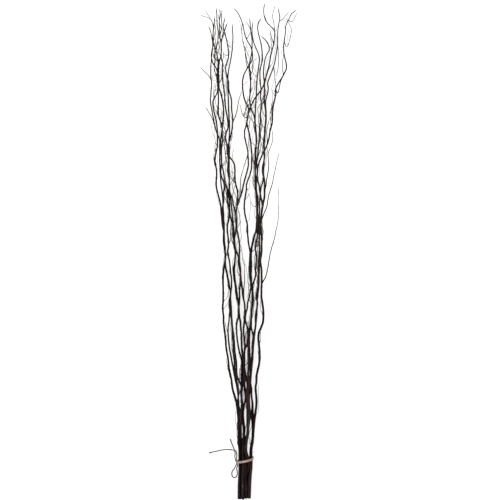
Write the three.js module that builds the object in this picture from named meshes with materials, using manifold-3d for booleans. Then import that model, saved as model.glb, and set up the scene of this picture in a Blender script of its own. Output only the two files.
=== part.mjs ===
// A tied bunch of dried curly willow stems, lying on a flat surface.
// Millimetres, +Z up. The bunch lies along Y: cut ends at -Y, tips at +Y.
// Origin: centre of the bunch's footprint, on the surface it lies on.
//
// Each willow stem grew as one piece, so a stem and its own side twigs are one
// closed solid. A length of natural twine is wrapped twice round the bunch near
// the cut ends and tied in a half bow: one loop and two loose ends.
import * as THREE from 'three';
import { mergeVertices } from 'three/addons/utils/BufferGeometryUtils.js';
import Module from 'manifold-3d';

// ---- driving dimensions (mm) ----
const STEM_SIDES = 6; // facets round a main stem
const TWIG_SIDES = 5; // facets round a side twig
const TWINE_DIAMETER = 2.6; // two-ply natural twine
const TWINE_SIDES = 8;
const KNOT_CENTRE = [-33.85, -630.67, 25.28]; // knot of the half bow, at the side of the bunch
const KNOT_RADII = [3.7, 4.4, 4.1];
const TAIL_KNOT_RADIUS = 2.3; // small overhand knot at the end of each loose end
const STEM_COLOURS = [0x2a1d1a, 0x241a19, 0x30211d, 0x271b1b];
const TWINE_COLOUR = 0xb98a5c;

// Centrelines. Each point is [x, y, z, radius], from the cut end to the tip.
// A twig starts on its stem's centreline and runs out to its own tip.
const STEMS = [
  {
    name: 'willow_stem_01',
    main: [
      [-26.24, -740.24, 30.48, 4.12], [-25.67, -696.69, 32.92, 4.04], [-24.39, -651.74, 35.5, 3.94], [-25.4, -624.77, 37.23, 3.89],
      [-25.86, -594.79, 39.31, 3.83], [-28.73, -561.95, 40.76, 3.66], [-29.06, -534.96, 40.15, 3.53], [-29.11, -504.98, 38.1, 3.38],
      [-30.62, -478.04, 36.42, 3.21], [-34.28, -451.32, 32.44, 3.04], [-46.87, -411.13, 20.31, 2.94], [-50.89, -381.32, 15.63, 2.88],
      [-58.45, -346.06, 16.21, 2.82], [-59.4, -328.09, 16.22, 2.78], [-65.74, -292.7, 12.71, 2.74], [-68.73, -256.82, 10.92, 2.69],
      [-73.9, -215.12, 16.94, 2.64], [-74.07, -191.05, 19.42, 2.61], [-76.4, -173.05, 19.88, 2.6], [-76.42, -161.08, 19.92, 2.59],
      [-74.56, -128.09, 21.14, 2.56], [-75.7, -86.09, 25.26, 2.52], [-73.88, -53.07, 27.52, 2.49], [-68.45, -11.44, 31.85, 2.45],
      [-73.91, 33.17, 35.26, 2.4], [-73.98, 66.19, 34.09, 2.38], [-76.73, 80.9, 34.44, 2.37], [-80.12, 113.72, 39.87, 2.35],
      [-83.57, 149.5, 46, 2.33], [-94.95, 192.85, 42.87, 2.29], [-95.49, 210.79, 42.36, 2.28], [-94.05, 237.41, 46.41, 2.25],
      [-95.65, 251.77, 50.03, 2.24], [-100.6, 272.1, 54.27, 2.22], [-92.38, 316.36, 53.34, 2.17], [-92.04, 340.21, 52.34, 2.14],
      [-92.09, 367.2, 55.38, 2.11], [-95.8, 393.82, 60.05, 2.07], [-103.66, 429, 62.12, 1.99], [-104.05, 450.54, 62.12, 1.95],
      [-92.51, 475.17, 63.81, 1.89], [-90.09, 486.63, 65.11, 1.86], [-91.88, 510.43, 67.5, 1.81], [-92.61, 540.26, 68.54, 1.73],
      [-107.47, 569.6, 70.89, 1.64], [-109.5, 587.96, 74.14, 1.58], [-104.03, 617.65, 79.21, 1.48], [-103.99, 635.59, 79.85, 1.42],
      [-103.74, 656.58, 78.46, 1.35], [-101.99, 668.55, 77.67, 1.3], [-99.24, 701.43, 80.79, 1.17],
    ],
    twigs: [
      [
        [-80.12, 113.72, 39.87, 1.03], [-84.56, 143.57, 37.5, 0.78], [-89.36, 170.61, 41.31, 0.56],
      ],
      [
        [-103.74, 656.58, 78.46, 0.89], [-102.81, 671.19, 80.43, 0.82], [-114.77, 698.28, 79.61, 0.68], [-129.54, 720.83, 83.89, 0.56],
      ],
      [
        [-103.99, 635.59, 79.85, 0.94], [-104.01, 671.69, 83.15, 0.79], [-110.63, 691.4, 81.17, 0.7], [-117.21, 696, 80.23, 0.67],
        [-143.04, 704.33, 80.73, 0.56],
      ],
      [
        [-90.09, 486.63, 65.11, 1.23], [-87.7, 500.28, 68.3, 1.14], [-80.31, 513.8, 70.41, 1.05], [-78.23, 522.58, 70.93, 1],
        [-77.29, 531.44, 71, 0.95], [-76.82, 564.35, 70.35, 0.76], [-73.99, 581.58, 70.89, 0.66], [-73.74, 599.33, 72.8, 0.56],
      ],
      [
        [-92.61, 540.26, 68.54, 1.14], [-86.43, 561.98, 74.23, 0.99], [-92.21, 583.94, 75.14, 0.85], [-91.59, 592.59, 74.58, 0.8],
        [-86.33, 609.34, 73.78, 0.69], [-89.71, 629.91, 74.77, 0.56],
      ],
    ],
  },
  {
    name: 'willow_stem_02',
    main: [
      [-26.58, -738.85, 11.35, 3.55], [-26.11, -714.66, 11.58, 3.5], [-25.46, -687.65, 12.29, 3.46], [-23.46, -654.7, 11.87, 3.4],
      [-23.38, -627.69, 12.09, 3.35], [-24.99, -597.73, 11.13, 3.29], [-28.4, -561.89, 9.29, 3.15], [-28.59, -519.87, 7.57, 2.97],
      [-28.48, -477.85, 7.35, 2.76], [-29.32, -447.85, 6.32, 2.6], [-33.96, -406.1, 4.84, 2.52], [-40.39, -376.8, 4.9, 2.47],
      [-45.02, -350.19, 2.43, 2.43], [-50.74, -320.72, 6.85, 2.38], [-54.97, -297.09, 4.99, 2.36], [-58.83, -270.35, 3.19, 2.33],
      [-60.87, -234.43, 6.12, 2.29], [-58.15, -204.56, 2.26, 2.26], [-55.52, -174.66, 6.37, 2.23], [-54.37, -150.67, 5.04, 2.22],
      [-53.37, -123.71, 2.2, 2.2], [-56.58, -99.94, 5.68, 2.18], [-61.96, -70.41, 3.25, 2.15], [-68.36, -38.1, 4.08, 2.13],
      [-69.14, 6.88, 3.25, 2.09], [-71.56, 36.78, 3.17, 2.06], [-71.94, 57.79, 5.58, 2.05], [-72.37, 81.8, 2.05, 2.04],
      [-73.81, 108.77, 3.25, 2.02], [-75.3, 135.74, 7.94, 2.01], [-78.46, 177.65, 3.35, 1.98], [-81.23, 201.5, 7.04, 1.96],
      [-83.94, 228.36, 3.64, 1.94], [-84.89, 249.35, 2.2, 1.93], [-85.91, 273.34, 8.21, 1.91], [-86.04, 294.35, 8.87, 1.89],
      [-86.14, 318.36, 5.09, 1.86], [-87.22, 342.29, 8.02, 1.84], [-95.17, 360.94, 8.47, 1.82], [-102.55, 390, 1.79, 1.79],
      [-108.46, 422.48, 8.35, 1.73], [-114.04, 454.97, 6.52, 1.66], [-112.46, 478.86, 7.34, 1.62], [-110.45, 502.78, 10.74, 1.57],
      [-111.09, 517.73, 7.57, 1.54], [-113.34, 547.62, 1.46, 1.46], [-111.54, 574.57, 7.36, 1.4], [-108.23, 607.41, 4.84, 1.3],
      [-107.41, 634.37, 8.95, 1.23], [-112.97, 663.78, 10.11, 1.13], [-120.54, 683.33, 2.34, 1.07],
    ],
    twigs: [
      [
        [-102.55, 390, 1.79, 1.03], [-112.75, 411.43, 0.83, 0.83], [-130.05, 440.01, 1.31, 0.56],
      ],
      [
        [-111.09, 517.73, 7.57, 1.01], [-117.42, 529.53, 5.47, 0.91], [-125.65, 538.73, 4.55, 0.81], [-147.54, 560.33, 0.56, 0.56],
      ],
      [
        [-58.83, -270.35, 3.19, 1.09], [-62.71, -240.6, 0.84, 0.84], [-68.37, -219.9, 6.83, 0.68], [-69.54, -204.82, 12.15, 0.56],
      ],
    ],
  },
  {
    name: 'willow_stem_03',
    main: [
      [-28.27, -740.4, 19.07, 3.96], [-27.89, -714.65, 19.5, 3.91], [-27.3, -687.64, 19.8, 3.86], [-25.55, -654.67, 19.46, 3.79],
      [-25.81, -624.67, 19.59, 3.73], [-21.86, -594.96, 18.94, 3.67], [-23.64, -562.03, 17.51, 3.52], [-23.9, -535.01, 17.41, 3.39],
      [-23.41, -505, 15.34, 3.24], [-24.17, -481, 12.84, 3.1], [-30.32, -451.51, 12.9, 2.92], [-29.47, -424.29, 11.05, 2.84],
      [-34.83, -385.63, 9.46, 2.77], [-40.73, -353.15, 10.39, 2.72], [-41.32, -323.14, 6.06, 2.66], [-44.05, -293.25, 5.86, 2.63],
      [-45.34, -272.28, 7.22, 2.6], [-46.96, -248.31, 6.98, 2.57], [-50.24, -203.43, 12.14, 2.52], [-55.6, -173.87, 12.7, 2.49],
      [-55.79, -146.85, 9.54, 2.47], [-53.27, -120.13, 11.09, 2.45], [-58.13, -102.72, 12.51, 2.43], [-61.69, -82.02, 12.07, 2.42],
      [-65.82, -58.35, 12.68, 2.39], [-70.78, -34.87, 15.81, 2.37], [-69.31, -10.76, 14.7, 2.35], [-73.57, 31.16, 7.68, 2.31],
      [-74.24, 70.2, 10.89, 2.28], [-76.23, 85.15, 10.92, 2.27], [-76.82, 109.15, 11.98, 2.26], [-76.18, 139.2, 15.75, 2.24],
      [-74.4, 151.25, 15.15, 2.23], [-73.74, 178.28, 8.82, 2.21], [-71.96, 196.52, 6.39, 2.2], [-73.8, 211.47, 7.65, 2.18],
      [-79.63, 225.93, 10.33, 2.17], [-82.9, 240.7, 12.05, 2.16], [-80.2, 268.08, 13.09, 2.14], [-83.3, 312.85, 17.21, 2.09],
      [-83.13, 336.81, 11.85, 2.06], [-80.54, 351.61, 7.86, 2.04], [-77.21, 390.23, 10.83, 1.99], [-74.14, 405.08, 13.49, 1.97],
      [-74.21, 429.25, 14.62, 1.91], [-77.71, 456.21, 16.74, 1.86], [-86.89, 494.59, 14.82, 1.77], [-88.36, 521.62, 7.42, 1.71],
      [-88.69, 548.65, 9.9, 1.63], [-87.03, 572.81, 15.94, 1.56], [-83.52, 584.7, 17.33, 1.53], [-80.9, 620.66, 19.67, 1.41],
      [-85.05, 651.02, 21.28, 1.31], [-80.06, 671.61, 16.08, 1.24], [-78.88, 683.61, 12.92, 1.19], [-80.73, 710.86, 14.93, 1.08],
      [-77.32, 728.58, 21.63, 1],
    ],
    twigs: [
      [
        [-80.06, 671.61, 16.08, 0.82], [-85.88, 688.85, 17.2, 0.72], [-90.24, 719.28, 16.32, 0.56],
      ],
    ],
  },
  {
    name: 'willow_stem_04',
    main: [
      [-20.98, -740.34, 23.53, 4.21], [-21.09, -711.68, 24.8, 4.15], [-21.42, -684.7, 25.88, 4.09], [-20.14, -654.75, 26.49, 4.03],
      [-20.59, -624.78, 29.02, 3.97], [-20.14, -597.8, 30.64, 3.91], [-21.64, -567.87, 32.06, 3.76], [-22.63, -534.91, 36.19, 3.6],
      [-21.63, -498.95, 35.27, 3.41], [-20.45, -474.99, 37.33, 3.25], [-19.07, -451.05, 38.08, 3.1], [-21.73, -418.2, 32.36, 3.01],
      [-20.37, -402.71, 30.97, 2.98], [-31.24, -377.53, 27.55, 2.93], [-34.6, -365.71, 25.05, 2.91], [-35.48, -332.74, 19.59, 2.85],
      [-40.97, -294.03, 18.73, 2.79], [-42.74, -264.17, 19.02, 2.75], [-46.36, -237.42, 15.7, 2.72], [-48.17, -216.48, 16.56, 2.69],
      [-50.13, -192.58, 18.62, 2.67], [-50.24, -177.54, 16.6, 2.65], [-53.26, -138.54, 16.94, 2.62], [-52.54, -120.3, 22.59, 2.6],
      [-50.09, -105.42, 23.5, 2.59], [-50.24, -78.56, 19.9, 2.56], [-52.67, -63.84, 21.92, 2.55], [-56.33, -25.05, 26.1, 2.51],
      [-61.57, 1.61, 21.28, 2.48], [-58.67, 25.66, 26.81, 2.46], [-62.01, 61.35, 29.99, 2.43], [-62.12, 82.41, 29.51, 2.42],
      [-56.14, 108.75, 33.49, 2.4], [-56.71, 126.71, 34.22, 2.39], [-61.69, 150.27, 32.46, 2.37], [-64.01, 192.27, 34.05, 2.34],
      [-69.34, 209.58, 37.41, 2.32], [-74.24, 242.11, 40.43, 2.29], [-79.81, 265.51, 39.33, 2.27], [-80.42, 289.63, 43.32, 2.25],
      [-82.86, 310.62, 44.83, 2.22], [-82.63, 334.76, 39.71, 2.19], [-78.06, 367.38, 46.47, 2.15], [-79.83, 382.2, 51.34, 2.13],
      [-88.24, 407.92, 48.49, 2.08], [-88.88, 456.02, 56.99, 1.97], [-89.51, 497.96, 49.28, 1.88], [-92.35, 527.53, 57.58, 1.8],
      [-89.85, 569.74, 59.31, 1.67], [-93.7, 590.62, 61.6, 1.6], [-95.27, 605.56, 65.05, 1.55], [-90.46, 629.36, 66.1, 1.47],
      [-89.28, 656.36, 63.36, 1.37], [-92.04, 674.45, 63.61, 1.3], [-93.32, 701.4, 68.08, 1.2], [-93.84, 728.41, 73.63, 1.07],
    ],
    twigs: [
      [
        [-56.71, 126.71, 34.22, 1.13], [-66.54, 156.55, 33.85, 0.88], [-72.46, 170.41, 34.59, 0.77], [-71.64, 197.41, 33.15, 0.56],
      ],
      [
        [-93.7, 590.62, 61.6, 0.96], [-100.38, 610.77, 61.78, 0.77], [-104.34, 635.23, 63.44, 0.56],
      ],
      [
        [-89.85, 569.74, 59.31, 1.1], [-101.1, 582.2, 59.98, 0.99], [-96.57, 602.46, 61.1, 0.85], [-111.49, 642.41, 64.13, 0.56],
      ],
    ],
  },
  {
    name: 'willow_stem_05',
    main: [
      [-15.24, -739.32, 43.3, 4.12], [-15.37, -714.65, 44.45, 4.07], [-15.62, -687.62, 45.93, 4.02], [-15.25, -654.63, 46.36, 3.95],
      [-14.58, -630.61, 44.66, 3.9], [-15.66, -594.64, 40.49, 3.82], [-12.97, -564.75, 36.11, 3.68], [-12.61, -537.74, 33.52, 3.54],
      [-15.38, -504.85, 32.07, 3.38], [-16.45, -477.85, 27.17, 3.21], [-17.82, -450.87, 22.98, 3.04], [-21.32, -417.93, 25.94, 2.95],
      [-20.06, -402.87, 24.64, 2.92], [-19.86, -375.83, 16.74, 2.87], [-19.29, -345.89, 12.03, 2.81], [-20.96, -319.01, 14.21, 2.77],
      [-25.85, -301.74, 15.36, 2.75], [-31.08, -275.07, 16.3, 2.71], [-34.73, -242.29, 17.64, 2.67], [-34.7, -218.12, 16.82, 2.64],
      [-28.96, -188.65, 18.02, 2.61], [-28.85, -158.75, 22.16, 2.58], [-36.34, -126.61, 20.02, 2.56], [-38.6, -102.57, 18.67, 2.54],
      [-43.82, -66.95, 20.4, 2.5], [-44.03, -45.68, 17.84, 2.48], [-40.93, -30.98, 16.29, 2.47], [-38.19, 1.6, 21.45, 2.43],
      [-41.61, 25.1, 24.57, 2.41], [-46.63, 51.91, 18.54, 2.39], [-45.96, 64.01, 15.96, 2.38], [-47.37, 84.82, 17.38, 2.37],
      [-53.3, 105.28, 24.24, 2.36], [-55.4, 129.32, 28.23, 2.34], [-56.42, 153.32, 25.56, 2.33], [-59.3, 179.82, 23.28, 2.3],
      [-62.27, 191.36, 23.51, 2.29], [-79.86, 226.35, 26.83, 2.26], [-82.78, 238.27, 28.97, 2.25], [-79.99, 268.33, 33.18, 2.23],
      [-80.34, 292.28, 29.96, 2.2], [-80.25, 316.43, 25.97, 2.17], [-76.28, 337.27, 29.32, 2.14], [-77.6, 349.28, 33.28, 2.13],
      [-77.16, 382.38, 37.03, 2.09], [-73.84, 415.25, 33.26, 2.03], [-75.04, 444.83, 38.45, 1.96], [-84.1, 482.56, 37.36, 1.87],
      [-88.27, 494.22, 36.25, 1.85], [-89.97, 509.31, 37.76, 1.81], [-88.32, 548.58, 46.84, 1.7], [-85.63, 572.44, 42.86, 1.63],
      [-81.76, 587.28, 39.31, 1.58], [-80.14, 614.36, 40.29, 1.49], [-80.9, 629.39, 43.74, 1.44], [-85.75, 650.22, 47.29, 1.37],
      [-85.85, 671.25, 48.19, 1.29], [-85.99, 695.29, 47.63, 1.2], [-83.34, 710.39, 45.72, 1.13], [-86.04, 728.33, 42.01, 1.05],
    ],
    twigs: [
      [
        [-59.3, 179.82, 23.28, 1.06], [-54.84, 200.1, 24.58, 0.89], [-42.66, 224.43, 28.38, 0.68], [-40.45, 239.21, 32.05, 0.56],
      ],
    ],
  },
  {
    name: 'willow_stem_06',
    main: [
      [-12.63, -739.55, 12.2, 4.12], [-13.01, -714.67, 14.67, 4.08], [-12.51, -687.67, 17.08, 4.02], [-11.11, -654.71, 20.62, 3.95],
      [-11.05, -630.72, 23.44, 3.9], [-13.31, -594.81, 26.56, 3.83], [-10.82, -564.96, 27.55, 3.68], [-13.09, -538.1, 25.59, 3.54],
      [-15.31, -511.2, 23.55, 3.41], [-15.71, -499.22, 22.66, 3.34], [-13.98, -466.29, 19.38, 3.14], [-8.42, -442.88, 16.72, 3],
      [-11.07, -400.82, 16.99, 2.92], [-11.03, -370.93, 18.3, 2.86], [-11.6, -337.9, 14.14, 2.8], [-19.4, -296.42, 9.82, 2.74],
      [-20.35, -278.36, 11.28, 2.72], [-20.18, -245.4, 14.48, 2.68], [-22.62, -230.71, 14.48, 2.66], [-23.48, -206.76, 13.16, 2.63],
      [-27.27, -192.2, 12.52, 2.61], [-28.95, -177.11, 12.53, 2.6], [-26.13, -147.07, 13.9, 2.57], [-26, -114.11, 13.99, 2.55],
      [-22.71, -81.95, 13.17, 2.52], [-24.71, -58.02, 14.55, 2.49], [-29.4, -32.1, 16.49, 2.47], [-29.52, -14.57, 16.18, 2.45],
      [-38.82, 11.69, 13.13, 2.42], [-41.32, 35.68, 12.24, 2.4], [-37.37, 65.93, 17.78, 2.38], [-35.83, 95.42, 23.42, 2.36],
      [-37, 113.61, 22.68, 2.35], [-32, 149.24, 15.2, 2.33], [-31.82, 175.88, 15.21, 2.31], [-32.78, 187.35, 17.69, 2.3],
      [-38.18, 207.83, 23.58, 2.28], [-39.75, 225.88, 26.73, 2.26], [-41.29, 261.56, 22.5, 2.23], [-45.36, 272.56, 19.79, 2.22],
      [-56.84, 290.08, 17.16, 2.2], [-58.79, 323.3, 20.92, 2.16], [-53.11, 346.74, 25.13, 2.13], [-48.16, 370.21, 26.57, 2.1],
      [-47.07, 387.99, 26.26, 2.08], [-47.1, 408.89, 25.96, 2.04], [-49.66, 426.8, 26.19, 2], [-50.27, 456.71, 26.24, 1.93],
      [-58.23, 488.84, 25.93, 1.86], [-59.44, 512.85, 28.58, 1.81], [-67.83, 550.74, 35.75, 1.69], [-58.96, 585.39, 31.95, 1.59],
      [-58.84, 599.9, 27.81, 1.54], [-64.36, 635.22, 24.85, 1.43], [-73.13, 667.16, 35.54, 1.31], [-73.31, 685.54, 39.54, 1.24],
      [-68.33, 706.02, 36.98, 1.15],
    ],
    twigs: [
      [
        [-47.07, 387.99, 26.26, 1.29], [-38.35, 409.29, 26.36, 1.13], [-34.31, 420.63, 25.62, 1.04], [-30.79, 441.55, 24.19, 0.89],
        [-26.81, 462.45, 25.47, 0.74], [-17.42, 484.91, 29.18, 0.56],
      ],
      [
        [-58.84, 599.9, 27.81, 0.85], [-60.62, 591.46, 29.84, 0.76], [-69.64, 591.02, 30.69, 0.65], [-74.58, 598.06, 30.33, 0.56],
      ],
      [
        [-64.36, 635.22, 24.85, 0.85], [-59.71, 620.4, 27.83, 0.69], [-49.14, 613.29, 31.82, 0.56],
      ],
    ],
  },
  {
    name: 'willow_stem_07',
    main: [
      [-18.36, -738.62, 4.92, 3.92], [-18.22, -714.68, 6.09, 3.87], [-17.66, -687.69, 7.14, 3.82], [-16.47, -651.73, 7.95, 3.75],
      [-16.51, -621.74, 8.76, 3.69], [-16.81, -591.77, 9.71, 3.62], [-15.1, -564.84, 10.26, 3.49], [-11.23, -535.16, 10.13, 3.35],
      [-13.53, -511.35, 9.63, 3.24], [-15.69, -484.46, 8.08, 3.09], [-17.47, -460.53, 5.32, 2.94], [-19.9, -433.69, 2.98, 2.83],
      [-17.05, -403.9, 3.91, 2.78], [-15.93, -379.94, 4.74, 2.73], [-15.66, -358.96, 4.03, 2.7], [-16.48, -319.98, 2.63, 2.63],
      [-19.01, -281.08, 3.94, 2.58], [-20.67, -242.14, 3.49, 2.54], [-23.76, -212.32, 4.69, 2.5], [-26.96, -182.51, 7.2, 2.48],
      [-28.45, -158.57, 6.25, 2.46], [-32.75, -128.91, 2.43, 2.43], [-37.63, -96.28, 3.97, 2.4], [-41.19, -66.52, 8.32, 2.38],
      [-40.4, -36.58, 7.72, 2.35], [-37.86, 2.26, 6.51, 2.31], [-40.97, 35.09, 7.17, 2.28], [-43.46, 67.98, 3.12, 2.26],
      [-46.94, 100.78, 3.74, 2.24], [-50.04, 136.63, 11.21, 2.22], [-53.19, 163.43, 9.84, 2.2], [-57.3, 193.09, 4.32, 2.18],
      [-56.74, 229.05, 6.52, 2.15], [-57.44, 265.03, 8.44, 2.12], [-56.74, 301, 7.28, 2.08], [-57.43, 333.97, 12.8, 2.04],
      [-56.2, 372.93, 10.03, 1.99], [-57.5, 405.88, 3.34, 1.94], [-59.51, 441.81, 10.83, 1.87], [-60.35, 474.78, 14.5, 1.8],
      [-61.85, 510.73, 8.96, 1.72], [-60.1, 540.63, 10.95, 1.64], [-55.01, 567.12, 12.2, 1.56], [-50.52, 593.73, 7.26, 1.48],
      [-46.16, 635.48, 10.36, 1.35], [-45.95, 647.43, 14.69, 1.31], [-48.54, 689.33, 15.46, 1.16],
    ],
    twigs: [
    ],
  },
  {
    name: 'willow_stem_08',
    main: [
      [-10.08, -737.37, 4.29, 4], [-9.96, -714.67, 6.71, 3.95], [-9.68, -687.66, 9.21, 3.9], [-8.13, -654.7, 12.1, 3.83],
      [-8.3, -624.7, 14.53, 3.77], [-8.12, -594.7, 15.44, 3.71], [-5.04, -564.84, 15.68, 3.57], [-1.61, -532.05, 16.01, 3.41],
      [-2.31, -505.06, 15.22, 3.28], [-2.41, -478.06, 13.74, 3.11], [-3.67, -454.1, 12.35, 2.97], [-7.16, -424.31, 9.79, 2.87],
      [-10.9, -394.48, 7.05, 2.82], [-8.7, -373.43, 6.77, 2.78], [-10.94, -355.44, 7.29, 2.75], [-11.15, -325.43, 7.65, 2.69],
      [-11, -292.44, 7.88, 2.65], [-9.94, -280.44, 7.54, 2.64], [-11.5, -256.48, 6.16, 2.61], [-13.79, -244.49, 5.15, 2.59],
      [-14.04, -232.46, 4.22, 2.58], [-11.05, -208.46, 2.55, 2.55], [-10.55, -163.57, 3.32, 2.51], [-11.46, -151.61, 4.69, 2.5],
      [-16.8, -128.18, 7.76, 2.48], [-17.5, -110.08, 9.11, 2.47], [-21.39, -83.3, 8.02, 2.44], [-23.3, -50.3, 4.02, 2.41],
      [-26.25, -26.42, 3.38, 2.39], [-25.61, 15.7, 9, 2.35], [-26.21, 27.61, 10.47, 2.34], [-30.44, 51.11, 10.92, 2.32],
      [-34.6, 74.85, 8.45, 2.3], [-36.5, 113.91, 6.21, 2.28], [-34.54, 131.97, 7.9, 2.27], [-30.6, 149.42, 10.39, 2.26],
      [-22.11, 172.09, 12.43, 2.24], [-17.51, 186.24, 12.21, 2.23], [-13.46, 206.77, 10.79, 2.21], [-3.13, 244.42, 11.83, 2.18],
      [0.76, 264.85, 15.65, 2.16], [-2.4, 309.38, 19.47, 2.11], [-10.47, 347.67, 13.55, 2.07], [-10.43, 366.05, 12.85, 2.04],
      [-5.42, 383.41, 15.3, 2.02], [2.23, 421.78, 24.95, 1.95], [20.17, 463.23, 20.77, 1.86], [35.15, 482.26, 14.47, 1.82],
      [46.47, 503.94, 13.31, 1.77], [47.98, 515.95, 15.41, 1.74], [46.04, 537.36, 21.67, 1.68], [47.14, 558.54, 26.92, 1.62],
      [53.32, 588.15, 26.8, 1.53], [63.38, 609.33, 21.95, 1.46], [60.5, 623.73, 19.25, 1.42], [48.77, 641.01, 18.25, 1.36],
      [36.96, 650.33, 19.94, 1.33],
    ],
    twigs: [
      [
        [-22.11, 172.09, 12.43, 1.31], [-23.05, 200.08, 11.66, 1.11], [-22.37, 221, 13.22, 0.97], [-19.48, 235.68, 14.22, 0.86],
        [-13.43, 255.65, 12.61, 0.71], [-7.67, 275.73, 9.59, 0.56],
      ],
    ],
  },
  {
    name: 'willow_stem_09',
    main: [
      [-6.84, -737.17, 39.51, 4.12], [-7.14, -711.65, 40.63, 4.07], [-7.99, -684.63, 41.2, 4.01], [-8.66, -657.62, 41.29, 3.96],
      [-7.78, -627.61, 39.75, 3.89], [-7.32, -594.63, 39.21, 3.82], [-5.55, -564.67, 40.61, 3.68], [-1.95, -534.88, 40.06, 3.53],
      [-2, -507.87, 41.09, 3.39], [-1.56, -477.85, 41.92, 3.21], [-3.06, -453.88, 40.71, 3.06], [-5.33, -432.97, 41.82, 2.98],
      [-2.81, -393.67, 36.42, 2.9], [-7.72, -376.41, 32.35, 2.87], [-11, -352.52, 31.9, 2.83], [-11.26, -328.49, 31.49, 2.78],
      [-11.31, -304.45, 27.13, 2.75], [-9.68, -280.44, 25, 2.72], [-13.59, -244.6, 18.31, 2.67], [-14.11, -232.48, 14.79, 2.66],
      [-10.5, -196.52, 15.5, 2.62], [-10.23, -163.63, 15.81, 2.59], [-12.78, -146.09, 13.76, 2.57], [-16.62, -128.63, 15.1, 2.56],
      [-17.91, -110.47, 18.46, 2.54], [-22.56, -89.7, 19.23, 2.52], [-23.08, -53.75, 19.75, 2.49], [-25.87, -35.87, 22.51, 2.47],
      [-26.84, -14.8, 21.46, 2.45], [-25.96, 23.91, 19.68, 2.41], [-30.52, 53.51, 27.81, 2.39], [-34.42, 71.21, 28.34, 2.38],
      [-35.8, 107.23, 28.64, 2.36], [-38.19, 121.99, 29.53, 2.35], [-43.23, 136.17, 27.97, 2.34], [-48.33, 162.63, 23.64, 2.32],
      [-53.85, 176.75, 25.83, 2.31], [-56.13, 188.72, 29.73, 2.3], [-56.6, 215.95, 34.26, 2.27], [-61.4, 245.79, 31.59, 2.25],
      [-59.11, 278.78, 35.29, 2.22], [-61.86, 299.37, 33.62, 2.19], [-62.67, 320.13, 31.67, 2.16], [-67.95, 341.07, 35.19, 2.14],
      [-65.94, 356.18, 37.68, 2.12], [-59.98, 376.24, 35.97, 2.09], [-67.19, 429.32, 43.26, 1.99], [-68.56, 441.22, 45.2, 1.97],
      [-71.08, 477.19, 42.22, 1.89], [-76.69, 518.84, 43.87, 1.79], [-77.01, 539.89, 40.79, 1.73], [-76.73, 563.9, 44.87, 1.65],
      [-80.06, 581.48, 52.58, 1.6], [-80.43, 611.7, 54.36, 1.5], [-79.04, 635.92, 50.82, 1.42], [-70.58, 661.86, 53.55, 1.33],
      [-61.38, 686.79, 51.24, 1.23],
    ],
    twigs: [
      [
        [-65.94, 356.18, 37.68, 0.96], [-72.94, 379.72, 36.91, 0.75], [-73.44, 401.33, 37.45, 0.56],
      ],
      [
        [-12.78, -146.09, 13.76, 1.63], [-13.31, -114.91, 15.18, 1.42], [-11, -91.03, 11.03, 1.26], [-11.01, -67.16, 13.71, 1.1],
        [-10.99, -41.03, 21.34, 0.92], [-16.08, -24.03, 21.4, 0.8], [-17.28, -6.25, 18.65, 0.68], [-21.79, 10.9, 17.84, 0.56],
      ],
    ],
  },
  {
    name: 'willow_stem_10',
    main: [
      [-3.56, -737.5, 28.51, 4.12], [-0.43, -714.65, 26.4, 4.07], [-0.54, -687.62, 24.49, 4.02], [-3.6, -654.63, 25.46, 3.95],
      [-3.32, -627.62, 28.14, 3.89], [-6.49, -591.81, 31.32, 3.81], [-4.37, -564.88, 31.94, 3.68], [-0.13, -532.14, 32.8, 3.51],
      [1.47, -505.16, 33.27, 3.38], [1.77, -478.15, 29.71, 3.21], [-0.07, -439.16, 23.64, 2.99], [-3.17, -415.3, 25.63, 2.94],
      [-2.15, -391.03, 28.45, 2.9], [-10.6, -352.63, 23.73, 2.83], [-11.19, -328.57, 18.83, 2.78], [-11.28, -304.34, 17.71, 2.75],
      [-9.66, -291.91, 18.7, 2.73], [-4.01, -278, 20.45, 2.72], [-0.04, -245.31, 21.1, 2.68], [5.29, -221.85, 19.44, 2.65],
      [9.54, -189.11, 20.6, 2.61], [12.7, -156.32, 23.71, 2.58], [13.03, -132.3, 22.89, 2.56], [13.53, -105.64, 20.34, 2.54],
      [9.05, -88.22, 19.85, 2.52], [9.85, -39.84, 24.37, 2.48], [8.51, 2.16, 22.04, 2.43], [14.23, 34.91, 17.59, 2.4],
      [19.16, 52.29, 16.56, 2.39], [25.07, 66.17, 16.83, 2.38], [26.89, 78.06, 17.85, 2.37], [28.35, 99.03, 20.72, 2.36],
      [27.08, 141.1, 25.18, 2.33], [27.5, 168.28, 23.75, 2.31], [23.91, 183.01, 22.07, 2.3], [22.23, 197.93, 20.92, 2.29],
      [22.44, 227.75, 22.74, 2.26], [20.36, 248.78, 26.4, 2.24], [20.37, 281.83, 28.87, 2.21], [22.28, 311.94, 26.87, 2.17],
      [24.78, 329.7, 26.93, 2.15], [24.71, 344.51, 28.49, 2.13], [21.78, 380.43, 32.34, 2.09], [18.26, 406.89, 29.98, 2.04],
      [8.39, 431.99, 27.92, 1.99], [4.33, 458.87, 33.3, 1.93], [6.96, 486.03, 41.28, 1.87], [7.06, 510.13, 41.27, 1.81],
      [7.07, 536.7, 33.92, 1.74], [4.43, 551.57, 30.73, 1.69], [4.16, 567.06, 30.84, 1.64], [9.8, 593.56, 38.52, 1.56],
      [11.96, 626.45, 45.6, 1.45], [7.47, 665.28, 38.91, 1.31], [4.56, 704.23, 39.06, 1.16],
    ],
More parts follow.
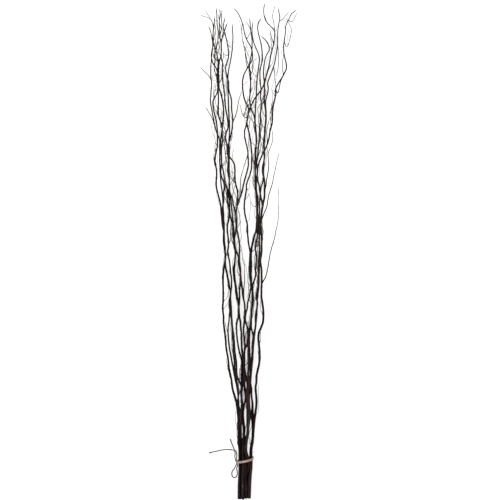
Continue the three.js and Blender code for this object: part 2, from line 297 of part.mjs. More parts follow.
    twigs: [
      [
        [7.47, 665.28, 38.91, 0.87], [-1.08, 682.99, 39.76, 0.67], [-8.89, 691.48, 38.91, 0.56],
      ],
      [
        [27.08, 141.1, 25.18, 0.87], [17.55, 136.38, 21.26, 0.76], [12.44, 143.14, 19.24, 0.68], [7.7, 154.53, 17.74, 0.56],
      ],
      [
        [7.06, 510.13, 41.27, 1.2], [3.41, 535.42, 32.94, 1.06], [0.35, 561.95, 31.62, 0.93], [-4.01, 576.42, 35.36, 0.86],
        [-8.14, 596.89, 39.51, 0.75], [-13.53, 620.31, 37.69, 0.63], [-14.64, 635.19, 34.69, 0.56],
      ],
    ],
  },
  {
    name: 'willow_stem_11',
    main: [
      [3.24, -737.42, 11.13, 4.04], [1.54, -711.64, 12.91, 3.99], [0.15, -684.62, 14.34, 3.93], [0.16, -657.63, 16.6, 3.88],
      [2.61, -627.65, 20.03, 3.82], [-5.82, -596.34, 22.91, 3.75], [-4.39, -563.55, 23.25, 3.6], [0.02, -533.87, 23.11, 3.45],
      [2.27, -500.92, 22.15, 3.28], [2.92, -476.91, 20.47, 3.14], [0.81, -449.94, 18.06, 2.97], [-0.28, -422.5, 16.1, 2.9],
      [4.89, -393.08, 15.88, 2.85], [6.91, -360.18, 18.48, 2.78], [9.28, -345.25, 19.21, 2.76], [10.74, -321.27, 17.68, 2.72],
      [12.72, -297.33, 13.47, 2.69], [13.19, -276.24, 10.53, 2.66], [15.76, -255.53, 10.74, 2.63], [9.96, -229.02, 13.91, 2.6],
      [9.19, -210.74, 14.76, 2.58], [10.91, -177.52, 11.42, 2.55], [15.61, -142.04, 10.86, 2.52], [13.33, -103.11, 14.85, 2.49],
      [22.34, -71.24, 10.1, 2.46], [22.19, -53.7, 7.12, 2.44], [24.66, -11.82, 12.09, 2.4], [22.08, 12.08, 17.12, 2.37],
      [27.47, 50.86, 13.94, 2.34], [27.95, 74.93, 10.93, 2.33], [29.53, 95.84, 12.29, 2.31], [28.26, 128.87, 17.5, 2.29],
      [29.68, 158.94, 17.66, 2.28], [25.22, 182.78, 16.32, 2.25], [24.36, 197.79, 16.43, 2.24], [24.88, 215.89, 17.79, 2.23],
      [27.44, 230.91, 19.18, 2.21], [27.9, 245.88, 19.91, 2.2], [25.43, 270.04, 19.02, 2.18], [27.39, 282.01, 18.03, 2.17],
      [31.55, 323.86, 16.51, 2.12], [34, 338.68, 17.29, 2.1], [34.22, 374.62, 21.14, 2.05], [36.57, 389.61, 23, 2.04],
      [37.28, 422.67, 24.59, 1.97], [39.85, 443.56, 22.71, 1.92], [37.21, 464.56, 20.2, 1.88], [38.42, 491.53, 20.73, 1.82],
      [37.09, 503.31, 22.69, 1.79], [35.23, 539.46, 28.5, 1.69], [42.65, 577.97, 25.04, 1.58], [42.74, 589.91, 24.09, 1.54],
      [39.75, 619.76, 27.4, 1.45], [37.17, 631.5, 30.01, 1.41], [28.25, 678.92, 27.58, 1.24], [40.75, 706.64, 22.48, 1.12],
    ],
    twigs: [
      [
        [39.85, 443.56, 22.71, 0.84], [44.11, 446.53, 22.41, 0.76], [48.71, 464.69, 21.01, 0.56],
      ],
    ],
  },
  {
    name: 'willow_stem_12',
    main: [
      [-3.82, -737.24, 16.31, 4.25], [-9.55, -711.67, 23.43, 4.19], [-8.12, -684.67, 30.27, 4.13], [-1.16, -657.69, 36.44, 4.07],
      [1.39, -627.73, 43.02, 4.01], [-7.75, -592.79, 50.05, 3.93], [-4.21, -563.06, 53.41, 3.78], [-0.17, -533.34, 52.1, 3.62],
      [2.4, -503.46, 50.94, 3.47], [2.54, -473.47, 48.89, 3.28], [0.7, -449.52, 47.74, 3.12], [-1.74, -422.31, 47.03, 3.05],
      [2.13, -392.56, 40.28, 2.99], [-0.23, -365.42, 36.3, 2.94], [0.91, -338.45, 35.91, 2.88], [1.63, -311.64, 32.5, 2.84],
      [0.57, -287.72, 30.67, 2.81], [-0.71, -261.01, 29.5, 2.78], [-1.98, -228.04, 24.07, 2.73], [-8.04, -207.77, 23.76, 2.71],
      [-7.29, -186.53, 24.82, 2.69], [-2.76, -165.89, 23.23, 2.67], [-1.28, -150.87, 21.97, 2.66], [3.43, -133.52, 22.99, 2.64],
      [7.83, -97.93, 25.87, 2.61], [4.14, -65.04, 24.44, 2.58], [4.39, -25.94, 28.56, 2.54], [5.92, -5.09, 28.28, 2.51],
      [1.57, 24.53, 30.85, 2.48], [-1.72, 54.36, 33.57, 2.46], [-2.8, 84.41, 30.5, 2.44], [-10.26, 116.35, 34.84, 2.42],
      [-11.22, 134.48, 37.39, 2.41], [-10.73, 152.61, 38.04, 2.4], [-5.26, 188.11, 41.35, 2.37], [-4.55, 203.26, 41.85, 2.35],
      [5.77, 234.9, 38.69, 2.32], [9.46, 249.26, 40.49, 2.31], [10.5, 272.95, 47.61, 2.29], [10.14, 299.88, 50.45, 2.25],
      [7.02, 332.66, 49.33, 2.21], [3.5, 353.27, 50.08, 2.19], [-3.67, 385.67, 49.54, 2.14], [-2.41, 400.92, 52.35, 2.12],
      [0.76, 415.68, 57.48, 2.08], [1.4, 427.43, 61.03, 2.06], [-8.27, 449.04, 61.33, 2.01], [-13.31, 466.57, 57.67, 1.97],
      [-17.04, 499.55, 58.34, 1.89], [-16.87, 511.78, 60.09, 1.86], [-9.94, 535.13, 62.63, 1.79], [-2.49, 548.46, 65.32, 1.75],
      [11.17, 571.5, 71.18, 1.68], [13.11, 586.07, 70.76, 1.63], [7.75, 611.94, 64.06, 1.55], [-5.31, 635.51, 65.43, 1.47],
      [-10.25, 649.91, 70.09, 1.41], [-17.18, 682.13, 74.6, 1.29], [-29.54, 709.27, 76.52, 1.17], [-44.04, 728.33, 75.57, 1.08],
    ],
    twigs: [
      [
        [-5.31, 635.51, 65.43, 0.83], [8.54, 656.63, 71.46, 0.56],
      ],
      [
        [-17.18, 682.13, 74.6, 0.85], [-19.25, 659.14, 70.6, 0.78], [-15.82, 625.8, 70.18, 0.69], [-9.43, 608.61, 69.49, 0.64],
        [3.96, 581.33, 63.53, 0.56],
      ],
      [
        [-2.41, 400.92, 52.35, 0.99], [-12.89, 404.77, 51.99, 0.9], [-25.13, 443.2, 55.89, 0.56],
      ],
      [
        [-2.49, 548.46, 65.32, 1.1], [-5.21, 563.28, 67.17, 0.98], [-9.13, 596.46, 65.61, 0.72], [-5.65, 617.21, 69.82, 0.56],
      ],
    ],
  },
  {
    name: 'willow_stem_13',
    main: [
      [-1.69, -738.73, 4.25, 4], [-1.73, -711.67, 5.1, 3.95], [-1.95, -684.69, 6.35, 3.89], [-0.44, -657.74, 7.66, 3.84],
      [0.98, -627.8, 8.48, 3.78], [-8.26, -593.43, 7.52, 3.7], [-2.48, -552.01, 8.04, 3.5], [3.43, -507.42, 10.1, 3.29],
      [11.13, -478.52, 11.74, 3.12], [12.12, -466.62, 13.44, 3.04], [12.38, -451.65, 15.06, 2.95], [9.36, -424.87, 12.9, 2.87],
      [6.61, -382.97, 8.56, 2.8], [5.96, -352.99, 13.25, 2.74], [5.25, -323, 9.15, 2.69], [4.18, -293.03, 2.99, 2.65],
      [3.02, -263.08, 5.5, 2.62], [4.9, -236.16, 5.38, 2.58], [7.24, -209.26, 2.55, 2.55], [9.62, -182.38, 4.18, 2.53],
      [11.64, -155.47, 6.07, 2.5], [11.64, -119.48, 3.25, 2.47], [9.9, -83.53, 2.44, 2.44], [8.27, -47.58, 3.2, 2.41],
      [8.98, -11.61, 8.2, 2.37], [12.18, 18.19, 6.99, 2.34], [17.76, 41.51, 3.51, 2.32], [22.83, 64.94, 4.81, 2.31],
      [25.99, 106.79, 4.76, 2.28], [25.46, 148.76, 3.01, 2.26], [22.86, 181.65, 12.14, 2.23], [20.41, 214.54, 5.9, 2.2],
      [21.47, 241.5, 2.18, 2.18], [22.27, 271.47, 8.24, 2.16], [23.04, 301.46, 7.14, 2.12], [24.16, 331.42, 4.87, 2.09],
      [21.93, 367.33, 11.63, 2.04], [20.89, 403.3, 7.65, 1.99], [21.99, 436.27, 4.35, 1.92], [24.33, 469.17, 5.93, 1.85],
      [25.23, 502.14, 8.81, 1.77], [29.32, 543.93, 11.14, 1.66], [33.34, 588.68, 7.52, 1.53], [19.14, 624.26, 10.54, 1.42],
      [12.72, 653.5, 5.19, 1.32], [11.75, 665.37, 5.23, 1.27], [12.96, 695.33, 15.85, 1.16],
    ],
    twigs: [
    ],
  },
  {
    name: 'willow_stem_14',
    main: [
      [4.56, -737.16, 20.35, 3.88], [5.38, -711.67, 20.27, 3.82], [6.56, -681.67, 19.8, 3.77], [8.67, -654.72, 17.82, 3.71],
      [9.86, -624.86, 14.36, 3.65], [7.15, -595, 11, 3.6], [12.59, -562.56, 7.82, 3.44], [13.67, -535.6, 6.15, 3.32],
      [11.61, -505.7, 4.77, 3.18], [4.96, -473.46, 3.93, 2.99], [3.22, -434.52, 3.37, 2.8], [5.49, -410.65, 3.12, 2.76],
      [7.53, -383.73, 2.71, 2.71], [9.75, -356.82, 2.82, 2.67], [12.37, -329.94, 4.05, 2.62], [14.5, -300.02, 5.71, 2.58],
      [16.68, -270.1, 5.54, 2.54], [20.07, -240.29, 3.46, 2.51], [24.49, -207.6, 2.47, 2.47], [26.27, -177.65, 4.8, 2.45],
      [27.51, -144.68, 7.91, 2.42], [30.84, -114.87, 7.34, 2.39], [32.38, -90.92, 4.77, 2.37], [33.05, -66.93, 2.65, 2.35],
      [33.55, -42.94, 2.75, 2.33], [34.34, -18.95, 4.72, 2.31], [34.56, 8.05, 6.61, 2.28], [33.14, 41.01, 5.51, 2.25],
      [32.28, 77, 2.6, 2.23], [33.89, 112.96, 3.02, 2.21], [34.8, 151.94, 4.99, 2.19], [38.21, 190.78, 3.6, 2.16],
      [45.94, 222.66, 2.38, 2.13], [46.79, 249.63, 3.43, 2.11], [48.22, 279.6, 5.17, 2.08], [48.63, 321.59, 3.94, 2.03],
      [50.9, 360.53, 1.99, 1.99], [54.16, 402.39, 4.4, 1.93], [53.52, 426.37, 5.73, 1.88], [52.35, 453.33, 5.05, 1.82],
      [59.86, 488.26, 2.51, 1.75], [59.21, 511.7, 2.28, 1.7], [67.01, 534.29, 3.53, 1.64], [76.34, 559.6, 4.78, 1.57],
      [83.59, 591.78, 3.65, 1.47], [88.66, 627.39, 1.59, 1.36], [89.23, 666.35, 3.47, 1.23], [94.13, 698.97, 5.03, 1.11],
      [94.64, 710.81, 4.49, 1.06], [89.46, 740.33, 0.93, 0.93],
    ],
    twigs: [
      [
        [94.13, 698.97, 5.03, 0.73], [100.34, 699.83, 5.38, 0.71], [123.04, 726.11, 2.9, 0.56],
      ],
      [
        [88.66, 627.39, 1.59, 0.9], [90.98, 599.21, 4.22, 0.8], [90.7, 560.25, 2.88, 0.67], [84.67, 530.56, 2.19, 0.56],
      ],
      [
        [76.34, 559.6, 4.78, 1.03], [78.55, 548.41, 4.29, 0.94], [81.79, 512.18, 3.39, 0.66], [84.36, 500.26, 1.19, 0.56],
      ],
    ],
  },
  {
    name: 'willow_stem_15',
    main: [
      [3.99, -737.21, 35.53, 4.29], [3.88, -711.69, 33.79, 4.23], [3.86, -684.72, 31.83, 4.17], [5.32, -654.79, 29.24, 4.11],
      [7.33, -624.87, 26.75, 4.04], [7.55, -597.9, 24.84, 3.99], [12.94, -565.43, 22.61, 3.83], [14.08, -535.5, 19.53, 3.67],
      [13.61, -505.53, 18.29, 3.51], [13.76, -475.55, 18.9, 3.32], [12.81, -451.6, 22.11, 3.17], [10.1, -433.84, 26.99, 3.1],
      [9.56, -406.8, 32.16, 3.05], [6.12, -392.02, 31.56, 3.02], [5.51, -376.97, 28.84, 2.99], [9.4, -347.17, 25.26, 2.93],
      [12.26, -317.36, 26, 2.88], [12.87, -293.39, 25.65, 2.85], [13.39, -269.38, 25.55, 2.81], [16.51, -248.46, 25.6, 2.79],
      [21.63, -224.98, 22.26, 2.76], [22.4, -192.11, 14.83, 2.72], [27.59, -153.5, 17.1, 2.68], [24.81, -132.51, 18.86, 2.66],
      [29.84, -99.88, 18.75, 2.63], [31.23, -82.16, 19.69, 2.62], [30.91, -43.21, 19.49, 2.58], [32.6, -4.45, 19.91, 2.54],
      [34, 7.54, 22.47, 2.52], [33.3, 46.49, 27.6, 2.49], [36.43, 73.34, 26.64, 2.47], [37.29, 97.15, 28.4, 2.46],
      [42.71, 138.77, 29.88, 2.43], [34.61, 182.91, 32.17, 2.39], [33.61, 197.93, 34.37, 2.38], [28.26, 218.31, 35.04, 2.36],
      [27.72, 242.37, 34.13, 2.34], [31, 263.09, 36.23, 2.32], [40.79, 288.39, 40.57, 2.29], [55.1, 317.8, 38.8, 2.25],
      [62.79, 343.56, 38.61, 2.22], [64.64, 358.42, 40.91, 2.2], [72.15, 390.44, 44.73, 2.16], [73.44, 426.39, 47.61, 2.08],
      [81.66, 470.41, 50.91, 1.98], [82.15, 485.48, 48.18, 1.94], [88.6, 502.65, 45.78, 1.9], [107.6, 533.04, 52.4, 1.82],
      [114.57, 552.47, 56.78, 1.76], [106.55, 592.97, 58.27, 1.63], [106.13, 617.33, 58.74, 1.54], [107.56, 629.24, 57.59, 1.5],
      [110.39, 653.01, 52.81, 1.41], [112.98, 676.84, 52.61, 1.32], [119.87, 692.78, 58.41, 1.26], [130.23, 710.97, 66.47, 1.17],
      [147.29, 723.33, 68.4, 1.11],
    ],
    twigs: [
      [
        [82.15, 485.48, 48.18, 1.28], [88.32, 474.84, 47.44, 1.22], [90.83, 481.51, 45.98, 1.18], [97.96, 513.66, 46.69, 1.02],
        [104.51, 530.51, 47.47, 0.93], [103.17, 548.43, 47.55, 0.84], [102.97, 572.38, 54.33, 0.72], [105.57, 590.37, 59.49, 0.63],
        [105.66, 605.34, 58.43, 0.56],
      ],
      [
        [107.56, 629.24, 57.59, 0.99], [112.71, 615.06, 53.79, 0.94], [115.51, 612.13, 53.12, 0.92], [126.4, 643.93, 58.05, 0.79],
        [128.91, 661.5, 60.46, 0.72], [126.81, 672.43, 58.98, 0.68], [111.43, 701.04, 53.29, 0.56],
      ],
      [
        [119.87, 692.78, 58.41, 0.83], [129.61, 686.6, 60.23, 0.77], [147.42, 716.6, 60.2, 0.56],
      ],
      [
        [55.1, 317.8, 38.8, 1.19], [57.62, 332.47, 40.74, 1.08], [55.26, 356.97, 43.66, 0.9], [61.03, 389.81, 40.35, 0.65],
        [64.28, 401.54, 41.47, 0.56],
      ],
    ],
  },
  {
    name: 'willow_stem_16',
    main: [
      [2.76, -736.35, 44.45, 4.37], [2.75, -711.66, 42.7, 4.31], [3.14, -681.65, 40.43, 4.25], [7.9, -654.71, 38.3, 4.19],
      [9.47, -624.96, 35.92, 4.12], [8.68, -594.98, 33.5, 4.06], [13.33, -565.36, 30.79, 3.9], [15.4, -538.44, 27.67, 3.76],
      [18.28, -508.57, 24.6, 3.6], [21.53, -484.79, 22.71, 3.45], [24.86, -457.99, 20.32, 3.27], [24.72, -437.09, 17.58, 3.16],
      [22.13, -407.09, 13.1, 3.11], [24.47, -392.12, 11.84, 3.08], [25.42, -371.05, 12.27, 3.03], [33.65, -329.97, 15.84, 2.95],
      [33.84, -291.07, 15.88, 2.9], [31.18, -270.21, 14.73, 2.87], [31.12, -252, 14.55, 2.85], [34.2, -237.07, 15.59, 2.83],
      [44.6, -209.27, 20.35, 2.79], [45.87, -182.64, 24.84, 2.76], [42.43, -149.88, 26.1, 2.73], [40.22, -138, 25.38, 2.72],
      [39.82, -116.82, 24, 2.7], [40.45, -92.79, 24.59, 2.68], [39.74, -51.11, 32.54, 2.64], [36.72, -26.98, 36.73, 2.61],
      [40.11, 2.88, 36.72, 2.58], [40.16, 41.5, 33.2, 2.54], [37.79, 80.36, 38.03, 2.51], [38.92, 95.66, 42.19, 2.5],
      [40.32, 119.66, 47.83, 2.49], [44.34, 143.48, 49.35, 2.47], [48.61, 167.01, 46.88, 2.45], [48.93, 184.74, 44.61, 2.44],
      [48.72, 211.27, 44.69, 2.41], [42.98, 244.16, 52.4, 2.38], [43.43, 256.41, 55.91, 2.37], [48.98, 282.93, 60.75, 2.34],
      [48.63, 297.88, 60.79, 2.32], [46.37, 312.81, 59.34, 2.3], [46.1, 331.06, 56.99, 2.28], [48.91, 348.93, 55.95, 2.26],
      [49.17, 366.99, 57.55, 2.23], [52.05, 387.84, 62.59, 2.2], [51.86, 420.4, 71.64, 2.13], [48.02, 447.29, 74.31, 2.07],
      [48.81, 474.42, 72.24, 2.01], [48.91, 501.54, 70.58, 1.94], [52.2, 519.49, 72.06, 1.89], [60.41, 548.38, 78.67, 1.8],
      [67.61, 586.6, 85.96, 1.68], [75.71, 618.59, 85.52, 1.57], [78.61, 653.69, 84.14, 1.44], [73.05, 664.28, 84.91, 1.4],
      [55.88, 681.31, 88.42, 1.33], [46.3, 710.28, 93.68, 1.2], [48.66, 740.41, 95.6, 1.05],
    ],
    twigs: [
      [
        [38.92, 95.66, 42.19, 1.65], [51.78, 126.61, 38.73, 1.48], [56.81, 140.76, 39.65, 1.4], [60.49, 167.44, 44.04, 1.26],
        [70.57, 199.12, 49.29, 1.09], [75.53, 222.75, 50.75, 0.96], [81.17, 249.36, 51.04, 0.82], [86.26, 272.98, 52.19, 0.7],
        [92.47, 299.46, 54.68, 0.56],
      ],
      [
        [48.93, 184.74, 44.61, 1.61], [53.56, 200.24, 44.5, 1.52], [55.25, 217.84, 45.11, 1.42], [61, 250.57, 50.3, 1.23],
        [60.9, 277.52, 53.53, 1.08], [59, 292.7, 54.77, 0.99], [67.41, 315.33, 57.76, 0.85], [72.27, 332.67, 59.39, 0.75],
        [72.66, 365.29, 57.9, 0.56],
      ],
      [
        [40.45, -92.79, 24.59, 1.77], [52, -74.68, 26.18, 1.68], [54.83, -66.29, 27.41, 1.64], [60.92, -33.78, 31.69, 1.51],
        [67.2, 1.81, 34.12, 1.37], [72.92, 22.13, 33.3, 1.28], [79.77, 45.18, 33.74, 1.19], [82.67, 63.04, 36.83, 1.11],
        [88.71, 89.31, 40.84, 1.01], [89.9, 101.15, 40.74, 0.96], [90.67, 125.22, 39.69, 0.86], [91.65, 152.28, 43.12, 0.75],
        [90.64, 176.25, 45.92, 0.66], [88.86, 200.29, 44.71, 0.56],
      ],
      [
        [75.71, 618.59, 85.52, 0.96], [65.92, 649.93, 87.48, 0.67], [63.68, 662.04, 85.36, 0.56],
      ],
      [
        [78.61, 653.69, 84.14, 0.95], [77.22, 673.79, 82.59, 0.85], [72.54, 700.11, 86.55, 0.72], [74.32, 711.99, 90.73, 0.66],
        [80.23, 731.85, 97.34, 0.56],
      ],
    ],
  },
];

// Twine centrelines, [x, y, z].
const TIE_PATH = [
  [-33.25, -631.87, 25.78], [-31.1, -633.67, 25.28], [-31, -632.56, 30.98], [-31.35, -631.45, 37.59], [-27.79, -630.34, 42.9],
  [-22.35, -629.24, 46.22], [-17.18, -628.13, 49.76], [-10.92, -627.02, 50.17], [-4.89, -625.71, 50.02], [1.47, -624.18, 49.98],
  [6.59, -622.66, 46.27], [11.3, -621.14, 42.29], [15.25, -619.61, 37.43], [15.17, -618.09, 30.97], [15.02, -616.57, 25.28],
  [15, -617.63, 19.64], [15.46, -618.69, 13.03], [11.62, -619.75, 7.99], [5.88, -620.81, 5.32], [0.59, -621.88, 2.91],
  [-5.18, -622.94, 2.86], [-10.6, -624, 3.02], [-16.39, -625.06, 2.9], [-21.91, -626.12, 4.98], [-27.14, -627.18, 8.24],
  [-29.74, -628.24, 13.82], [-31.36, -629.31, 19.5], [-31.15, -630.37, 25.28], [-31.08, -629.26, 31], [-31.52, -628.15, 37.68],
  [-27.97, -627.04, 43.07], [-22.33, -625.94, 46.19], [-17.07, -624.83, 49.47], [-10.9, -623.72, 50.05], [-4.85, -622.41, 50.38],
  [1.51, -620.88, 50.1], [6.47, -619.36, 46.1], [11.1, -617.84, 42.11], [15.03, -616.31, 37.32], [15.04, -614.79, 30.94],
  [14.83, -613.27, 25.28], [14.76, -614.33, 19.7], [15.23, -615.39, 13.15], [11.76, -616.45, 7.87], [5.77, -617.51, 5.49],
  [0.6, -618.58, 2.88], [-5.16, -619.64, 2.7], [-10.6, -620.7, 3.03], [-16.34, -621.76, 3.02], [-21.9, -622.82, 5],
  [-27.3, -623.88, 8.1], [-29.85, -624.94, 13.76], [-31.35, -626.01, 19.5], [-31.19, -627.07, 25.28], [-33.25, -629.47, 24.78],
];
const LOOP_PATH = [
  [-35.66, -636.24, 24.64], [-37.25, -640.43, 22.15], [-38.9, -644.64, 19.72], [-40.69, -648.85, 17.38], [-42.74, -652.54, 14.49],
  [-44.65, -654.91, 10.37], [-46.45, -657.1, 6.11], [-48.32, -660.91, 3.33], [-49.46, -665.67, 1.86], [-49.55, -670.76, 1.42],
  [-47.9, -675.59, 1.34], [-44.41, -679.28, 1.34], [-39.5, -679.74, 1.34], [-35.62, -676.48, 1.34], [-33.64, -671.79, 1.35],
  [-33.24, -666.68, 1.58], [-33.34, -661.79, 3.04], [-33.84, -657.04, 4.92], [-34.39, -652.42, 7.08], [-34.39, -648.22, 10],
  [-33.68, -645.61, 14.34], [-32.82, -643.67, 19.01], [-31.94, -641.11, 23.32], [-32.13, -636.32, 24.97],
];
const TAIL_LONG_PATH = [
  [-34.4, -625.27, 26.8], [-34.61, -619.82, 25.31], [-34.51, -615.85, 21.28], [-34.4, -613.07, 16.34], [-34.39, -611.28, 10.94],
  [-34.49, -609.15, 5.68], [-35.08, -604.58, 2.58], [-37.48, -599.63, 1.52], [-42.54, -597.3, 1.34], [-48.18, -596.61, 1.34],
  [-53.82, -595.81, 1.34], [-59.48, -595.24, 1.34], [-65.17, -595.11, 1.34], [-70.85, -595.41, 1.34], [-76.5, -596.08, 1.34],
  [-82.1, -597.07, 1.34], [-87.67, -598.26, 1.34], [-93.21, -599.55, 1.34], [-98.75, -600.83, 1.34], [-104.31, -602.04, 1.5],
  [-109.88, -603.17, 1.86], [-115.44, -604.27, 2.33],
];
const TAIL_SHORT_PATH = [
  [-37.56, -626.9, 24.36], [-38.74, -621.75, 22.65], [-39.7, -616.66, 20.68], [-39.97, -612.11, 17.62], [-39.7, -609.31, 12.85],
  [-39.48, -606.54, 8.07], [-40.09, -601.81, 5.52], [-41.72, -596.59, 4.61], [-43.67, -591.42, 4.19], [-45.64, -586.34, 3.16],
  [-47.67, -581.28, 2.19], [-49.79, -576.18, 1.68], [-51.86, -571.04, 1.5], [-53.64, -565.87, 2.33],
];

const wasm = await Module();
wasm.setup();

// A closed tube along a centreline: a unit disc extruded in one step per point,
// then each cross-section is moved to its point, turned square to the line and
// scaled to the radius there.
function tube(points, sides, reference) {
  const disc = new THREE.Shape(
    Array.from({ length: sides }, (_, i) => {
      const a = -Math.PI / 2 + (2 * Math.PI * i) / sides;
      return new THREE.Vector2(Math.cos(a), Math.sin(a));
    }),
  );
  const steps = points.length - 1;
  const geometry = new THREE.ExtrudeGeometry(disc, {
    depth: 1,
    steps,
    bevelEnabled: false,
  });
  const centres = points.map((p) => new THREE.Vector3(p[0], p[1], p[2]));
  const frames = centres.map((c, i) => {
    const tangent = new THREE.Vector3();
    if (i > 0) tangent.add(c.clone().sub(centres[i - 1]).normalize());
    if (i < steps) tangent.add(centres[i + 1].clone().sub(c).normalize());
    tangent.normalize();
    const side = reference.clone().cross(tangent).normalize();
    return { side, up: tangent.clone().cross(side) };
  });
  const position = geometry.getAttribute('position');
  const v = new THREE.Vector3();
  for (let i = 0; i < position.count; i++) {
    const k = Math.round(position.getZ(i) * steps);
    const r = points[k][3];
    v.copy(centres[k])
      .addScaledVector(frames[k].side, position.getX(i) * r)
      .addScaledVector(frames[k].up, position.getY(i) * r);
    position.setXYZ(i, v.x, v.y, v.z);
  }
  return geometry;
}

function toSolid(geometry) {
  geometry.deleteAttribute('normal');
  geometry.deleteAttribute('uv');
  const merged = mergeVertices(geometry, 1e-4);
  return new wasm.Manifold(
    new wasm.Mesh({
      numProp: 3,
      vertProperties: new Float32Array(merged.getAttribute('position').array),
      triVerts: new Uint32Array(merged.getIndex().array),
    }),
  );
}

function toMesh(name, solid, colour, roughness) {
  const out = solid.getMesh();
  const geometry = new THREE.BufferGeometry();
  geometry.setAttribute(
    'position',
    new THREE.BufferAttribute(new Float32Array(out.vertProperties), 3),
  );
  geometry.setIndex(new THREE.BufferAttribute(new Uint32Array(out.triVerts), 1));
  geometry.computeVertexNormals();
  const mesh = new THREE.Mesh(
    geometry,
    new THREE.MeshStandardMaterial({ color: colour, roughness, metalness: 0 }),
  );
  mesh.name = name;
  return mesh;
}

function ball(centre, radii) {
  const geometry = new THREE.IcosahedronGeometry(1, 2);
  geometry.scale(radii[0], radii[1], radii[2]);
  geometry.translate(centre[0], centre[1], centre[2]);
  return toSolid(geometry);
}

const UP = new THREE.Vector3(0, 0, 1);
const ALONG = new THREE.Vector3(0, 1, 0);
const bunch = new THREE.Group();

// ---- the stems, each with its own twigs ----
STEMS.forEach((stem, i) => {
  let solid = toSolid(tube(stem.main, STEM_SIDES, UP));
  for (const twig of stem.twigs) {
    solid = solid.add(toSolid(tube(twig, TWIG_SIDES, UP)));
  }
  bunch.add(toMesh(stem.name, solid, STEM_COLOURS[i % STEM_COLOURS.length], 0.6));
});

// ---- the twine ----
const twine = (path, reference) =>
  toSolid(
    tube(
      path.map((p) => [...p, TWINE_DIAMETER / 2]),
      TWINE_SIDES,
      reference,
    ),
  );
const bead = (p) => ball(p, [TAIL_KNOT_RADIUS, TAIL_KNOT_RADIUS, TAIL_KNOT_RADIUS]);

bunch.add(
  toMesh(
    'twine_tie',
    twine(TIE_PATH, ALONG).add(ball(KNOT_CENTRE, KNOT_RADII)),
    TWINE_COLOUR,
    0.95,
  ),
);
bunch.add(toMesh('twine_loop', twine(LOOP_PATH, UP), TWINE_COLOUR, 0.95));
bunch.add(
  toMesh(
    'twine_tail_long',
    twine(TAIL_LONG_PATH, UP).add(bead(TAIL_LONG_PATH.at(-1))),
    TWINE_COLOUR,
    0.95,
  ),
);
bunch.add(
  toMesh(
    'twine_tail_short',
    twine(TAIL_SHORT_PATH, UP).add(bead(TAIL_SHORT_PATH.at(-1))),
    TWINE_COLOUR,
    0.95,
  ),
);

export default bunch;
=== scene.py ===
# A tied bunch of dried curly willow stems, lying on a pale surface and seen from above.
import math

import bpy
import numpy as np
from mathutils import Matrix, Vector


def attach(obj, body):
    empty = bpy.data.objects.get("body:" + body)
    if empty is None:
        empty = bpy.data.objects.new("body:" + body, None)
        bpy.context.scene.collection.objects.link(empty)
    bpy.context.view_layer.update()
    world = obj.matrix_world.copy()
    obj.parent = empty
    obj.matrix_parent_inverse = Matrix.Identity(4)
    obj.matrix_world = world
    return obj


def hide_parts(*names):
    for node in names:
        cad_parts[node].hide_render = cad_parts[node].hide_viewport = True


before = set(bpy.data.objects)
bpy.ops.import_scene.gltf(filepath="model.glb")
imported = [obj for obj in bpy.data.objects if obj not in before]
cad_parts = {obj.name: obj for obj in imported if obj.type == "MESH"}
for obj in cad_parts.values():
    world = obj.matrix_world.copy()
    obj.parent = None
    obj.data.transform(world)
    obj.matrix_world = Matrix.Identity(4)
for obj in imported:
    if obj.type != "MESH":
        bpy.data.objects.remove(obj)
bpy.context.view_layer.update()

MM = 0.001
rng = np.random.default_rng(20261120)

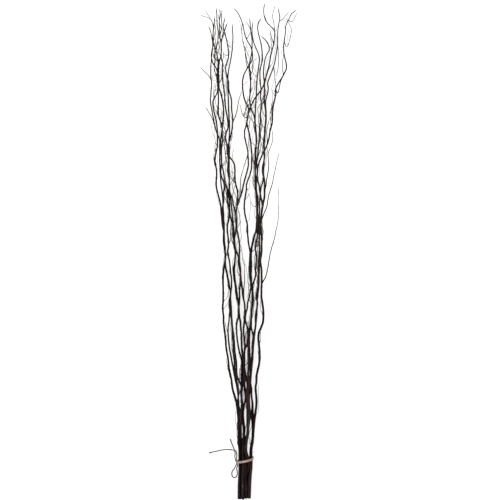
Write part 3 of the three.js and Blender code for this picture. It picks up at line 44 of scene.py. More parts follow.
# ---------------------------------------------------------------- routes and sizes
# Centrelines in millimetres, the same as the CAD model's: [x, y, z, radius].
STEMS = [
  {"name": "willow_stem_01", "main": [
    [-26.24, -740.24, 30.48, 4.12], [-25.67, -696.69, 32.92, 4.04], [-24.39, -651.74, 35.5, 3.94], [-25.4, -624.77, 37.23, 3.89], [-25.86, -594.79, 39.31, 3.83],
    [-28.73, -561.95, 40.76, 3.66], [-29.06, -534.96, 40.15, 3.53], [-29.11, -504.98, 38.1, 3.38], [-30.62, -478.04, 36.42, 3.21], [-34.28, -451.32, 32.44, 3.04],
    [-46.87, -411.13, 20.31, 2.94], [-50.89, -381.32, 15.63, 2.88], [-58.45, -346.06, 16.21, 2.82], [-59.4, -328.09, 16.22, 2.78], [-65.74, -292.7, 12.71, 2.74],
    [-68.73, -256.82, 10.92, 2.69], [-73.9, -215.12, 16.94, 2.64], [-74.07, -191.05, 19.42, 2.61], [-76.4, -173.05, 19.88, 2.6], [-76.42, -161.08, 19.92, 2.59],
    [-74.56, -128.09, 21.14, 2.56], [-75.7, -86.09, 25.26, 2.52], [-73.88, -53.07, 27.52, 2.49], [-68.45, -11.44, 31.85, 2.45], [-73.91, 33.17, 35.26, 2.4],
    [-73.98, 66.19, 34.09, 2.38], [-76.73, 80.9, 34.44, 2.37], [-80.12, 113.72, 39.87, 2.35], [-83.57, 149.5, 46, 2.33], [-94.95, 192.85, 42.87, 2.29],
    [-95.49, 210.79, 42.36, 2.28], [-94.05, 237.41, 46.41, 2.25], [-95.65, 251.77, 50.03, 2.24], [-100.6, 272.1, 54.27, 2.22], [-92.38, 316.36, 53.34, 2.17],
    [-92.04, 340.21, 52.34, 2.14], [-92.09, 367.2, 55.38, 2.11], [-95.8, 393.82, 60.05, 2.07], [-103.66, 429, 62.12, 1.99], [-104.05, 450.54, 62.12, 1.95],
    [-92.51, 475.17, 63.81, 1.89], [-90.09, 486.63, 65.11, 1.86], [-91.88, 510.43, 67.5, 1.81], [-92.61, 540.26, 68.54, 1.73], [-107.47, 569.6, 70.89, 1.64],
    [-109.5, 587.96, 74.14, 1.58], [-104.03, 617.65, 79.21, 1.48], [-103.99, 635.59, 79.85, 1.42], [-103.74, 656.58, 78.46, 1.35], [-101.99, 668.55, 77.67, 1.3],
    [-99.24, 701.43, 80.79, 1.17],
  ], "twigs": [
   [
    [-80.12, 113.72, 39.87, 1.03], [-84.56, 143.57, 37.5, 0.78], [-89.36, 170.61, 41.31, 0.56],
   ],
   [
    [-103.74, 656.58, 78.46, 0.89], [-102.81, 671.19, 80.43, 0.82], [-114.77, 698.28, 79.61, 0.68], [-129.54, 720.83, 83.89, 0.56],
   ],
   [
    [-103.99, 635.59, 79.85, 0.94], [-104.01, 671.69, 83.15, 0.79], [-110.63, 691.4, 81.17, 0.7], [-117.21, 696, 80.23, 0.67], [-143.04, 704.33, 80.73, 0.56],
   ],
   [
    [-90.09, 486.63, 65.11, 1.23], [-87.7, 500.28, 68.3, 1.14], [-80.31, 513.8, 70.41, 1.05], [-78.23, 522.58, 70.93, 1], [-77.29, 531.44, 71, 0.95],
    [-76.82, 564.35, 70.35, 0.76], [-73.99, 581.58, 70.89, 0.66], [-73.74, 599.33, 72.8, 0.56],
   ],
   [
    [-92.61, 540.26, 68.54, 1.14], [-86.43, 561.98, 74.23, 0.99], [-92.21, 583.94, 75.14, 0.85], [-91.59, 592.59, 74.58, 0.8], [-86.33, 609.34, 73.78, 0.69],
    [-89.71, 629.91, 74.77, 0.56],
   ],
  ]},
  {"name": "willow_stem_02", "main": [
    [-26.58, -738.85, 11.35, 3.55], [-26.11, -714.66, 11.58, 3.5], [-25.46, -687.65, 12.29, 3.46], [-23.46, -654.7, 11.87, 3.4], [-23.38, -627.69, 12.09, 3.35],
    [-24.99, -597.73, 11.13, 3.29], [-28.4, -561.89, 9.29, 3.15], [-28.59, -519.87, 7.57, 2.97], [-28.48, -477.85, 7.35, 2.76], [-29.32, -447.85, 6.32, 2.6],
    [-33.96, -406.1, 4.84, 2.52], [-40.39, -376.8, 4.9, 2.47], [-45.02, -350.19, 2.43, 2.43], [-50.74, -320.72, 6.85, 2.38], [-54.97, -297.09, 4.99, 2.36],
    [-58.83, -270.35, 3.19, 2.33], [-60.87, -234.43, 6.12, 2.29], [-58.15, -204.56, 2.26, 2.26], [-55.52, -174.66, 6.37, 2.23], [-54.37, -150.67, 5.04, 2.22],
    [-53.37, -123.71, 2.2, 2.2], [-56.58, -99.94, 5.68, 2.18], [-61.96, -70.41, 3.25, 2.15], [-68.36, -38.1, 4.08, 2.13], [-69.14, 6.88, 3.25, 2.09],
    [-71.56, 36.78, 3.17, 2.06], [-71.94, 57.79, 5.58, 2.05], [-72.37, 81.8, 2.05, 2.04], [-73.81, 108.77, 3.25, 2.02], [-75.3, 135.74, 7.94, 2.01],
    [-78.46, 177.65, 3.35, 1.98], [-81.23, 201.5, 7.04, 1.96], [-83.94, 228.36, 3.64, 1.94], [-84.89, 249.35, 2.2, 1.93], [-85.91, 273.34, 8.21, 1.91],
    [-86.04, 294.35, 8.87, 1.89], [-86.14, 318.36, 5.09, 1.86], [-87.22, 342.29, 8.02, 1.84], [-95.17, 360.94, 8.47, 1.82], [-102.55, 390, 1.79, 1.79],
    [-108.46, 422.48, 8.35, 1.73], [-114.04, 454.97, 6.52, 1.66], [-112.46, 478.86, 7.34, 1.62], [-110.45, 502.78, 10.74, 1.57], [-111.09, 517.73, 7.57, 1.54],
    [-113.34, 547.62, 1.46, 1.46], [-111.54, 574.57, 7.36, 1.4], [-108.23, 607.41, 4.84, 1.3], [-107.41, 634.37, 8.95, 1.23], [-112.97, 663.78, 10.11, 1.13],
    [-120.54, 683.33, 2.34, 1.07],
  ], "twigs": [
   [
    [-102.55, 390, 1.79, 1.03], [-112.75, 411.43, 0.83, 0.83], [-130.05, 440.01, 1.31, 0.56],
   ],
   [
    [-111.09, 517.73, 7.57, 1.01], [-117.42, 529.53, 5.47, 0.91], [-125.65, 538.73, 4.55, 0.81], [-147.54, 560.33, 0.56, 0.56],
   ],
   [
    [-58.83, -270.35, 3.19, 1.09], [-62.71, -240.6, 0.84, 0.84], [-68.37, -219.9, 6.83, 0.68], [-69.54, -204.82, 12.15, 0.56],
   ],
  ]},
  {"name": "willow_stem_03", "main": [
    [-28.27, -740.4, 19.07, 3.96], [-27.89, -714.65, 19.5, 3.91], [-27.3, -687.64, 19.8, 3.86], [-25.55, -654.67, 19.46, 3.79], [-25.81, -624.67, 19.59, 3.73],
    [-21.86, -594.96, 18.94, 3.67], [-23.64, -562.03, 17.51, 3.52], [-23.9, -535.01, 17.41, 3.39], [-23.41, -505, 15.34, 3.24], [-24.17, -481, 12.84, 3.1],
    [-30.32, -451.51, 12.9, 2.92], [-29.47, -424.29, 11.05, 2.84], [-34.83, -385.63, 9.46, 2.77], [-40.73, -353.15, 10.39, 2.72], [-41.32, -323.14, 6.06, 2.66],
    [-44.05, -293.25, 5.86, 2.63], [-45.34, -272.28, 7.22, 2.6], [-46.96, -248.31, 6.98, 2.57], [-50.24, -203.43, 12.14, 2.52], [-55.6, -173.87, 12.7, 2.49],
    [-55.79, -146.85, 9.54, 2.47], [-53.27, -120.13, 11.09, 2.45], [-58.13, -102.72, 12.51, 2.43], [-61.69, -82.02, 12.07, 2.42], [-65.82, -58.35, 12.68, 2.39],
    [-70.78, -34.87, 15.81, 2.37], [-69.31, -10.76, 14.7, 2.35], [-73.57, 31.16, 7.68, 2.31], [-74.24, 70.2, 10.89, 2.28], [-76.23, 85.15, 10.92, 2.27],
    [-76.82, 109.15, 11.98, 2.26], [-76.18, 139.2, 15.75, 2.24], [-74.4, 151.25, 15.15, 2.23], [-73.74, 178.28, 8.82, 2.21], [-71.96, 196.52, 6.39, 2.2],
    [-73.8, 211.47, 7.65, 2.18], [-79.63, 225.93, 10.33, 2.17], [-82.9, 240.7, 12.05, 2.16], [-80.2, 268.08, 13.09, 2.14], [-83.3, 312.85, 17.21, 2.09],
    [-83.13, 336.81, 11.85, 2.06], [-80.54, 351.61, 7.86, 2.04], [-77.21, 390.23, 10.83, 1.99], [-74.14, 405.08, 13.49, 1.97], [-74.21, 429.25, 14.62, 1.91],
    [-77.71, 456.21, 16.74, 1.86], [-86.89, 494.59, 14.82, 1.77], [-88.36, 521.62, 7.42, 1.71], [-88.69, 548.65, 9.9, 1.63], [-87.03, 572.81, 15.94, 1.56],
    [-83.52, 584.7, 17.33, 1.53], [-80.9, 620.66, 19.67, 1.41], [-85.05, 651.02, 21.28, 1.31], [-80.06, 671.61, 16.08, 1.24], [-78.88, 683.61, 12.92, 1.19],
    [-80.73, 710.86, 14.93, 1.08], [-77.32, 728.58, 21.63, 1],
  ], "twigs": [
   [
    [-80.06, 671.61, 16.08, 0.82], [-85.88, 688.85, 17.2, 0.72], [-90.24, 719.28, 16.32, 0.56],
   ],
  ]},
  {"name": "willow_stem_04", "main": [
    [-20.98, -740.34, 23.53, 4.21], [-21.09, -711.68, 24.8, 4.15], [-21.42, -684.7, 25.88, 4.09], [-20.14, -654.75, 26.49, 4.03], [-20.59, -624.78, 29.02, 3.97],
    [-20.14, -597.8, 30.64, 3.91], [-21.64, -567.87, 32.06, 3.76], [-22.63, -534.91, 36.19, 3.6], [-21.63, -498.95, 35.27, 3.41], [-20.45, -474.99, 37.33, 3.25],
    [-19.07, -451.05, 38.08, 3.1], [-21.73, -418.2, 32.36, 3.01], [-20.37, -402.71, 30.97, 2.98], [-31.24, -377.53, 27.55, 2.93], [-34.6, -365.71, 25.05, 2.91],
    [-35.48, -332.74, 19.59, 2.85], [-40.97, -294.03, 18.73, 2.79], [-42.74, -264.17, 19.02, 2.75], [-46.36, -237.42, 15.7, 2.72], [-48.17, -216.48, 16.56, 2.69],
    [-50.13, -192.58, 18.62, 2.67], [-50.24, -177.54, 16.6, 2.65], [-53.26, -138.54, 16.94, 2.62], [-52.54, -120.3, 22.59, 2.6], [-50.09, -105.42, 23.5, 2.59],
    [-50.24, -78.56, 19.9, 2.56], [-52.67, -63.84, 21.92, 2.55], [-56.33, -25.05, 26.1, 2.51], [-61.57, 1.61, 21.28, 2.48], [-58.67, 25.66, 26.81, 2.46],
    [-62.01, 61.35, 29.99, 2.43], [-62.12, 82.41, 29.51, 2.42], [-56.14, 108.75, 33.49, 2.4], [-56.71, 126.71, 34.22, 2.39], [-61.69, 150.27, 32.46, 2.37],
    [-64.01, 192.27, 34.05, 2.34], [-69.34, 209.58, 37.41, 2.32], [-74.24, 242.11, 40.43, 2.29], [-79.81, 265.51, 39.33, 2.27], [-80.42, 289.63, 43.32, 2.25],
    [-82.86, 310.62, 44.83, 2.22], [-82.63, 334.76, 39.71, 2.19], [-78.06, 367.38, 46.47, 2.15], [-79.83, 382.2, 51.34, 2.13], [-88.24, 407.92, 48.49, 2.08],
    [-88.88, 456.02, 56.99, 1.97], [-89.51, 497.96, 49.28, 1.88], [-92.35, 527.53, 57.58, 1.8], [-89.85, 569.74, 59.31, 1.67], [-93.7, 590.62, 61.6, 1.6],
    [-95.27, 605.56, 65.05, 1.55], [-90.46, 629.36, 66.1, 1.47], [-89.28, 656.36, 63.36, 1.37], [-92.04, 674.45, 63.61, 1.3], [-93.32, 701.4, 68.08, 1.2],
    [-93.84, 728.41, 73.63, 1.07],
  ], "twigs": [
   [
    [-56.71, 126.71, 34.22, 1.13], [-66.54, 156.55, 33.85, 0.88], [-72.46, 170.41, 34.59, 0.77], [-71.64, 197.41, 33.15, 0.56],
   ],
   [
    [-93.7, 590.62, 61.6, 0.96], [-100.38, 610.77, 61.78, 0.77], [-104.34, 635.23, 63.44, 0.56],
   ],
   [
    [-89.85, 569.74, 59.31, 1.1], [-101.1, 582.2, 59.98, 0.99], [-96.57, 602.46, 61.1, 0.85], [-111.49, 642.41, 64.13, 0.56],
   ],
  ]},
  {"name": "willow_stem_05", "main": [
    [-15.24, -739.32, 43.3, 4.12], [-15.37, -714.65, 44.45, 4.07], [-15.62, -687.62, 45.93, 4.02], [-15.25, -654.63, 46.36, 3.95], [-14.58, -630.61, 44.66, 3.9],
    [-15.66, -594.64, 40.49, 3.82], [-12.97, -564.75, 36.11, 3.68], [-12.61, -537.74, 33.52, 3.54], [-15.38, -504.85, 32.07, 3.38], [-16.45, -477.85, 27.17, 3.21],
    [-17.82, -450.87, 22.98, 3.04], [-21.32, -417.93, 25.94, 2.95], [-20.06, -402.87, 24.64, 2.92], [-19.86, -375.83, 16.74, 2.87], [-19.29, -345.89, 12.03, 2.81],
    [-20.96, -319.01, 14.21, 2.77], [-25.85, -301.74, 15.36, 2.75], [-31.08, -275.07, 16.3, 2.71], [-34.73, -242.29, 17.64, 2.67], [-34.7, -218.12, 16.82, 2.64],
    [-28.96, -188.65, 18.02, 2.61], [-28.85, -158.75, 22.16, 2.58], [-36.34, -126.61, 20.02, 2.56], [-38.6, -102.57, 18.67, 2.54], [-43.82, -66.95, 20.4, 2.5],
    [-44.03, -45.68, 17.84, 2.48], [-40.93, -30.98, 16.29, 2.47], [-38.19, 1.6, 21.45, 2.43], [-41.61, 25.1, 24.57, 2.41], [-46.63, 51.91, 18.54, 2.39],
    [-45.96, 64.01, 15.96, 2.38], [-47.37, 84.82, 17.38, 2.37], [-53.3, 105.28, 24.24, 2.36], [-55.4, 129.32, 28.23, 2.34], [-56.42, 153.32, 25.56, 2.33],
    [-59.3, 179.82, 23.28, 2.3], [-62.27, 191.36, 23.51, 2.29], [-79.86, 226.35, 26.83, 2.26], [-82.78, 238.27, 28.97, 2.25], [-79.99, 268.33, 33.18, 2.23],
    [-80.34, 292.28, 29.96, 2.2], [-80.25, 316.43, 25.97, 2.17], [-76.28, 337.27, 29.32, 2.14], [-77.6, 349.28, 33.28, 2.13], [-77.16, 382.38, 37.03, 2.09],
    [-73.84, 415.25, 33.26, 2.03], [-75.04, 444.83, 38.45, 1.96], [-84.1, 482.56, 37.36, 1.87], [-88.27, 494.22, 36.25, 1.85], [-89.97, 509.31, 37.76, 1.81],
    [-88.32, 548.58, 46.84, 1.7], [-85.63, 572.44, 42.86, 1.63], [-81.76, 587.28, 39.31, 1.58], [-80.14, 614.36, 40.29, 1.49], [-80.9, 629.39, 43.74, 1.44],
    [-85.75, 650.22, 47.29, 1.37], [-85.85, 671.25, 48.19, 1.29], [-85.99, 695.29, 47.63, 1.2], [-83.34, 710.39, 45.72, 1.13], [-86.04, 728.33, 42.01, 1.05],
  ], "twigs": [
   [
    [-59.3, 179.82, 23.28, 1.06], [-54.84, 200.1, 24.58, 0.89], [-42.66, 224.43, 28.38, 0.68], [-40.45, 239.21, 32.05, 0.56],
   ],
  ]},
  {"name": "willow_stem_06", "main": [
    [-12.63, -739.55, 12.2, 4.12], [-13.01, -714.67, 14.67, 4.08], [-12.51, -687.67, 17.08, 4.02], [-11.11, -654.71, 20.62, 3.95], [-11.05, -630.72, 23.44, 3.9],
    [-13.31, -594.81, 26.56, 3.83], [-10.82, -564.96, 27.55, 3.68], [-13.09, -538.1, 25.59, 3.54], [-15.31, -511.2, 23.55, 3.41], [-15.71, -499.22, 22.66, 3.34],
    [-13.98, -466.29, 19.38, 3.14], [-8.42, -442.88, 16.72, 3], [-11.07, -400.82, 16.99, 2.92], [-11.03, -370.93, 18.3, 2.86], [-11.6, -337.9, 14.14, 2.8],
    [-19.4, -296.42, 9.82, 2.74], [-20.35, -278.36, 11.28, 2.72], [-20.18, -245.4, 14.48, 2.68], [-22.62, -230.71, 14.48, 2.66], [-23.48, -206.76, 13.16, 2.63],
    [-27.27, -192.2, 12.52, 2.61], [-28.95, -177.11, 12.53, 2.6], [-26.13, -147.07, 13.9, 2.57], [-26, -114.11, 13.99, 2.55], [-22.71, -81.95, 13.17, 2.52],
    [-24.71, -58.02, 14.55, 2.49], [-29.4, -32.1, 16.49, 2.47], [-29.52, -14.57, 16.18, 2.45], [-38.82, 11.69, 13.13, 2.42], [-41.32, 35.68, 12.24, 2.4],
    [-37.37, 65.93, 17.78, 2.38], [-35.83, 95.42, 23.42, 2.36], [-37, 113.61, 22.68, 2.35], [-32, 149.24, 15.2, 2.33], [-31.82, 175.88, 15.21, 2.31],
    [-32.78, 187.35, 17.69, 2.3], [-38.18, 207.83, 23.58, 2.28], [-39.75, 225.88, 26.73, 2.26], [-41.29, 261.56, 22.5, 2.23], [-45.36, 272.56, 19.79, 2.22],
    [-56.84, 290.08, 17.16, 2.2], [-58.79, 323.3, 20.92, 2.16], [-53.11, 346.74, 25.13, 2.13], [-48.16, 370.21, 26.57, 2.1], [-47.07, 387.99, 26.26, 2.08],
    [-47.1, 408.89, 25.96, 2.04], [-49.66, 426.8, 26.19, 2], [-50.27, 456.71, 26.24, 1.93], [-58.23, 488.84, 25.93, 1.86], [-59.44, 512.85, 28.58, 1.81],
    [-67.83, 550.74, 35.75, 1.69], [-58.96, 585.39, 31.95, 1.59], [-58.84, 599.9, 27.81, 1.54], [-64.36, 635.22, 24.85, 1.43], [-73.13, 667.16, 35.54, 1.31],
    [-73.31, 685.54, 39.54, 1.24], [-68.33, 706.02, 36.98, 1.15],
  ], "twigs": [
   [
    [-47.07, 387.99, 26.26, 1.29], [-38.35, 409.29, 26.36, 1.13], [-34.31, 420.63, 25.62, 1.04], [-30.79, 441.55, 24.19, 0.89], [-26.81, 462.45, 25.47, 0.74],
    [-17.42, 484.91, 29.18, 0.56],
   ],
   [
    [-58.84, 599.9, 27.81, 0.85], [-60.62, 591.46, 29.84, 0.76], [-69.64, 591.02, 30.69, 0.65], [-74.58, 598.06, 30.33, 0.56],
   ],
   [
    [-64.36, 635.22, 24.85, 0.85], [-59.71, 620.4, 27.83, 0.69], [-49.14, 613.29, 31.82, 0.56],
   ],
  ]},
  {"name": "willow_stem_07", "main": [
    [-18.36, -738.62, 4.92, 3.92], [-18.22, -714.68, 6.09, 3.87], [-17.66, -687.69, 7.14, 3.82], [-16.47, -651.73, 7.95, 3.75], [-16.51, -621.74, 8.76, 3.69],
    [-16.81, -591.77, 9.71, 3.62], [-15.1, -564.84, 10.26, 3.49], [-11.23, -535.16, 10.13, 3.35], [-13.53, -511.35, 9.63, 3.24], [-15.69, -484.46, 8.08, 3.09],
    [-17.47, -460.53, 5.32, 2.94], [-19.9, -433.69, 2.98, 2.83], [-17.05, -403.9, 3.91, 2.78], [-15.93, -379.94, 4.74, 2.73], [-15.66, -358.96, 4.03, 2.7],
    [-16.48, -319.98, 2.63, 2.63], [-19.01, -281.08, 3.94, 2.58], [-20.67, -242.14, 3.49, 2.54], [-23.76, -212.32, 4.69, 2.5], [-26.96, -182.51, 7.2, 2.48],
    [-28.45, -158.57, 6.25, 2.46], [-32.75, -128.91, 2.43, 2.43], [-37.63, -96.28, 3.97, 2.4], [-41.19, -66.52, 8.32, 2.38], [-40.4, -36.58, 7.72, 2.35],
    [-37.86, 2.26, 6.51, 2.31], [-40.97, 35.09, 7.17, 2.28], [-43.46, 67.98, 3.12, 2.26], [-46.94, 100.78, 3.74, 2.24], [-50.04, 136.63, 11.21, 2.22],
    [-53.19, 163.43, 9.84, 2.2], [-57.3, 193.09, 4.32, 2.18], [-56.74, 229.05, 6.52, 2.15], [-57.44, 265.03, 8.44, 2.12], [-56.74, 301, 7.28, 2.08],
    [-57.43, 333.97, 12.8, 2.04], [-56.2, 372.93, 10.03, 1.99], [-57.5, 405.88, 3.34, 1.94], [-59.51, 441.81, 10.83, 1.87], [-60.35, 474.78, 14.5, 1.8],
    [-61.85, 510.73, 8.96, 1.72], [-60.1, 540.63, 10.95, 1.64], [-55.01, 567.12, 12.2, 1.56], [-50.52, 593.73, 7.26, 1.48], [-46.16, 635.48, 10.36, 1.35],
    [-45.95, 647.43, 14.69, 1.31], [-48.54, 689.33, 15.46, 1.16],
  ], "twigs": [
  ]},
  {"name": "willow_stem_08", "main": [
    [-10.08, -737.37, 4.29, 4], [-9.96, -714.67, 6.71, 3.95], [-9.68, -687.66, 9.21, 3.9], [-8.13, -654.7, 12.1, 3.83], [-8.3, -624.7, 14.53, 3.77],
    [-8.12, -594.7, 15.44, 3.71], [-5.04, -564.84, 15.68, 3.57], [-1.61, -532.05, 16.01, 3.41], [-2.31, -505.06, 15.22, 3.28], [-2.41, -478.06, 13.74, 3.11],
    [-3.67, -454.1, 12.35, 2.97], [-7.16, -424.31, 9.79, 2.87], [-10.9, -394.48, 7.05, 2.82], [-8.7, -373.43, 6.77, 2.78], [-10.94, -355.44, 7.29, 2.75],
    [-11.15, -325.43, 7.65, 2.69], [-11, -292.44, 7.88, 2.65], [-9.94, -280.44, 7.54, 2.64], [-11.5, -256.48, 6.16, 2.61], [-13.79, -244.49, 5.15, 2.59],
    [-14.04, -232.46, 4.22, 2.58], [-11.05, -208.46, 2.55, 2.55], [-10.55, -163.57, 3.32, 2.51], [-11.46, -151.61, 4.69, 2.5], [-16.8, -128.18, 7.76, 2.48],
    [-17.5, -110.08, 9.11, 2.47], [-21.39, -83.3, 8.02, 2.44], [-23.3, -50.3, 4.02, 2.41], [-26.25, -26.42, 3.38, 2.39], [-25.61, 15.7, 9, 2.35],
    [-26.21, 27.61, 10.47, 2.34], [-30.44, 51.11, 10.92, 2.32], [-34.6, 74.85, 8.45, 2.3], [-36.5, 113.91, 6.21, 2.28], [-34.54, 131.97, 7.9, 2.27],
    [-30.6, 149.42, 10.39, 2.26], [-22.11, 172.09, 12.43, 2.24], [-17.51, 186.24, 12.21, 2.23], [-13.46, 206.77, 10.79, 2.21], [-3.13, 244.42, 11.83, 2.18],
    [0.76, 264.85, 15.65, 2.16], [-2.4, 309.38, 19.47, 2.11], [-10.47, 347.67, 13.55, 2.07], [-10.43, 366.05, 12.85, 2.04], [-5.42, 383.41, 15.3, 2.02],
    [2.23, 421.78, 24.95, 1.95], [20.17, 463.23, 20.77, 1.86], [35.15, 482.26, 14.47, 1.82], [46.47, 503.94, 13.31, 1.77], [47.98, 515.95, 15.41, 1.74],
    [46.04, 537.36, 21.67, 1.68], [47.14, 558.54, 26.92, 1.62], [53.32, 588.15, 26.8, 1.53], [63.38, 609.33, 21.95, 1.46], [60.5, 623.73, 19.25, 1.42],
    [48.77, 641.01, 18.25, 1.36], [36.96, 650.33, 19.94, 1.33],
  ], "twigs": [
   [
    [-22.11, 172.09, 12.43, 1.31], [-23.05, 200.08, 11.66, 1.11], [-22.37, 221, 13.22, 0.97], [-19.48, 235.68, 14.22, 0.86], [-13.43, 255.65, 12.61, 0.71],
    [-7.67, 275.73, 9.59, 0.56],
   ],
  ]},
  {"name": "willow_stem_09", "main": [
    [-6.84, -737.17, 39.51, 4.12], [-7.14, -711.65, 40.63, 4.07], [-7.99, -684.63, 41.2, 4.01], [-8.66, -657.62, 41.29, 3.96], [-7.78, -627.61, 39.75, 3.89],
    [-7.32, -594.63, 39.21, 3.82], [-5.55, -564.67, 40.61, 3.68], [-1.95, -534.88, 40.06, 3.53], [-2, -507.87, 41.09, 3.39], [-1.56, -477.85, 41.92, 3.21],
    [-3.06, -453.88, 40.71, 3.06], [-5.33, -432.97, 41.82, 2.98], [-2.81, -393.67, 36.42, 2.9], [-7.72, -376.41, 32.35, 2.87], [-11, -352.52, 31.9, 2.83],
    [-11.26, -328.49, 31.49, 2.78], [-11.31, -304.45, 27.13, 2.75], [-9.68, -280.44, 25, 2.72], [-13.59, -244.6, 18.31, 2.67], [-14.11, -232.48, 14.79, 2.66],
    [-10.5, -196.52, 15.5, 2.62], [-10.23, -163.63, 15.81, 2.59], [-12.78, -146.09, 13.76, 2.57], [-16.62, -128.63, 15.1, 2.56], [-17.91, -110.47, 18.46, 2.54],
    [-22.56, -89.7, 19.23, 2.52], [-23.08, -53.75, 19.75, 2.49], [-25.87, -35.87, 22.51, 2.47], [-26.84, -14.8, 21.46, 2.45], [-25.96, 23.91, 19.68, 2.41],
    [-30.52, 53.51, 27.81, 2.39], [-34.42, 71.21, 28.34, 2.38], [-35.8, 107.23, 28.64, 2.36], [-38.19, 121.99, 29.53, 2.35], [-43.23, 136.17, 27.97, 2.34],
    [-48.33, 162.63, 23.64, 2.32], [-53.85, 176.75, 25.83, 2.31], [-56.13, 188.72, 29.73, 2.3], [-56.6, 215.95, 34.26, 2.27], [-61.4, 245.79, 31.59, 2.25],
    [-59.11, 278.78, 35.29, 2.22], [-61.86, 299.37, 33.62, 2.19], [-62.67, 320.13, 31.67, 2.16], [-67.95, 341.07, 35.19, 2.14], [-65.94, 356.18, 37.68, 2.12],
    [-59.98, 376.24, 35.97, 2.09], [-67.19, 429.32, 43.26, 1.99], [-68.56, 441.22, 45.2, 1.97], [-71.08, 477.19, 42.22, 1.89], [-76.69, 518.84, 43.87, 1.79],
    [-77.01, 539.89, 40.79, 1.73], [-76.73, 563.9, 44.87, 1.65], [-80.06, 581.48, 52.58, 1.6], [-80.43, 611.7, 54.36, 1.5], [-79.04, 635.92, 50.82, 1.42],
    [-70.58, 661.86, 53.55, 1.33], [-61.38, 686.79, 51.24, 1.23],
  ], "twigs": [
   [
    [-65.94, 356.18, 37.68, 0.96], [-72.94, 379.72, 36.91, 0.75], [-73.44, 401.33, 37.45, 0.56],
   ],
   [
    [-12.78, -146.09, 13.76, 1.63], [-13.31, -114.91, 15.18, 1.42], [-11, -91.03, 11.03, 1.26], [-11.01, -67.16, 13.71, 1.1], [-10.99, -41.03, 21.34, 0.92],
    [-16.08, -24.03, 21.4, 0.8], [-17.28, -6.25, 18.65, 0.68], [-21.79, 10.9, 17.84, 0.56],
   ],
  ]},
  {"name": "willow_stem_10", "main": [
    [-3.56, -737.5, 28.51, 4.12], [-0.43, -714.65, 26.4, 4.07], [-0.54, -687.62, 24.49, 4.02], [-3.6, -654.63, 25.46, 3.95], [-3.32, -627.62, 28.14, 3.89],
    [-6.49, -591.81, 31.32, 3.81], [-4.37, -564.88, 31.94, 3.68], [-0.13, -532.14, 32.8, 3.51], [1.47, -505.16, 33.27, 3.38], [1.77, -478.15, 29.71, 3.21],
    [-0.07, -439.16, 23.64, 2.99], [-3.17, -415.3, 25.63, 2.94], [-2.15, -391.03, 28.45, 2.9], [-10.6, -352.63, 23.73, 2.83], [-11.19, -328.57, 18.83, 2.78],
    [-11.28, -304.34, 17.71, 2.75], [-9.66, -291.91, 18.7, 2.73], [-4.01, -278, 20.45, 2.72], [-0.04, -245.31, 21.1, 2.68], [5.29, -221.85, 19.44, 2.65],
    [9.54, -189.11, 20.6, 2.61], [12.7, -156.32, 23.71, 2.58], [13.03, -132.3, 22.89, 2.56], [13.53, -105.64, 20.34, 2.54], [9.05, -88.22, 19.85, 2.52],
    [9.85, -39.84, 24.37, 2.48], [8.51, 2.16, 22.04, 2.43], [14.23, 34.91, 17.59, 2.4], [19.16, 52.29, 16.56, 2.39], [25.07, 66.17, 16.83, 2.38],
    [26.89, 78.06, 17.85, 2.37], [28.35, 99.03, 20.72, 2.36], [27.08, 141.1, 25.18, 2.33], [27.5, 168.28, 23.75, 2.31], [23.91, 183.01, 22.07, 2.3],
    [22.23, 197.93, 20.92, 2.29], [22.44, 227.75, 22.74, 2.26], [20.36, 248.78, 26.4, 2.24], [20.37, 281.83, 28.87, 2.21], [22.28, 311.94, 26.87, 2.17],
    [24.78, 329.7, 26.93, 2.15], [24.71, 344.51, 28.49, 2.13], [21.78, 380.43, 32.34, 2.09], [18.26, 406.89, 29.98, 2.04], [8.39, 431.99, 27.92, 1.99],
    [4.33, 458.87, 33.3, 1.93], [6.96, 486.03, 41.28, 1.87], [7.06, 510.13, 41.27, 1.81], [7.07, 536.7, 33.92, 1.74], [4.43, 551.57, 30.73, 1.69],
    [4.16, 567.06, 30.84, 1.64], [9.8, 593.56, 38.52, 1.56], [11.96, 626.45, 45.6, 1.45], [7.47, 665.28, 38.91, 1.31], [4.56, 704.23, 39.06, 1.16],
  ], "twigs": [
   [
    [7.47, 665.28, 38.91, 0.87], [-1.08, 682.99, 39.76, 0.67], [-8.89, 691.48, 38.91, 0.56],
   ],
   [
    [27.08, 141.1, 25.18, 0.87], [17.55, 136.38, 21.26, 0.76], [12.44, 143.14, 19.24, 0.68], [7.7, 154.53, 17.74, 0.56],
   ],
   [
    [7.06, 510.13, 41.27, 1.2], [3.41, 535.42, 32.94, 1.06], [0.35, 561.95, 31.62, 0.93], [-4.01, 576.42, 35.36, 0.86], [-8.14, 596.89, 39.51, 0.75],
    [-13.53, 620.31, 37.69, 0.63], [-14.64, 635.19, 34.69, 0.56],
   ],
  ]},
  {"name": "willow_stem_11", "main": [
    [3.24, -737.42, 11.13, 4.04], [1.54, -711.64, 12.91, 3.99], [0.15, -684.62, 14.34, 3.93], [0.16, -657.63, 16.6, 3.88], [2.61, -627.65, 20.03, 3.82],
    [-5.82, -596.34, 22.91, 3.75], [-4.39, -563.55, 23.25, 3.6], [0.02, -533.87, 23.11, 3.45], [2.27, -500.92, 22.15, 3.28], [2.92, -476.91, 20.47, 3.14],
    [0.81, -449.94, 18.06, 2.97], [-0.28, -422.5, 16.1, 2.9], [4.89, -393.08, 15.88, 2.85], [6.91, -360.18, 18.48, 2.78], [9.28, -345.25, 19.21, 2.76],
    [10.74, -321.27, 17.68, 2.72], [12.72, -297.33, 13.47, 2.69], [13.19, -276.24, 10.53, 2.66], [15.76, -255.53, 10.74, 2.63], [9.96, -229.02, 13.91, 2.6],
    [9.19, -210.74, 14.76, 2.58], [10.91, -177.52, 11.42, 2.55], [15.61, -142.04, 10.86, 2.52], [13.33, -103.11, 14.85, 2.49], [22.34, -71.24, 10.1, 2.46],
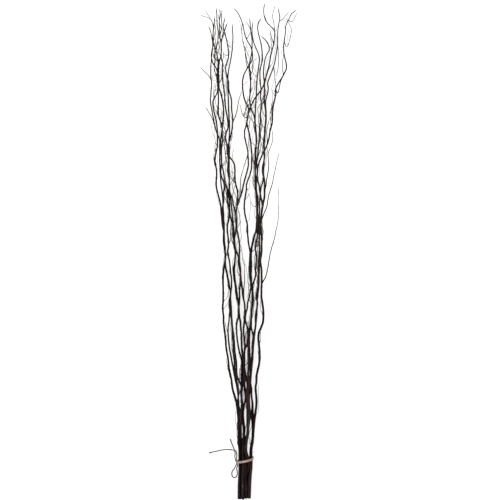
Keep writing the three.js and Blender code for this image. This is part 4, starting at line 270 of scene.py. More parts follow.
    [22.19, -53.7, 7.12, 2.44], [24.66, -11.82, 12.09, 2.4], [22.08, 12.08, 17.12, 2.37], [27.47, 50.86, 13.94, 2.34], [27.95, 74.93, 10.93, 2.33],
    [29.53, 95.84, 12.29, 2.31], [28.26, 128.87, 17.5, 2.29], [29.68, 158.94, 17.66, 2.28], [25.22, 182.78, 16.32, 2.25], [24.36, 197.79, 16.43, 2.24],
    [24.88, 215.89, 17.79, 2.23], [27.44, 230.91, 19.18, 2.21], [27.9, 245.88, 19.91, 2.2], [25.43, 270.04, 19.02, 2.18], [27.39, 282.01, 18.03, 2.17],
    [31.55, 323.86, 16.51, 2.12], [34, 338.68, 17.29, 2.1], [34.22, 374.62, 21.14, 2.05], [36.57, 389.61, 23, 2.04], [37.28, 422.67, 24.59, 1.97],
    [39.85, 443.56, 22.71, 1.92], [37.21, 464.56, 20.2, 1.88], [38.42, 491.53, 20.73, 1.82], [37.09, 503.31, 22.69, 1.79], [35.23, 539.46, 28.5, 1.69],
    [42.65, 577.97, 25.04, 1.58], [42.74, 589.91, 24.09, 1.54], [39.75, 619.76, 27.4, 1.45], [37.17, 631.5, 30.01, 1.41], [28.25, 678.92, 27.58, 1.24],
    [40.75, 706.64, 22.48, 1.12],
  ], "twigs": [
   [
    [39.85, 443.56, 22.71, 0.84], [44.11, 446.53, 22.41, 0.76], [48.71, 464.69, 21.01, 0.56],
   ],
  ]},
  {"name": "willow_stem_12", "main": [
    [-3.82, -737.24, 16.31, 4.25], [-9.55, -711.67, 23.43, 4.19], [-8.12, -684.67, 30.27, 4.13], [-1.16, -657.69, 36.44, 4.07], [1.39, -627.73, 43.02, 4.01],
    [-7.75, -592.79, 50.05, 3.93], [-4.21, -563.06, 53.41, 3.78], [-0.17, -533.34, 52.1, 3.62], [2.4, -503.46, 50.94, 3.47], [2.54, -473.47, 48.89, 3.28],
    [0.7, -449.52, 47.74, 3.12], [-1.74, -422.31, 47.03, 3.05], [2.13, -392.56, 40.28, 2.99], [-0.23, -365.42, 36.3, 2.94], [0.91, -338.45, 35.91, 2.88],
    [1.63, -311.64, 32.5, 2.84], [0.57, -287.72, 30.67, 2.81], [-0.71, -261.01, 29.5, 2.78], [-1.98, -228.04, 24.07, 2.73], [-8.04, -207.77, 23.76, 2.71],
    [-7.29, -186.53, 24.82, 2.69], [-2.76, -165.89, 23.23, 2.67], [-1.28, -150.87, 21.97, 2.66], [3.43, -133.52, 22.99, 2.64], [7.83, -97.93, 25.87, 2.61],
    [4.14, -65.04, 24.44, 2.58], [4.39, -25.94, 28.56, 2.54], [5.92, -5.09, 28.28, 2.51], [1.57, 24.53, 30.85, 2.48], [-1.72, 54.36, 33.57, 2.46],
    [-2.8, 84.41, 30.5, 2.44], [-10.26, 116.35, 34.84, 2.42], [-11.22, 134.48, 37.39, 2.41], [-10.73, 152.61, 38.04, 2.4], [-5.26, 188.11, 41.35, 2.37],
    [-4.55, 203.26, 41.85, 2.35], [5.77, 234.9, 38.69, 2.32], [9.46, 249.26, 40.49, 2.31], [10.5, 272.95, 47.61, 2.29], [10.14, 299.88, 50.45, 2.25],
    [7.02, 332.66, 49.33, 2.21], [3.5, 353.27, 50.08, 2.19], [-3.67, 385.67, 49.54, 2.14], [-2.41, 400.92, 52.35, 2.12], [0.76, 415.68, 57.48, 2.08],
    [1.4, 427.43, 61.03, 2.06], [-8.27, 449.04, 61.33, 2.01], [-13.31, 466.57, 57.67, 1.97], [-17.04, 499.55, 58.34, 1.89], [-16.87, 511.78, 60.09, 1.86],
    [-9.94, 535.13, 62.63, 1.79], [-2.49, 548.46, 65.32, 1.75], [11.17, 571.5, 71.18, 1.68], [13.11, 586.07, 70.76, 1.63], [7.75, 611.94, 64.06, 1.55],
    [-5.31, 635.51, 65.43, 1.47], [-10.25, 649.91, 70.09, 1.41], [-17.18, 682.13, 74.6, 1.29], [-29.54, 709.27, 76.52, 1.17], [-44.04, 728.33, 75.57, 1.08],
  ], "twigs": [
   [
    [-5.31, 635.51, 65.43, 0.83], [8.54, 656.63, 71.46, 0.56],
   ],
   [
    [-17.18, 682.13, 74.6, 0.85], [-19.25, 659.14, 70.6, 0.78], [-15.82, 625.8, 70.18, 0.69], [-9.43, 608.61, 69.49, 0.64], [3.96, 581.33, 63.53, 0.56],
   ],
   [
    [-2.41, 400.92, 52.35, 0.99], [-12.89, 404.77, 51.99, 0.9], [-25.13, 443.2, 55.89, 0.56],
   ],
   [
    [-2.49, 548.46, 65.32, 1.1], [-5.21, 563.28, 67.17, 0.98], [-9.13, 596.46, 65.61, 0.72], [-5.65, 617.21, 69.82, 0.56],
   ],
  ]},
  {"name": "willow_stem_13", "main": [
    [-1.69, -738.73, 4.25, 4], [-1.73, -711.67, 5.1, 3.95], [-1.95, -684.69, 6.35, 3.89], [-0.44, -657.74, 7.66, 3.84], [0.98, -627.8, 8.48, 3.78],
    [-8.26, -593.43, 7.52, 3.7], [-2.48, -552.01, 8.04, 3.5], [3.43, -507.42, 10.1, 3.29], [11.13, -478.52, 11.74, 3.12], [12.12, -466.62, 13.44, 3.04],
    [12.38, -451.65, 15.06, 2.95], [9.36, -424.87, 12.9, 2.87], [6.61, -382.97, 8.56, 2.8], [5.96, -352.99, 13.25, 2.74], [5.25, -323, 9.15, 2.69],
    [4.18, -293.03, 2.99, 2.65], [3.02, -263.08, 5.5, 2.62], [4.9, -236.16, 5.38, 2.58], [7.24, -209.26, 2.55, 2.55], [9.62, -182.38, 4.18, 2.53],
    [11.64, -155.47, 6.07, 2.5], [11.64, -119.48, 3.25, 2.47], [9.9, -83.53, 2.44, 2.44], [8.27, -47.58, 3.2, 2.41], [8.98, -11.61, 8.2, 2.37],
    [12.18, 18.19, 6.99, 2.34], [17.76, 41.51, 3.51, 2.32], [22.83, 64.94, 4.81, 2.31], [25.99, 106.79, 4.76, 2.28], [25.46, 148.76, 3.01, 2.26],
    [22.86, 181.65, 12.14, 2.23], [20.41, 214.54, 5.9, 2.2], [21.47, 241.5, 2.18, 2.18], [22.27, 271.47, 8.24, 2.16], [23.04, 301.46, 7.14, 2.12],
    [24.16, 331.42, 4.87, 2.09], [21.93, 367.33, 11.63, 2.04], [20.89, 403.3, 7.65, 1.99], [21.99, 436.27, 4.35, 1.92], [24.33, 469.17, 5.93, 1.85],
    [25.23, 502.14, 8.81, 1.77], [29.32, 543.93, 11.14, 1.66], [33.34, 588.68, 7.52, 1.53], [19.14, 624.26, 10.54, 1.42], [12.72, 653.5, 5.19, 1.32],
    [11.75, 665.37, 5.23, 1.27], [12.96, 695.33, 15.85, 1.16],
  ], "twigs": [
  ]},
  {"name": "willow_stem_14", "main": [
    [4.56, -737.16, 20.35, 3.88], [5.38, -711.67, 20.27, 3.82], [6.56, -681.67, 19.8, 3.77], [8.67, -654.72, 17.82, 3.71], [9.86, -624.86, 14.36, 3.65],
    [7.15, -595, 11, 3.6], [12.59, -562.56, 7.82, 3.44], [13.67, -535.6, 6.15, 3.32], [11.61, -505.7, 4.77, 3.18], [4.96, -473.46, 3.93, 2.99],
    [3.22, -434.52, 3.37, 2.8], [5.49, -410.65, 3.12, 2.76], [7.53, -383.73, 2.71, 2.71], [9.75, -356.82, 2.82, 2.67], [12.37, -329.94, 4.05, 2.62],
    [14.5, -300.02, 5.71, 2.58], [16.68, -270.1, 5.54, 2.54], [20.07, -240.29, 3.46, 2.51], [24.49, -207.6, 2.47, 2.47], [26.27, -177.65, 4.8, 2.45],
    [27.51, -144.68, 7.91, 2.42], [30.84, -114.87, 7.34, 2.39], [32.38, -90.92, 4.77, 2.37], [33.05, -66.93, 2.65, 2.35], [33.55, -42.94, 2.75, 2.33],
    [34.34, -18.95, 4.72, 2.31], [34.56, 8.05, 6.61, 2.28], [33.14, 41.01, 5.51, 2.25], [32.28, 77, 2.6, 2.23], [33.89, 112.96, 3.02, 2.21],
    [34.8, 151.94, 4.99, 2.19], [38.21, 190.78, 3.6, 2.16], [45.94, 222.66, 2.38, 2.13], [46.79, 249.63, 3.43, 2.11], [48.22, 279.6, 5.17, 2.08],
    [48.63, 321.59, 3.94, 2.03], [50.9, 360.53, 1.99, 1.99], [54.16, 402.39, 4.4, 1.93], [53.52, 426.37, 5.73, 1.88], [52.35, 453.33, 5.05, 1.82],
    [59.86, 488.26, 2.51, 1.75], [59.21, 511.7, 2.28, 1.7], [67.01, 534.29, 3.53, 1.64], [76.34, 559.6, 4.78, 1.57], [83.59, 591.78, 3.65, 1.47],
    [88.66, 627.39, 1.59, 1.36], [89.23, 666.35, 3.47, 1.23], [94.13, 698.97, 5.03, 1.11], [94.64, 710.81, 4.49, 1.06], [89.46, 740.33, 0.93, 0.93],
  ], "twigs": [
   [
    [94.13, 698.97, 5.03, 0.73], [100.34, 699.83, 5.38, 0.71], [123.04, 726.11, 2.9, 0.56],
   ],
   [
    [88.66, 627.39, 1.59, 0.9], [90.98, 599.21, 4.22, 0.8], [90.7, 560.25, 2.88, 0.67], [84.67, 530.56, 2.19, 0.56],
   ],
   [
    [76.34, 559.6, 4.78, 1.03], [78.55, 548.41, 4.29, 0.94], [81.79, 512.18, 3.39, 0.66], [84.36, 500.26, 1.19, 0.56],
   ],
  ]},
  {"name": "willow_stem_15", "main": [
    [3.99, -737.21, 35.53, 4.29], [3.88, -711.69, 33.79, 4.23], [3.86, -684.72, 31.83, 4.17], [5.32, -654.79, 29.24, 4.11], [7.33, -624.87, 26.75, 4.04],
    [7.55, -597.9, 24.84, 3.99], [12.94, -565.43, 22.61, 3.83], [14.08, -535.5, 19.53, 3.67], [13.61, -505.53, 18.29, 3.51], [13.76, -475.55, 18.9, 3.32],
    [12.81, -451.6, 22.11, 3.17], [10.1, -433.84, 26.99, 3.1], [9.56, -406.8, 32.16, 3.05], [6.12, -392.02, 31.56, 3.02], [5.51, -376.97, 28.84, 2.99],
    [9.4, -347.17, 25.26, 2.93], [12.26, -317.36, 26, 2.88], [12.87, -293.39, 25.65, 2.85], [13.39, -269.38, 25.55, 2.81], [16.51, -248.46, 25.6, 2.79],
    [21.63, -224.98, 22.26, 2.76], [22.4, -192.11, 14.83, 2.72], [27.59, -153.5, 17.1, 2.68], [24.81, -132.51, 18.86, 2.66], [29.84, -99.88, 18.75, 2.63],
    [31.23, -82.16, 19.69, 2.62], [30.91, -43.21, 19.49, 2.58], [32.6, -4.45, 19.91, 2.54], [34, 7.54, 22.47, 2.52], [33.3, 46.49, 27.6, 2.49],
    [36.43, 73.34, 26.64, 2.47], [37.29, 97.15, 28.4, 2.46], [42.71, 138.77, 29.88, 2.43], [34.61, 182.91, 32.17, 2.39], [33.61, 197.93, 34.37, 2.38],
    [28.26, 218.31, 35.04, 2.36], [27.72, 242.37, 34.13, 2.34], [31, 263.09, 36.23, 2.32], [40.79, 288.39, 40.57, 2.29], [55.1, 317.8, 38.8, 2.25],
    [62.79, 343.56, 38.61, 2.22], [64.64, 358.42, 40.91, 2.2], [72.15, 390.44, 44.73, 2.16], [73.44, 426.39, 47.61, 2.08], [81.66, 470.41, 50.91, 1.98],
    [82.15, 485.48, 48.18, 1.94], [88.6, 502.65, 45.78, 1.9], [107.6, 533.04, 52.4, 1.82], [114.57, 552.47, 56.78, 1.76], [106.55, 592.97, 58.27, 1.63],
    [106.13, 617.33, 58.74, 1.54], [107.56, 629.24, 57.59, 1.5], [110.39, 653.01, 52.81, 1.41], [112.98, 676.84, 52.61, 1.32], [119.87, 692.78, 58.41, 1.26],
    [130.23, 710.97, 66.47, 1.17], [147.29, 723.33, 68.4, 1.11],
  ], "twigs": [
   [
    [82.15, 485.48, 48.18, 1.28], [88.32, 474.84, 47.44, 1.22], [90.83, 481.51, 45.98, 1.18], [97.96, 513.66, 46.69, 1.02], [104.51, 530.51, 47.47, 0.93],
    [103.17, 548.43, 47.55, 0.84], [102.97, 572.38, 54.33, 0.72], [105.57, 590.37, 59.49, 0.63], [105.66, 605.34, 58.43, 0.56],
   ],
   [
    [107.56, 629.24, 57.59, 0.99], [112.71, 615.06, 53.79, 0.94], [115.51, 612.13, 53.12, 0.92], [126.4, 643.93, 58.05, 0.79], [128.91, 661.5, 60.46, 0.72],
    [126.81, 672.43, 58.98, 0.68], [111.43, 701.04, 53.29, 0.56],
   ],
   [
    [119.87, 692.78, 58.41, 0.83], [129.61, 686.6, 60.23, 0.77], [147.42, 716.6, 60.2, 0.56],
   ],
   [
    [55.1, 317.8, 38.8, 1.19], [57.62, 332.47, 40.74, 1.08], [55.26, 356.97, 43.66, 0.9], [61.03, 389.81, 40.35, 0.65], [64.28, 401.54, 41.47, 0.56],
   ],
  ]},
  {"name": "willow_stem_16", "main": [
    [2.76, -736.35, 44.45, 4.37], [2.75, -711.66, 42.7, 4.31], [3.14, -681.65, 40.43, 4.25], [7.9, -654.71, 38.3, 4.19], [9.47, -624.96, 35.92, 4.12],
    [8.68, -594.98, 33.5, 4.06], [13.33, -565.36, 30.79, 3.9], [15.4, -538.44, 27.67, 3.76], [18.28, -508.57, 24.6, 3.6], [21.53, -484.79, 22.71, 3.45],
    [24.86, -457.99, 20.32, 3.27], [24.72, -437.09, 17.58, 3.16], [22.13, -407.09, 13.1, 3.11], [24.47, -392.12, 11.84, 3.08], [25.42, -371.05, 12.27, 3.03],
    [33.65, -329.97, 15.84, 2.95], [33.84, -291.07, 15.88, 2.9], [31.18, -270.21, 14.73, 2.87], [31.12, -252, 14.55, 2.85], [34.2, -237.07, 15.59, 2.83],
    [44.6, -209.27, 20.35, 2.79], [45.87, -182.64, 24.84, 2.76], [42.43, -149.88, 26.1, 2.73], [40.22, -138, 25.38, 2.72], [39.82, -116.82, 24, 2.7],
    [40.45, -92.79, 24.59, 2.68], [39.74, -51.11, 32.54, 2.64], [36.72, -26.98, 36.73, 2.61], [40.11, 2.88, 36.72, 2.58], [40.16, 41.5, 33.2, 2.54],
    [37.79, 80.36, 38.03, 2.51], [38.92, 95.66, 42.19, 2.5], [40.32, 119.66, 47.83, 2.49], [44.34, 143.48, 49.35, 2.47], [48.61, 167.01, 46.88, 2.45],
    [48.93, 184.74, 44.61, 2.44], [48.72, 211.27, 44.69, 2.41], [42.98, 244.16, 52.4, 2.38], [43.43, 256.41, 55.91, 2.37], [48.98, 282.93, 60.75, 2.34],
    [48.63, 297.88, 60.79, 2.32], [46.37, 312.81, 59.34, 2.3], [46.1, 331.06, 56.99, 2.28], [48.91, 348.93, 55.95, 2.26], [49.17, 366.99, 57.55, 2.23],
    [52.05, 387.84, 62.59, 2.2], [51.86, 420.4, 71.64, 2.13], [48.02, 447.29, 74.31, 2.07], [48.81, 474.42, 72.24, 2.01], [48.91, 501.54, 70.58, 1.94],
    [52.2, 519.49, 72.06, 1.89], [60.41, 548.38, 78.67, 1.8], [67.61, 586.6, 85.96, 1.68], [75.71, 618.59, 85.52, 1.57], [78.61, 653.69, 84.14, 1.44],
    [73.05, 664.28, 84.91, 1.4], [55.88, 681.31, 88.42, 1.33], [46.3, 710.28, 93.68, 1.2], [48.66, 740.41, 95.6, 1.05],
  ], "twigs": [
   [
    [38.92, 95.66, 42.19, 1.65], [51.78, 126.61, 38.73, 1.48], [56.81, 140.76, 39.65, 1.4], [60.49, 167.44, 44.04, 1.26], [70.57, 199.12, 49.29, 1.09],
    [75.53, 222.75, 50.75, 0.96], [81.17, 249.36, 51.04, 0.82], [86.26, 272.98, 52.19, 0.7], [92.47, 299.46, 54.68, 0.56],
   ],
   [
    [48.93, 184.74, 44.61, 1.61], [53.56, 200.24, 44.5, 1.52], [55.25, 217.84, 45.11, 1.42], [61, 250.57, 50.3, 1.23], [60.9, 277.52, 53.53, 1.08],
    [59, 292.7, 54.77, 0.99], [67.41, 315.33, 57.76, 0.85], [72.27, 332.67, 59.39, 0.75], [72.66, 365.29, 57.9, 0.56],
   ],
   [
    [40.45, -92.79, 24.59, 1.77], [52, -74.68, 26.18, 1.68], [54.83, -66.29, 27.41, 1.64], [60.92, -33.78, 31.69, 1.51], [67.2, 1.81, 34.12, 1.37],
    [72.92, 22.13, 33.3, 1.28], [79.77, 45.18, 33.74, 1.19], [82.67, 63.04, 36.83, 1.11], [88.71, 89.31, 40.84, 1.01], [89.9, 101.15, 40.74, 0.96],
    [90.67, 125.22, 39.69, 0.86], [91.65, 152.28, 43.12, 0.75], [90.64, 176.25, 45.92, 0.66], [88.86, 200.29, 44.71, 0.56],
   ],
   [
    [75.71, 618.59, 85.52, 0.96], [65.92, 649.93, 87.48, 0.67], [63.68, 662.04, 85.36, 0.56],
   ],
   [
    [78.61, 653.69, 84.14, 0.95], [77.22, 673.79, 82.59, 0.85], [72.54, 700.11, 86.55, 0.72], [74.32, 711.99, 90.73, 0.66], [80.23, 731.85, 97.34, 0.56],
   ],
  ]},
]
# Finer twigs than the CAD model holds, on the same stems.
EXTRA = {
  "willow_stem_03": [
   [
    [-41.19, -329.83, 7.03, 0.98], [-44.19, -321.1, 8.69, 0.94], [-45.2, -311.76, 10.18, 0.9], [-46.93, -302.45, 11.37, 0.86], [-46.97, -292.86, 12.24, 0.82],
    [-49.21, -283.69, 12.82, 0.79], [-49.95, -274.17, 13.25, 0.75], [-50.08, -264.58, 13.7, 0.71], [-50, -254.99, 14.34, 0.67], [-50.12, -245.39, 15.27, 0.63],
    [-52.35, -236.27, 16.54, 0.59], [-52.98, -226.71, 18.08, 0.56], [-52.98, -221.91, 18.91, 0.54],
   ],
   [
    [-23.77, -548.76, 17.46, 0.58], [-15.03, -544.91, 19.08, 0.55], [-8.83, -538.13, 19.27, 0.53], [-8.02, -528.61, 19.2, 0.51], [-5.85, -519.47, 19, 0.48],
    [-4.96, -509.99, 18.84, 0.46], [-5.02, -500.39, 18.9, 0.43], [-5.09, -490.79, 19.27, 0.41], [-5.15, -481.19, 19.96, 0.39], [-5.21, -471.59, 20.91, 0.36],
    [-8, -462.54, 21.97, 0.34], [-8.06, -452.94, 22.96, 0.34],
   ],
   [
    [-83.94, 482.26, 15.44, 0.4], [-82.36, 491.43, 16.08, 0.38], [-80.12, 500.54, 15.92, 0.37], [-77.07, 509.39, 15.42, 0.35], [-74.03, 518.23, 14.63, 0.34],
    [-75.31, 527.5, 13.66, 0.34], [-81.54, 534.8, 12.69, 0.34], [-82.97, 544.12, 11.88, 0.34], [-80.17, 553.12, 11.35, 0.34], [-82.11, 562.27, 11.16, 0.34],
    [-86.17, 570.97, 11.26, 0.34], [-88.99, 580.05, 11.51, 0.34], [-89.15, 584.85, 11.65, 0.34],
   ],
   [
    [-43.16, -302.92, 5.93, 0.42], [-49.48, -296.18, 4.34, 0.37], [-49.86, -286.64, 3.57, 0.34], [-47.05, -277.63, 3.13, 0.34], [-46.89, -268.03, 2.99, 0.34],
    [-47.05, -265.64, 2.98, 0.34],
   ],
   [
    [-81.54, 534.8, 12.69, 0.44], [-79.64, 530.28, 13.66, 0.43], [-80, 534.46, 14.62, 0.41], [-79.64, 530.28, 15.59, 0.4], [-80, 534.46, 16.55, 0.39],
    [-79.64, 530.28, 17.52, 0.37], [-80, 534.46, 18.48, 0.36], [-79.64, 530.28, 19.45, 0.34], [-77.92, 531.48, 19.77, 0.34],
   ],
   [
    [-81.88, 607.25, 18.8, 0.44], [-81.48, 612.79, 17.85, 0.4], [-77.21, 608.73, 16.91, 0.36], [-77.03, 604.57, 16.28, 0.34],
   ],
   [
    [-76.52, 447.07, 16.02, 0.44], [-74.42, 450.71, 14.31, 0.43], [-76.52, 447.07, 12.59, 0.41], [-74.42, 450.71, 10.88, 0.4], [-76.52, 447.07, 9.16, 0.39],
    [-74.42, 450.71, 7.45, 0.37], [-76.52, 447.07, 5.74, 0.36], [-74.42, 450.71, 4.02, 0.34], [-73.37, 448.89, 3.45, 0.34],
   ],
   [
    [-78.4, 722.99, 19.52, 0.44], [-82.96, 725.75, 18.64, 0.41], [-86.11, 731.21, 17.77, 0.38], [-89.08, 727.3, 16.89, 0.35], [-88.9, 725.21, 16.6, 0.34],
   ],
   [
    [-82.39, 600.19, 18.34, 0.52], [-81.57, 605.5, 20.57, 0.5], [-81.75, 610.89, 22.63, 0.48], [-80.47, 616.13, 24.36, 0.47], [-80.2, 621.49, 25.73, 0.45],
    [-80.3, 626.88, 26.78, 0.43], [-79.1, 632.14, 27.65, 0.41], [-79.33, 637.52, 28.51, 0.39], [-79.5, 641.11, 29.17, 0.38],
   ],
   [
    [-87.16, 570.92, 15.46, 0.52], [-87.22, 576.27, 16.97, 0.48], [-87.83, 581.63, 18.6, 0.44], [-89.69, 586.62, 20.32, 0.39], [-90.99, 587.86, 20.89, 0.38],
   ],
   [
    [-82.06, 474.4, 15.83, 0.52], [-84.52, 479.17, 18.27, 0.5], [-84.08, 484.53, 20.63, 0.48], [-85.73, 489.54, 22.86, 0.47], [-88.07, 494.32, 24.93, 0.45],
    [-87.87, 499.71, 26.86, 0.43], [-90.53, 504.31, 28.69, 0.42], [-92.55, 509.2, 30.51, 0.4], [-92.96, 514.54, 32.37, 0.38],
   ],
   [
    [-74.19, 421.25, 14.25, 0.52], [-75.1, 426.53, 16.98, 0.5], [-74.6, 431.89, 19.38, 0.48], [-76.07, 437.07, 21.2, 0.47], [-76.53, 442.4, 22.35, 0.45],
    [-76.35, 447.77, 22.87, 0.43], [-78.04, 452.9, 22.99, 0.42], [-78.07, 458.26, 23.01, 0.4], [-78.38, 463.6, 23.27, 0.38],
   ],
   [
    [-83.04, 591.24, 17.75, 0.72], [-86.94, 597.21, 19.14, 0.71], [-87.16, 604.34, 20.57, 0.69], [-85.6, 611.37, 22.08, 0.68], [-85.76, 618.53, 23.72, 0.67],
    [-87.2, 625.59, 25.49, 0.65], [-86.2, 632.63, 27.4, 0.64], [-81.75, 638.24, 29.43, 0.62], [-76.74, 643.4, 31.56, 0.61], [-73.46, 649.78, 33.74, 0.6],
    [-70.53, 656.34, 35.93, 0.58], [-65.07, 660.89, 38.07, 0.57], [-60.45, 662.16, 39.46, 0.56],
   ],
   [
    [-43.7, -297.11, 5.89, 0.85], [-45.11, -290.08, 3.82, 0.83], [-46.46, -283.03, 2.1, 0.81], [-46.24, -275.84, 1.5, 0.79], [-47.81, -268.83, 1.5, 0.77],
    [-48.81, -261.74, 1.5, 0.75], [-48.6, -254.55, 1.5, 0.72], [-50.27, -247.55, 1.59, 0.7], [-50.99, -242.82, 1.74, 0.69],
   ],
   [
    [-47.11, -246.28, 7.21, 0.85], [-48.68, -239.31, 4.81, 0.82], [-47.98, -232.15, 3.26, 0.79], [-48.88, -225.05, 3.01, 0.77], [-51.17, -218.23, 3.89, 0.74],
    [-51.05, -211.08, 5.18, 0.71], [-50.08, -206.38, 5.82, 0.69],
   ],
  ],
  "willow_stem_09": [
   [
    [-11.14, -339.64, 31.68, 0.98], [-3.03, -334.82, 33.94, 0.94], [-2.04, -325.34, 34.85, 0.9], [-2, -315.75, 35.47, 0.86], [-2.16, -306.15, 35.92, 0.82],
    [-2.12, -296.56, 36.36, 0.79], [-2.08, -286.96, 36.97, 0.75], [-3.3, -277.62, 37.88, 0.71], [-5.02, -268.31, 39.11, 0.67], [-5.27, -258.72, 40.63, 0.63],
    [-5.4, -249.17, 42.31, 0.59], [-5.15, -239.58, 43.96, 0.56], [-5.02, -234.79, 44.73, 0.54],
   ],
   [
    [-40.87, 129.53, 28.7, 0.98], [-38.15, 138.3, 31.16, 0.94], [-35.89, 147.38, 32.84, 0.9], [-34.97, 156.89, 34.19, 0.86], [-36.26, 166.17, 35.24, 0.82],
    [-40.06, 174.91, 36.11, 0.79], [-44.09, 183.44, 36.96, 0.75], [-46.33, 192.6, 37.98, 0.71], [-47.11, 202.09, 39.27, 0.67], [-44.02, 210.47, 40.9, 0.63],
    [-42.36, 219.03, 42.82, 0.59], [-50.5, 223.73, 44.91, 0.56], [-52.9, 227.88, 45.96, 0.54],
   ],
   [
    [-68.75, 443.98, 44.97, 0.82], [-71, 452.89, 46.32, 0.79], [-71.09, 462.48, 46.84, 0.75], [-66.36, 470.22, 47.48, 0.72], [-64.98, 479.53, 48.37, 0.69],
    [-65.06, 489.12, 49.59, 0.65], [-65.15, 498.71, 51.13, 0.62], [-65.18, 508.18, 52.86, 0.59], [-64.97, 517.77, 54.63, 0.56], [-64.97, 527.37, 56.27, 0.52],
    [-69.6, 535.41, 57.64, 0.49], [-74.11, 543.79, 58.67, 0.46], [-74.77, 546.1, 58.88, 0.45],
   ],
   [
    [-60.45, 288.82, 34.48, 0.77], [-65.17, 296.83, 32.48, 0.73], [-69.89, 304.83, 31.83, 0.69], [-71, 314.29, 31.47, 0.64], [-71.17, 323.89, 31.28, 0.6],
    [-70.71, 333.47, 31.09, 0.56], [-71.5, 343.03, 30.73, 0.52], [-73.97, 352.24, 30.08, 0.48], [-73.97, 361.8, 29.09, 0.44], [-74.22, 366.59, 28.49, 0.42],
   ],
   [
    [-26.29, 9.49, 20.34, 0.68], [-22.69, 17.66, 22.02, 0.65], [-26.02, 26.45, 23.73, 0.62], [-22.92, 35.24, 25.17, 0.6], [-20.13, 44.1, 26.28, 0.57],
    [-20.25, 53.7, 27.09, 0.54], [-23.21, 62.65, 27.7, 0.52], [-23.13, 72.24, 28.29, 0.49], [-23.05, 81.83, 29.03, 0.46], [-22.96, 91.42, 30.05, 0.44],
    [-24.88, 100.66, 31.4, 0.41], [-26.12, 110.13, 33.05, 0.39], [-26.12, 114.93, 33.94, 0.37],
   ],
   [
    [-60.09, 377.05, 36.08, 0.44], [-66.66, 383.97, 35.75, 0.4], [-71.01, 392.5, 36.55, 0.37], [-73.06, 401.57, 37.68, 0.34], [-72.97, 410.64, 39.05, 0.34],
    [-71.09, 419.84, 40.5, 0.34], [-71.13, 422.24, 40.85, 0.34],
   ],
   [
    [-20.01, 4.15, 18.16, 0.4], [-20.01, 13.75, 19.16, 0.34], [-20.01, 18.55, 19.36, 0.34],
   ],
   [
    [-76.77, 560.52, 44.29, 0.44], [-72.26, 556.98, 44.55, 0.41], [-68.02, 560.54, 44.81, 0.37], [-65.61, 566.08, 45.07, 0.34],
   ],
   [
    [-66.15, 421.64, 42.2, 0.44], [-64.01, 415.76, 42.62, 0.4], [-61.87, 409.89, 43.03, 0.35], [-62.05, 407.8, 43.17, 0.34],
   ],
   [
    [-76.88, 551.19, 42.71, 0.52], [-77.48, 556.48, 42.68, 0.5], [-76.25, 561.72, 42.36, 0.48], [-78.14, 566.72, 41.57, 0.47], [-79.04, 571.95, 40.21, 0.45],
    [-79.19, 577.28, 38.37, 0.43], [-82.27, 581.71, 36.24, 0.41], [-83.49, 586.89, 34.1, 0.39], [-84.21, 590.4, 32.82, 0.38],
   ],
   [
    [-76.96, 536.39, 41.3, 0.52], [-76.1, 541.68, 42.09, 0.48], [-76.1, 547.08, 40.65, 0.44], [-77.24, 552.3, 37.61, 0.39], [-78.27, 553.77, 36.71, 0.38],
   ],
   [
    [-78.16, 638.6, 51.1, 0.52], [-77.13, 643.89, 51.79, 0.5], [-77.73, 649.25, 52.47, 0.47], [-77.33, 654.6, 53.15, 0.45], [-76.56, 659.93, 53.83, 0.43],
    [-77.27, 665.28, 54.51, 0.4], [-76.51, 670.6, 55.19, 0.38],
   ],
   [
    [-71.45, 479.96, 42.33, 0.52], [-72.74, 485.11, 38.51, 0.5], [-75.23, 489.85, 35.28, 0.48], [-74.4, 495.15, 33.02, 0.46], [-75.12, 500.42, 31.78, 0.44],
    [-75.85, 505.66, 31.24, 0.42], [-73.61, 510.57, 30.84, 0.39], [-73.41, 514.14, 30.36, 0.38],
   ],
   [
    [-73.85, 497.79, 43.03, 0.72], [-74.43, 504.96, 41.04, 0.7], [-75.46, 512.07, 39.16, 0.68], [-76.69, 519.15, 37.47, 0.66], [-75.89, 526.29, 36.01, 0.64],
    [-75.49, 533.47, 34.74, 0.62], [-75.36, 540.65, 33.59, 0.59], [-73.21, 547.51, 32.44, 0.57], [-71.83, 552.11, 31.62, 0.56],
   ],
   [
    [-66.31, 353.42, 37.23, 0.72], [-71.92, 357.92, 37.26, 0.7], [-76.27, 363.56, 37.07, 0.69], [-78.66, 370.35, 36.49, 0.67], [-82.03, 376.7, 35.41, 0.65],
    [-83.22, 383.73, 33.81, 0.63], [-82.73, 390.9, 31.77, 0.62], [-83.21, 398.08, 29.45, 0.6], [-80.97, 404.85, 27.06, 0.58], [-77.76, 411.29, 24.82, 0.57],
    [-77.01, 413.57, 24.14, 0.56],
   ],
   [
    [-60.06, 265.11, 33.76, 0.72], [-64, 271.09, 31.89, 0.71], [-64.54, 278.22, 30.13, 0.69], [-65.2, 285.34, 28.56, 0.68], [-68.56, 291.69, 27.26, 0.66],
    [-69.96, 298.66, 26.25, 0.65], [-68.69, 305.74, 25.52, 0.63], [-69.9, 312.78, 25.04, 0.62], [-71.96, 319.64, 24.72, 0.6], [-70.47, 326.63, 24.46, 0.59],
    [-68.9, 333.6, 24.17, 0.57], [-70.21, 340.67, 23.74, 0.56],
   ],
   [
    [-47.31, 157.34, 24.51, 0.85], [-46.78, 164.5, 25.89, 0.83], [-46.64, 171.69, 26.95, 0.8], [-44.66, 178.61, 27.47, 0.78], [-43.5, 185.7, 27.4, 0.76],
    [-42.41, 192.79, 26.88, 0.74], [-39.62, 199.43, 26.2, 0.71], [-37.82, 206.38, 25.68, 0.69],
   ],
   [
    [-34.69, 78.2, 28.4, 0.85], [-37.04, 85, 26.21, 0.83], [-38.92, 91.93, 24.53, 0.8], [-38.82, 99.12, 23.69, 0.78], [-38.25, 106.29, 23.77, 0.76],
    [-39.14, 113.42, 24.54, 0.74], [-40.52, 120.49, 25.58, 0.71], [-40.19, 127.65, 26.35, 0.69],
   ],
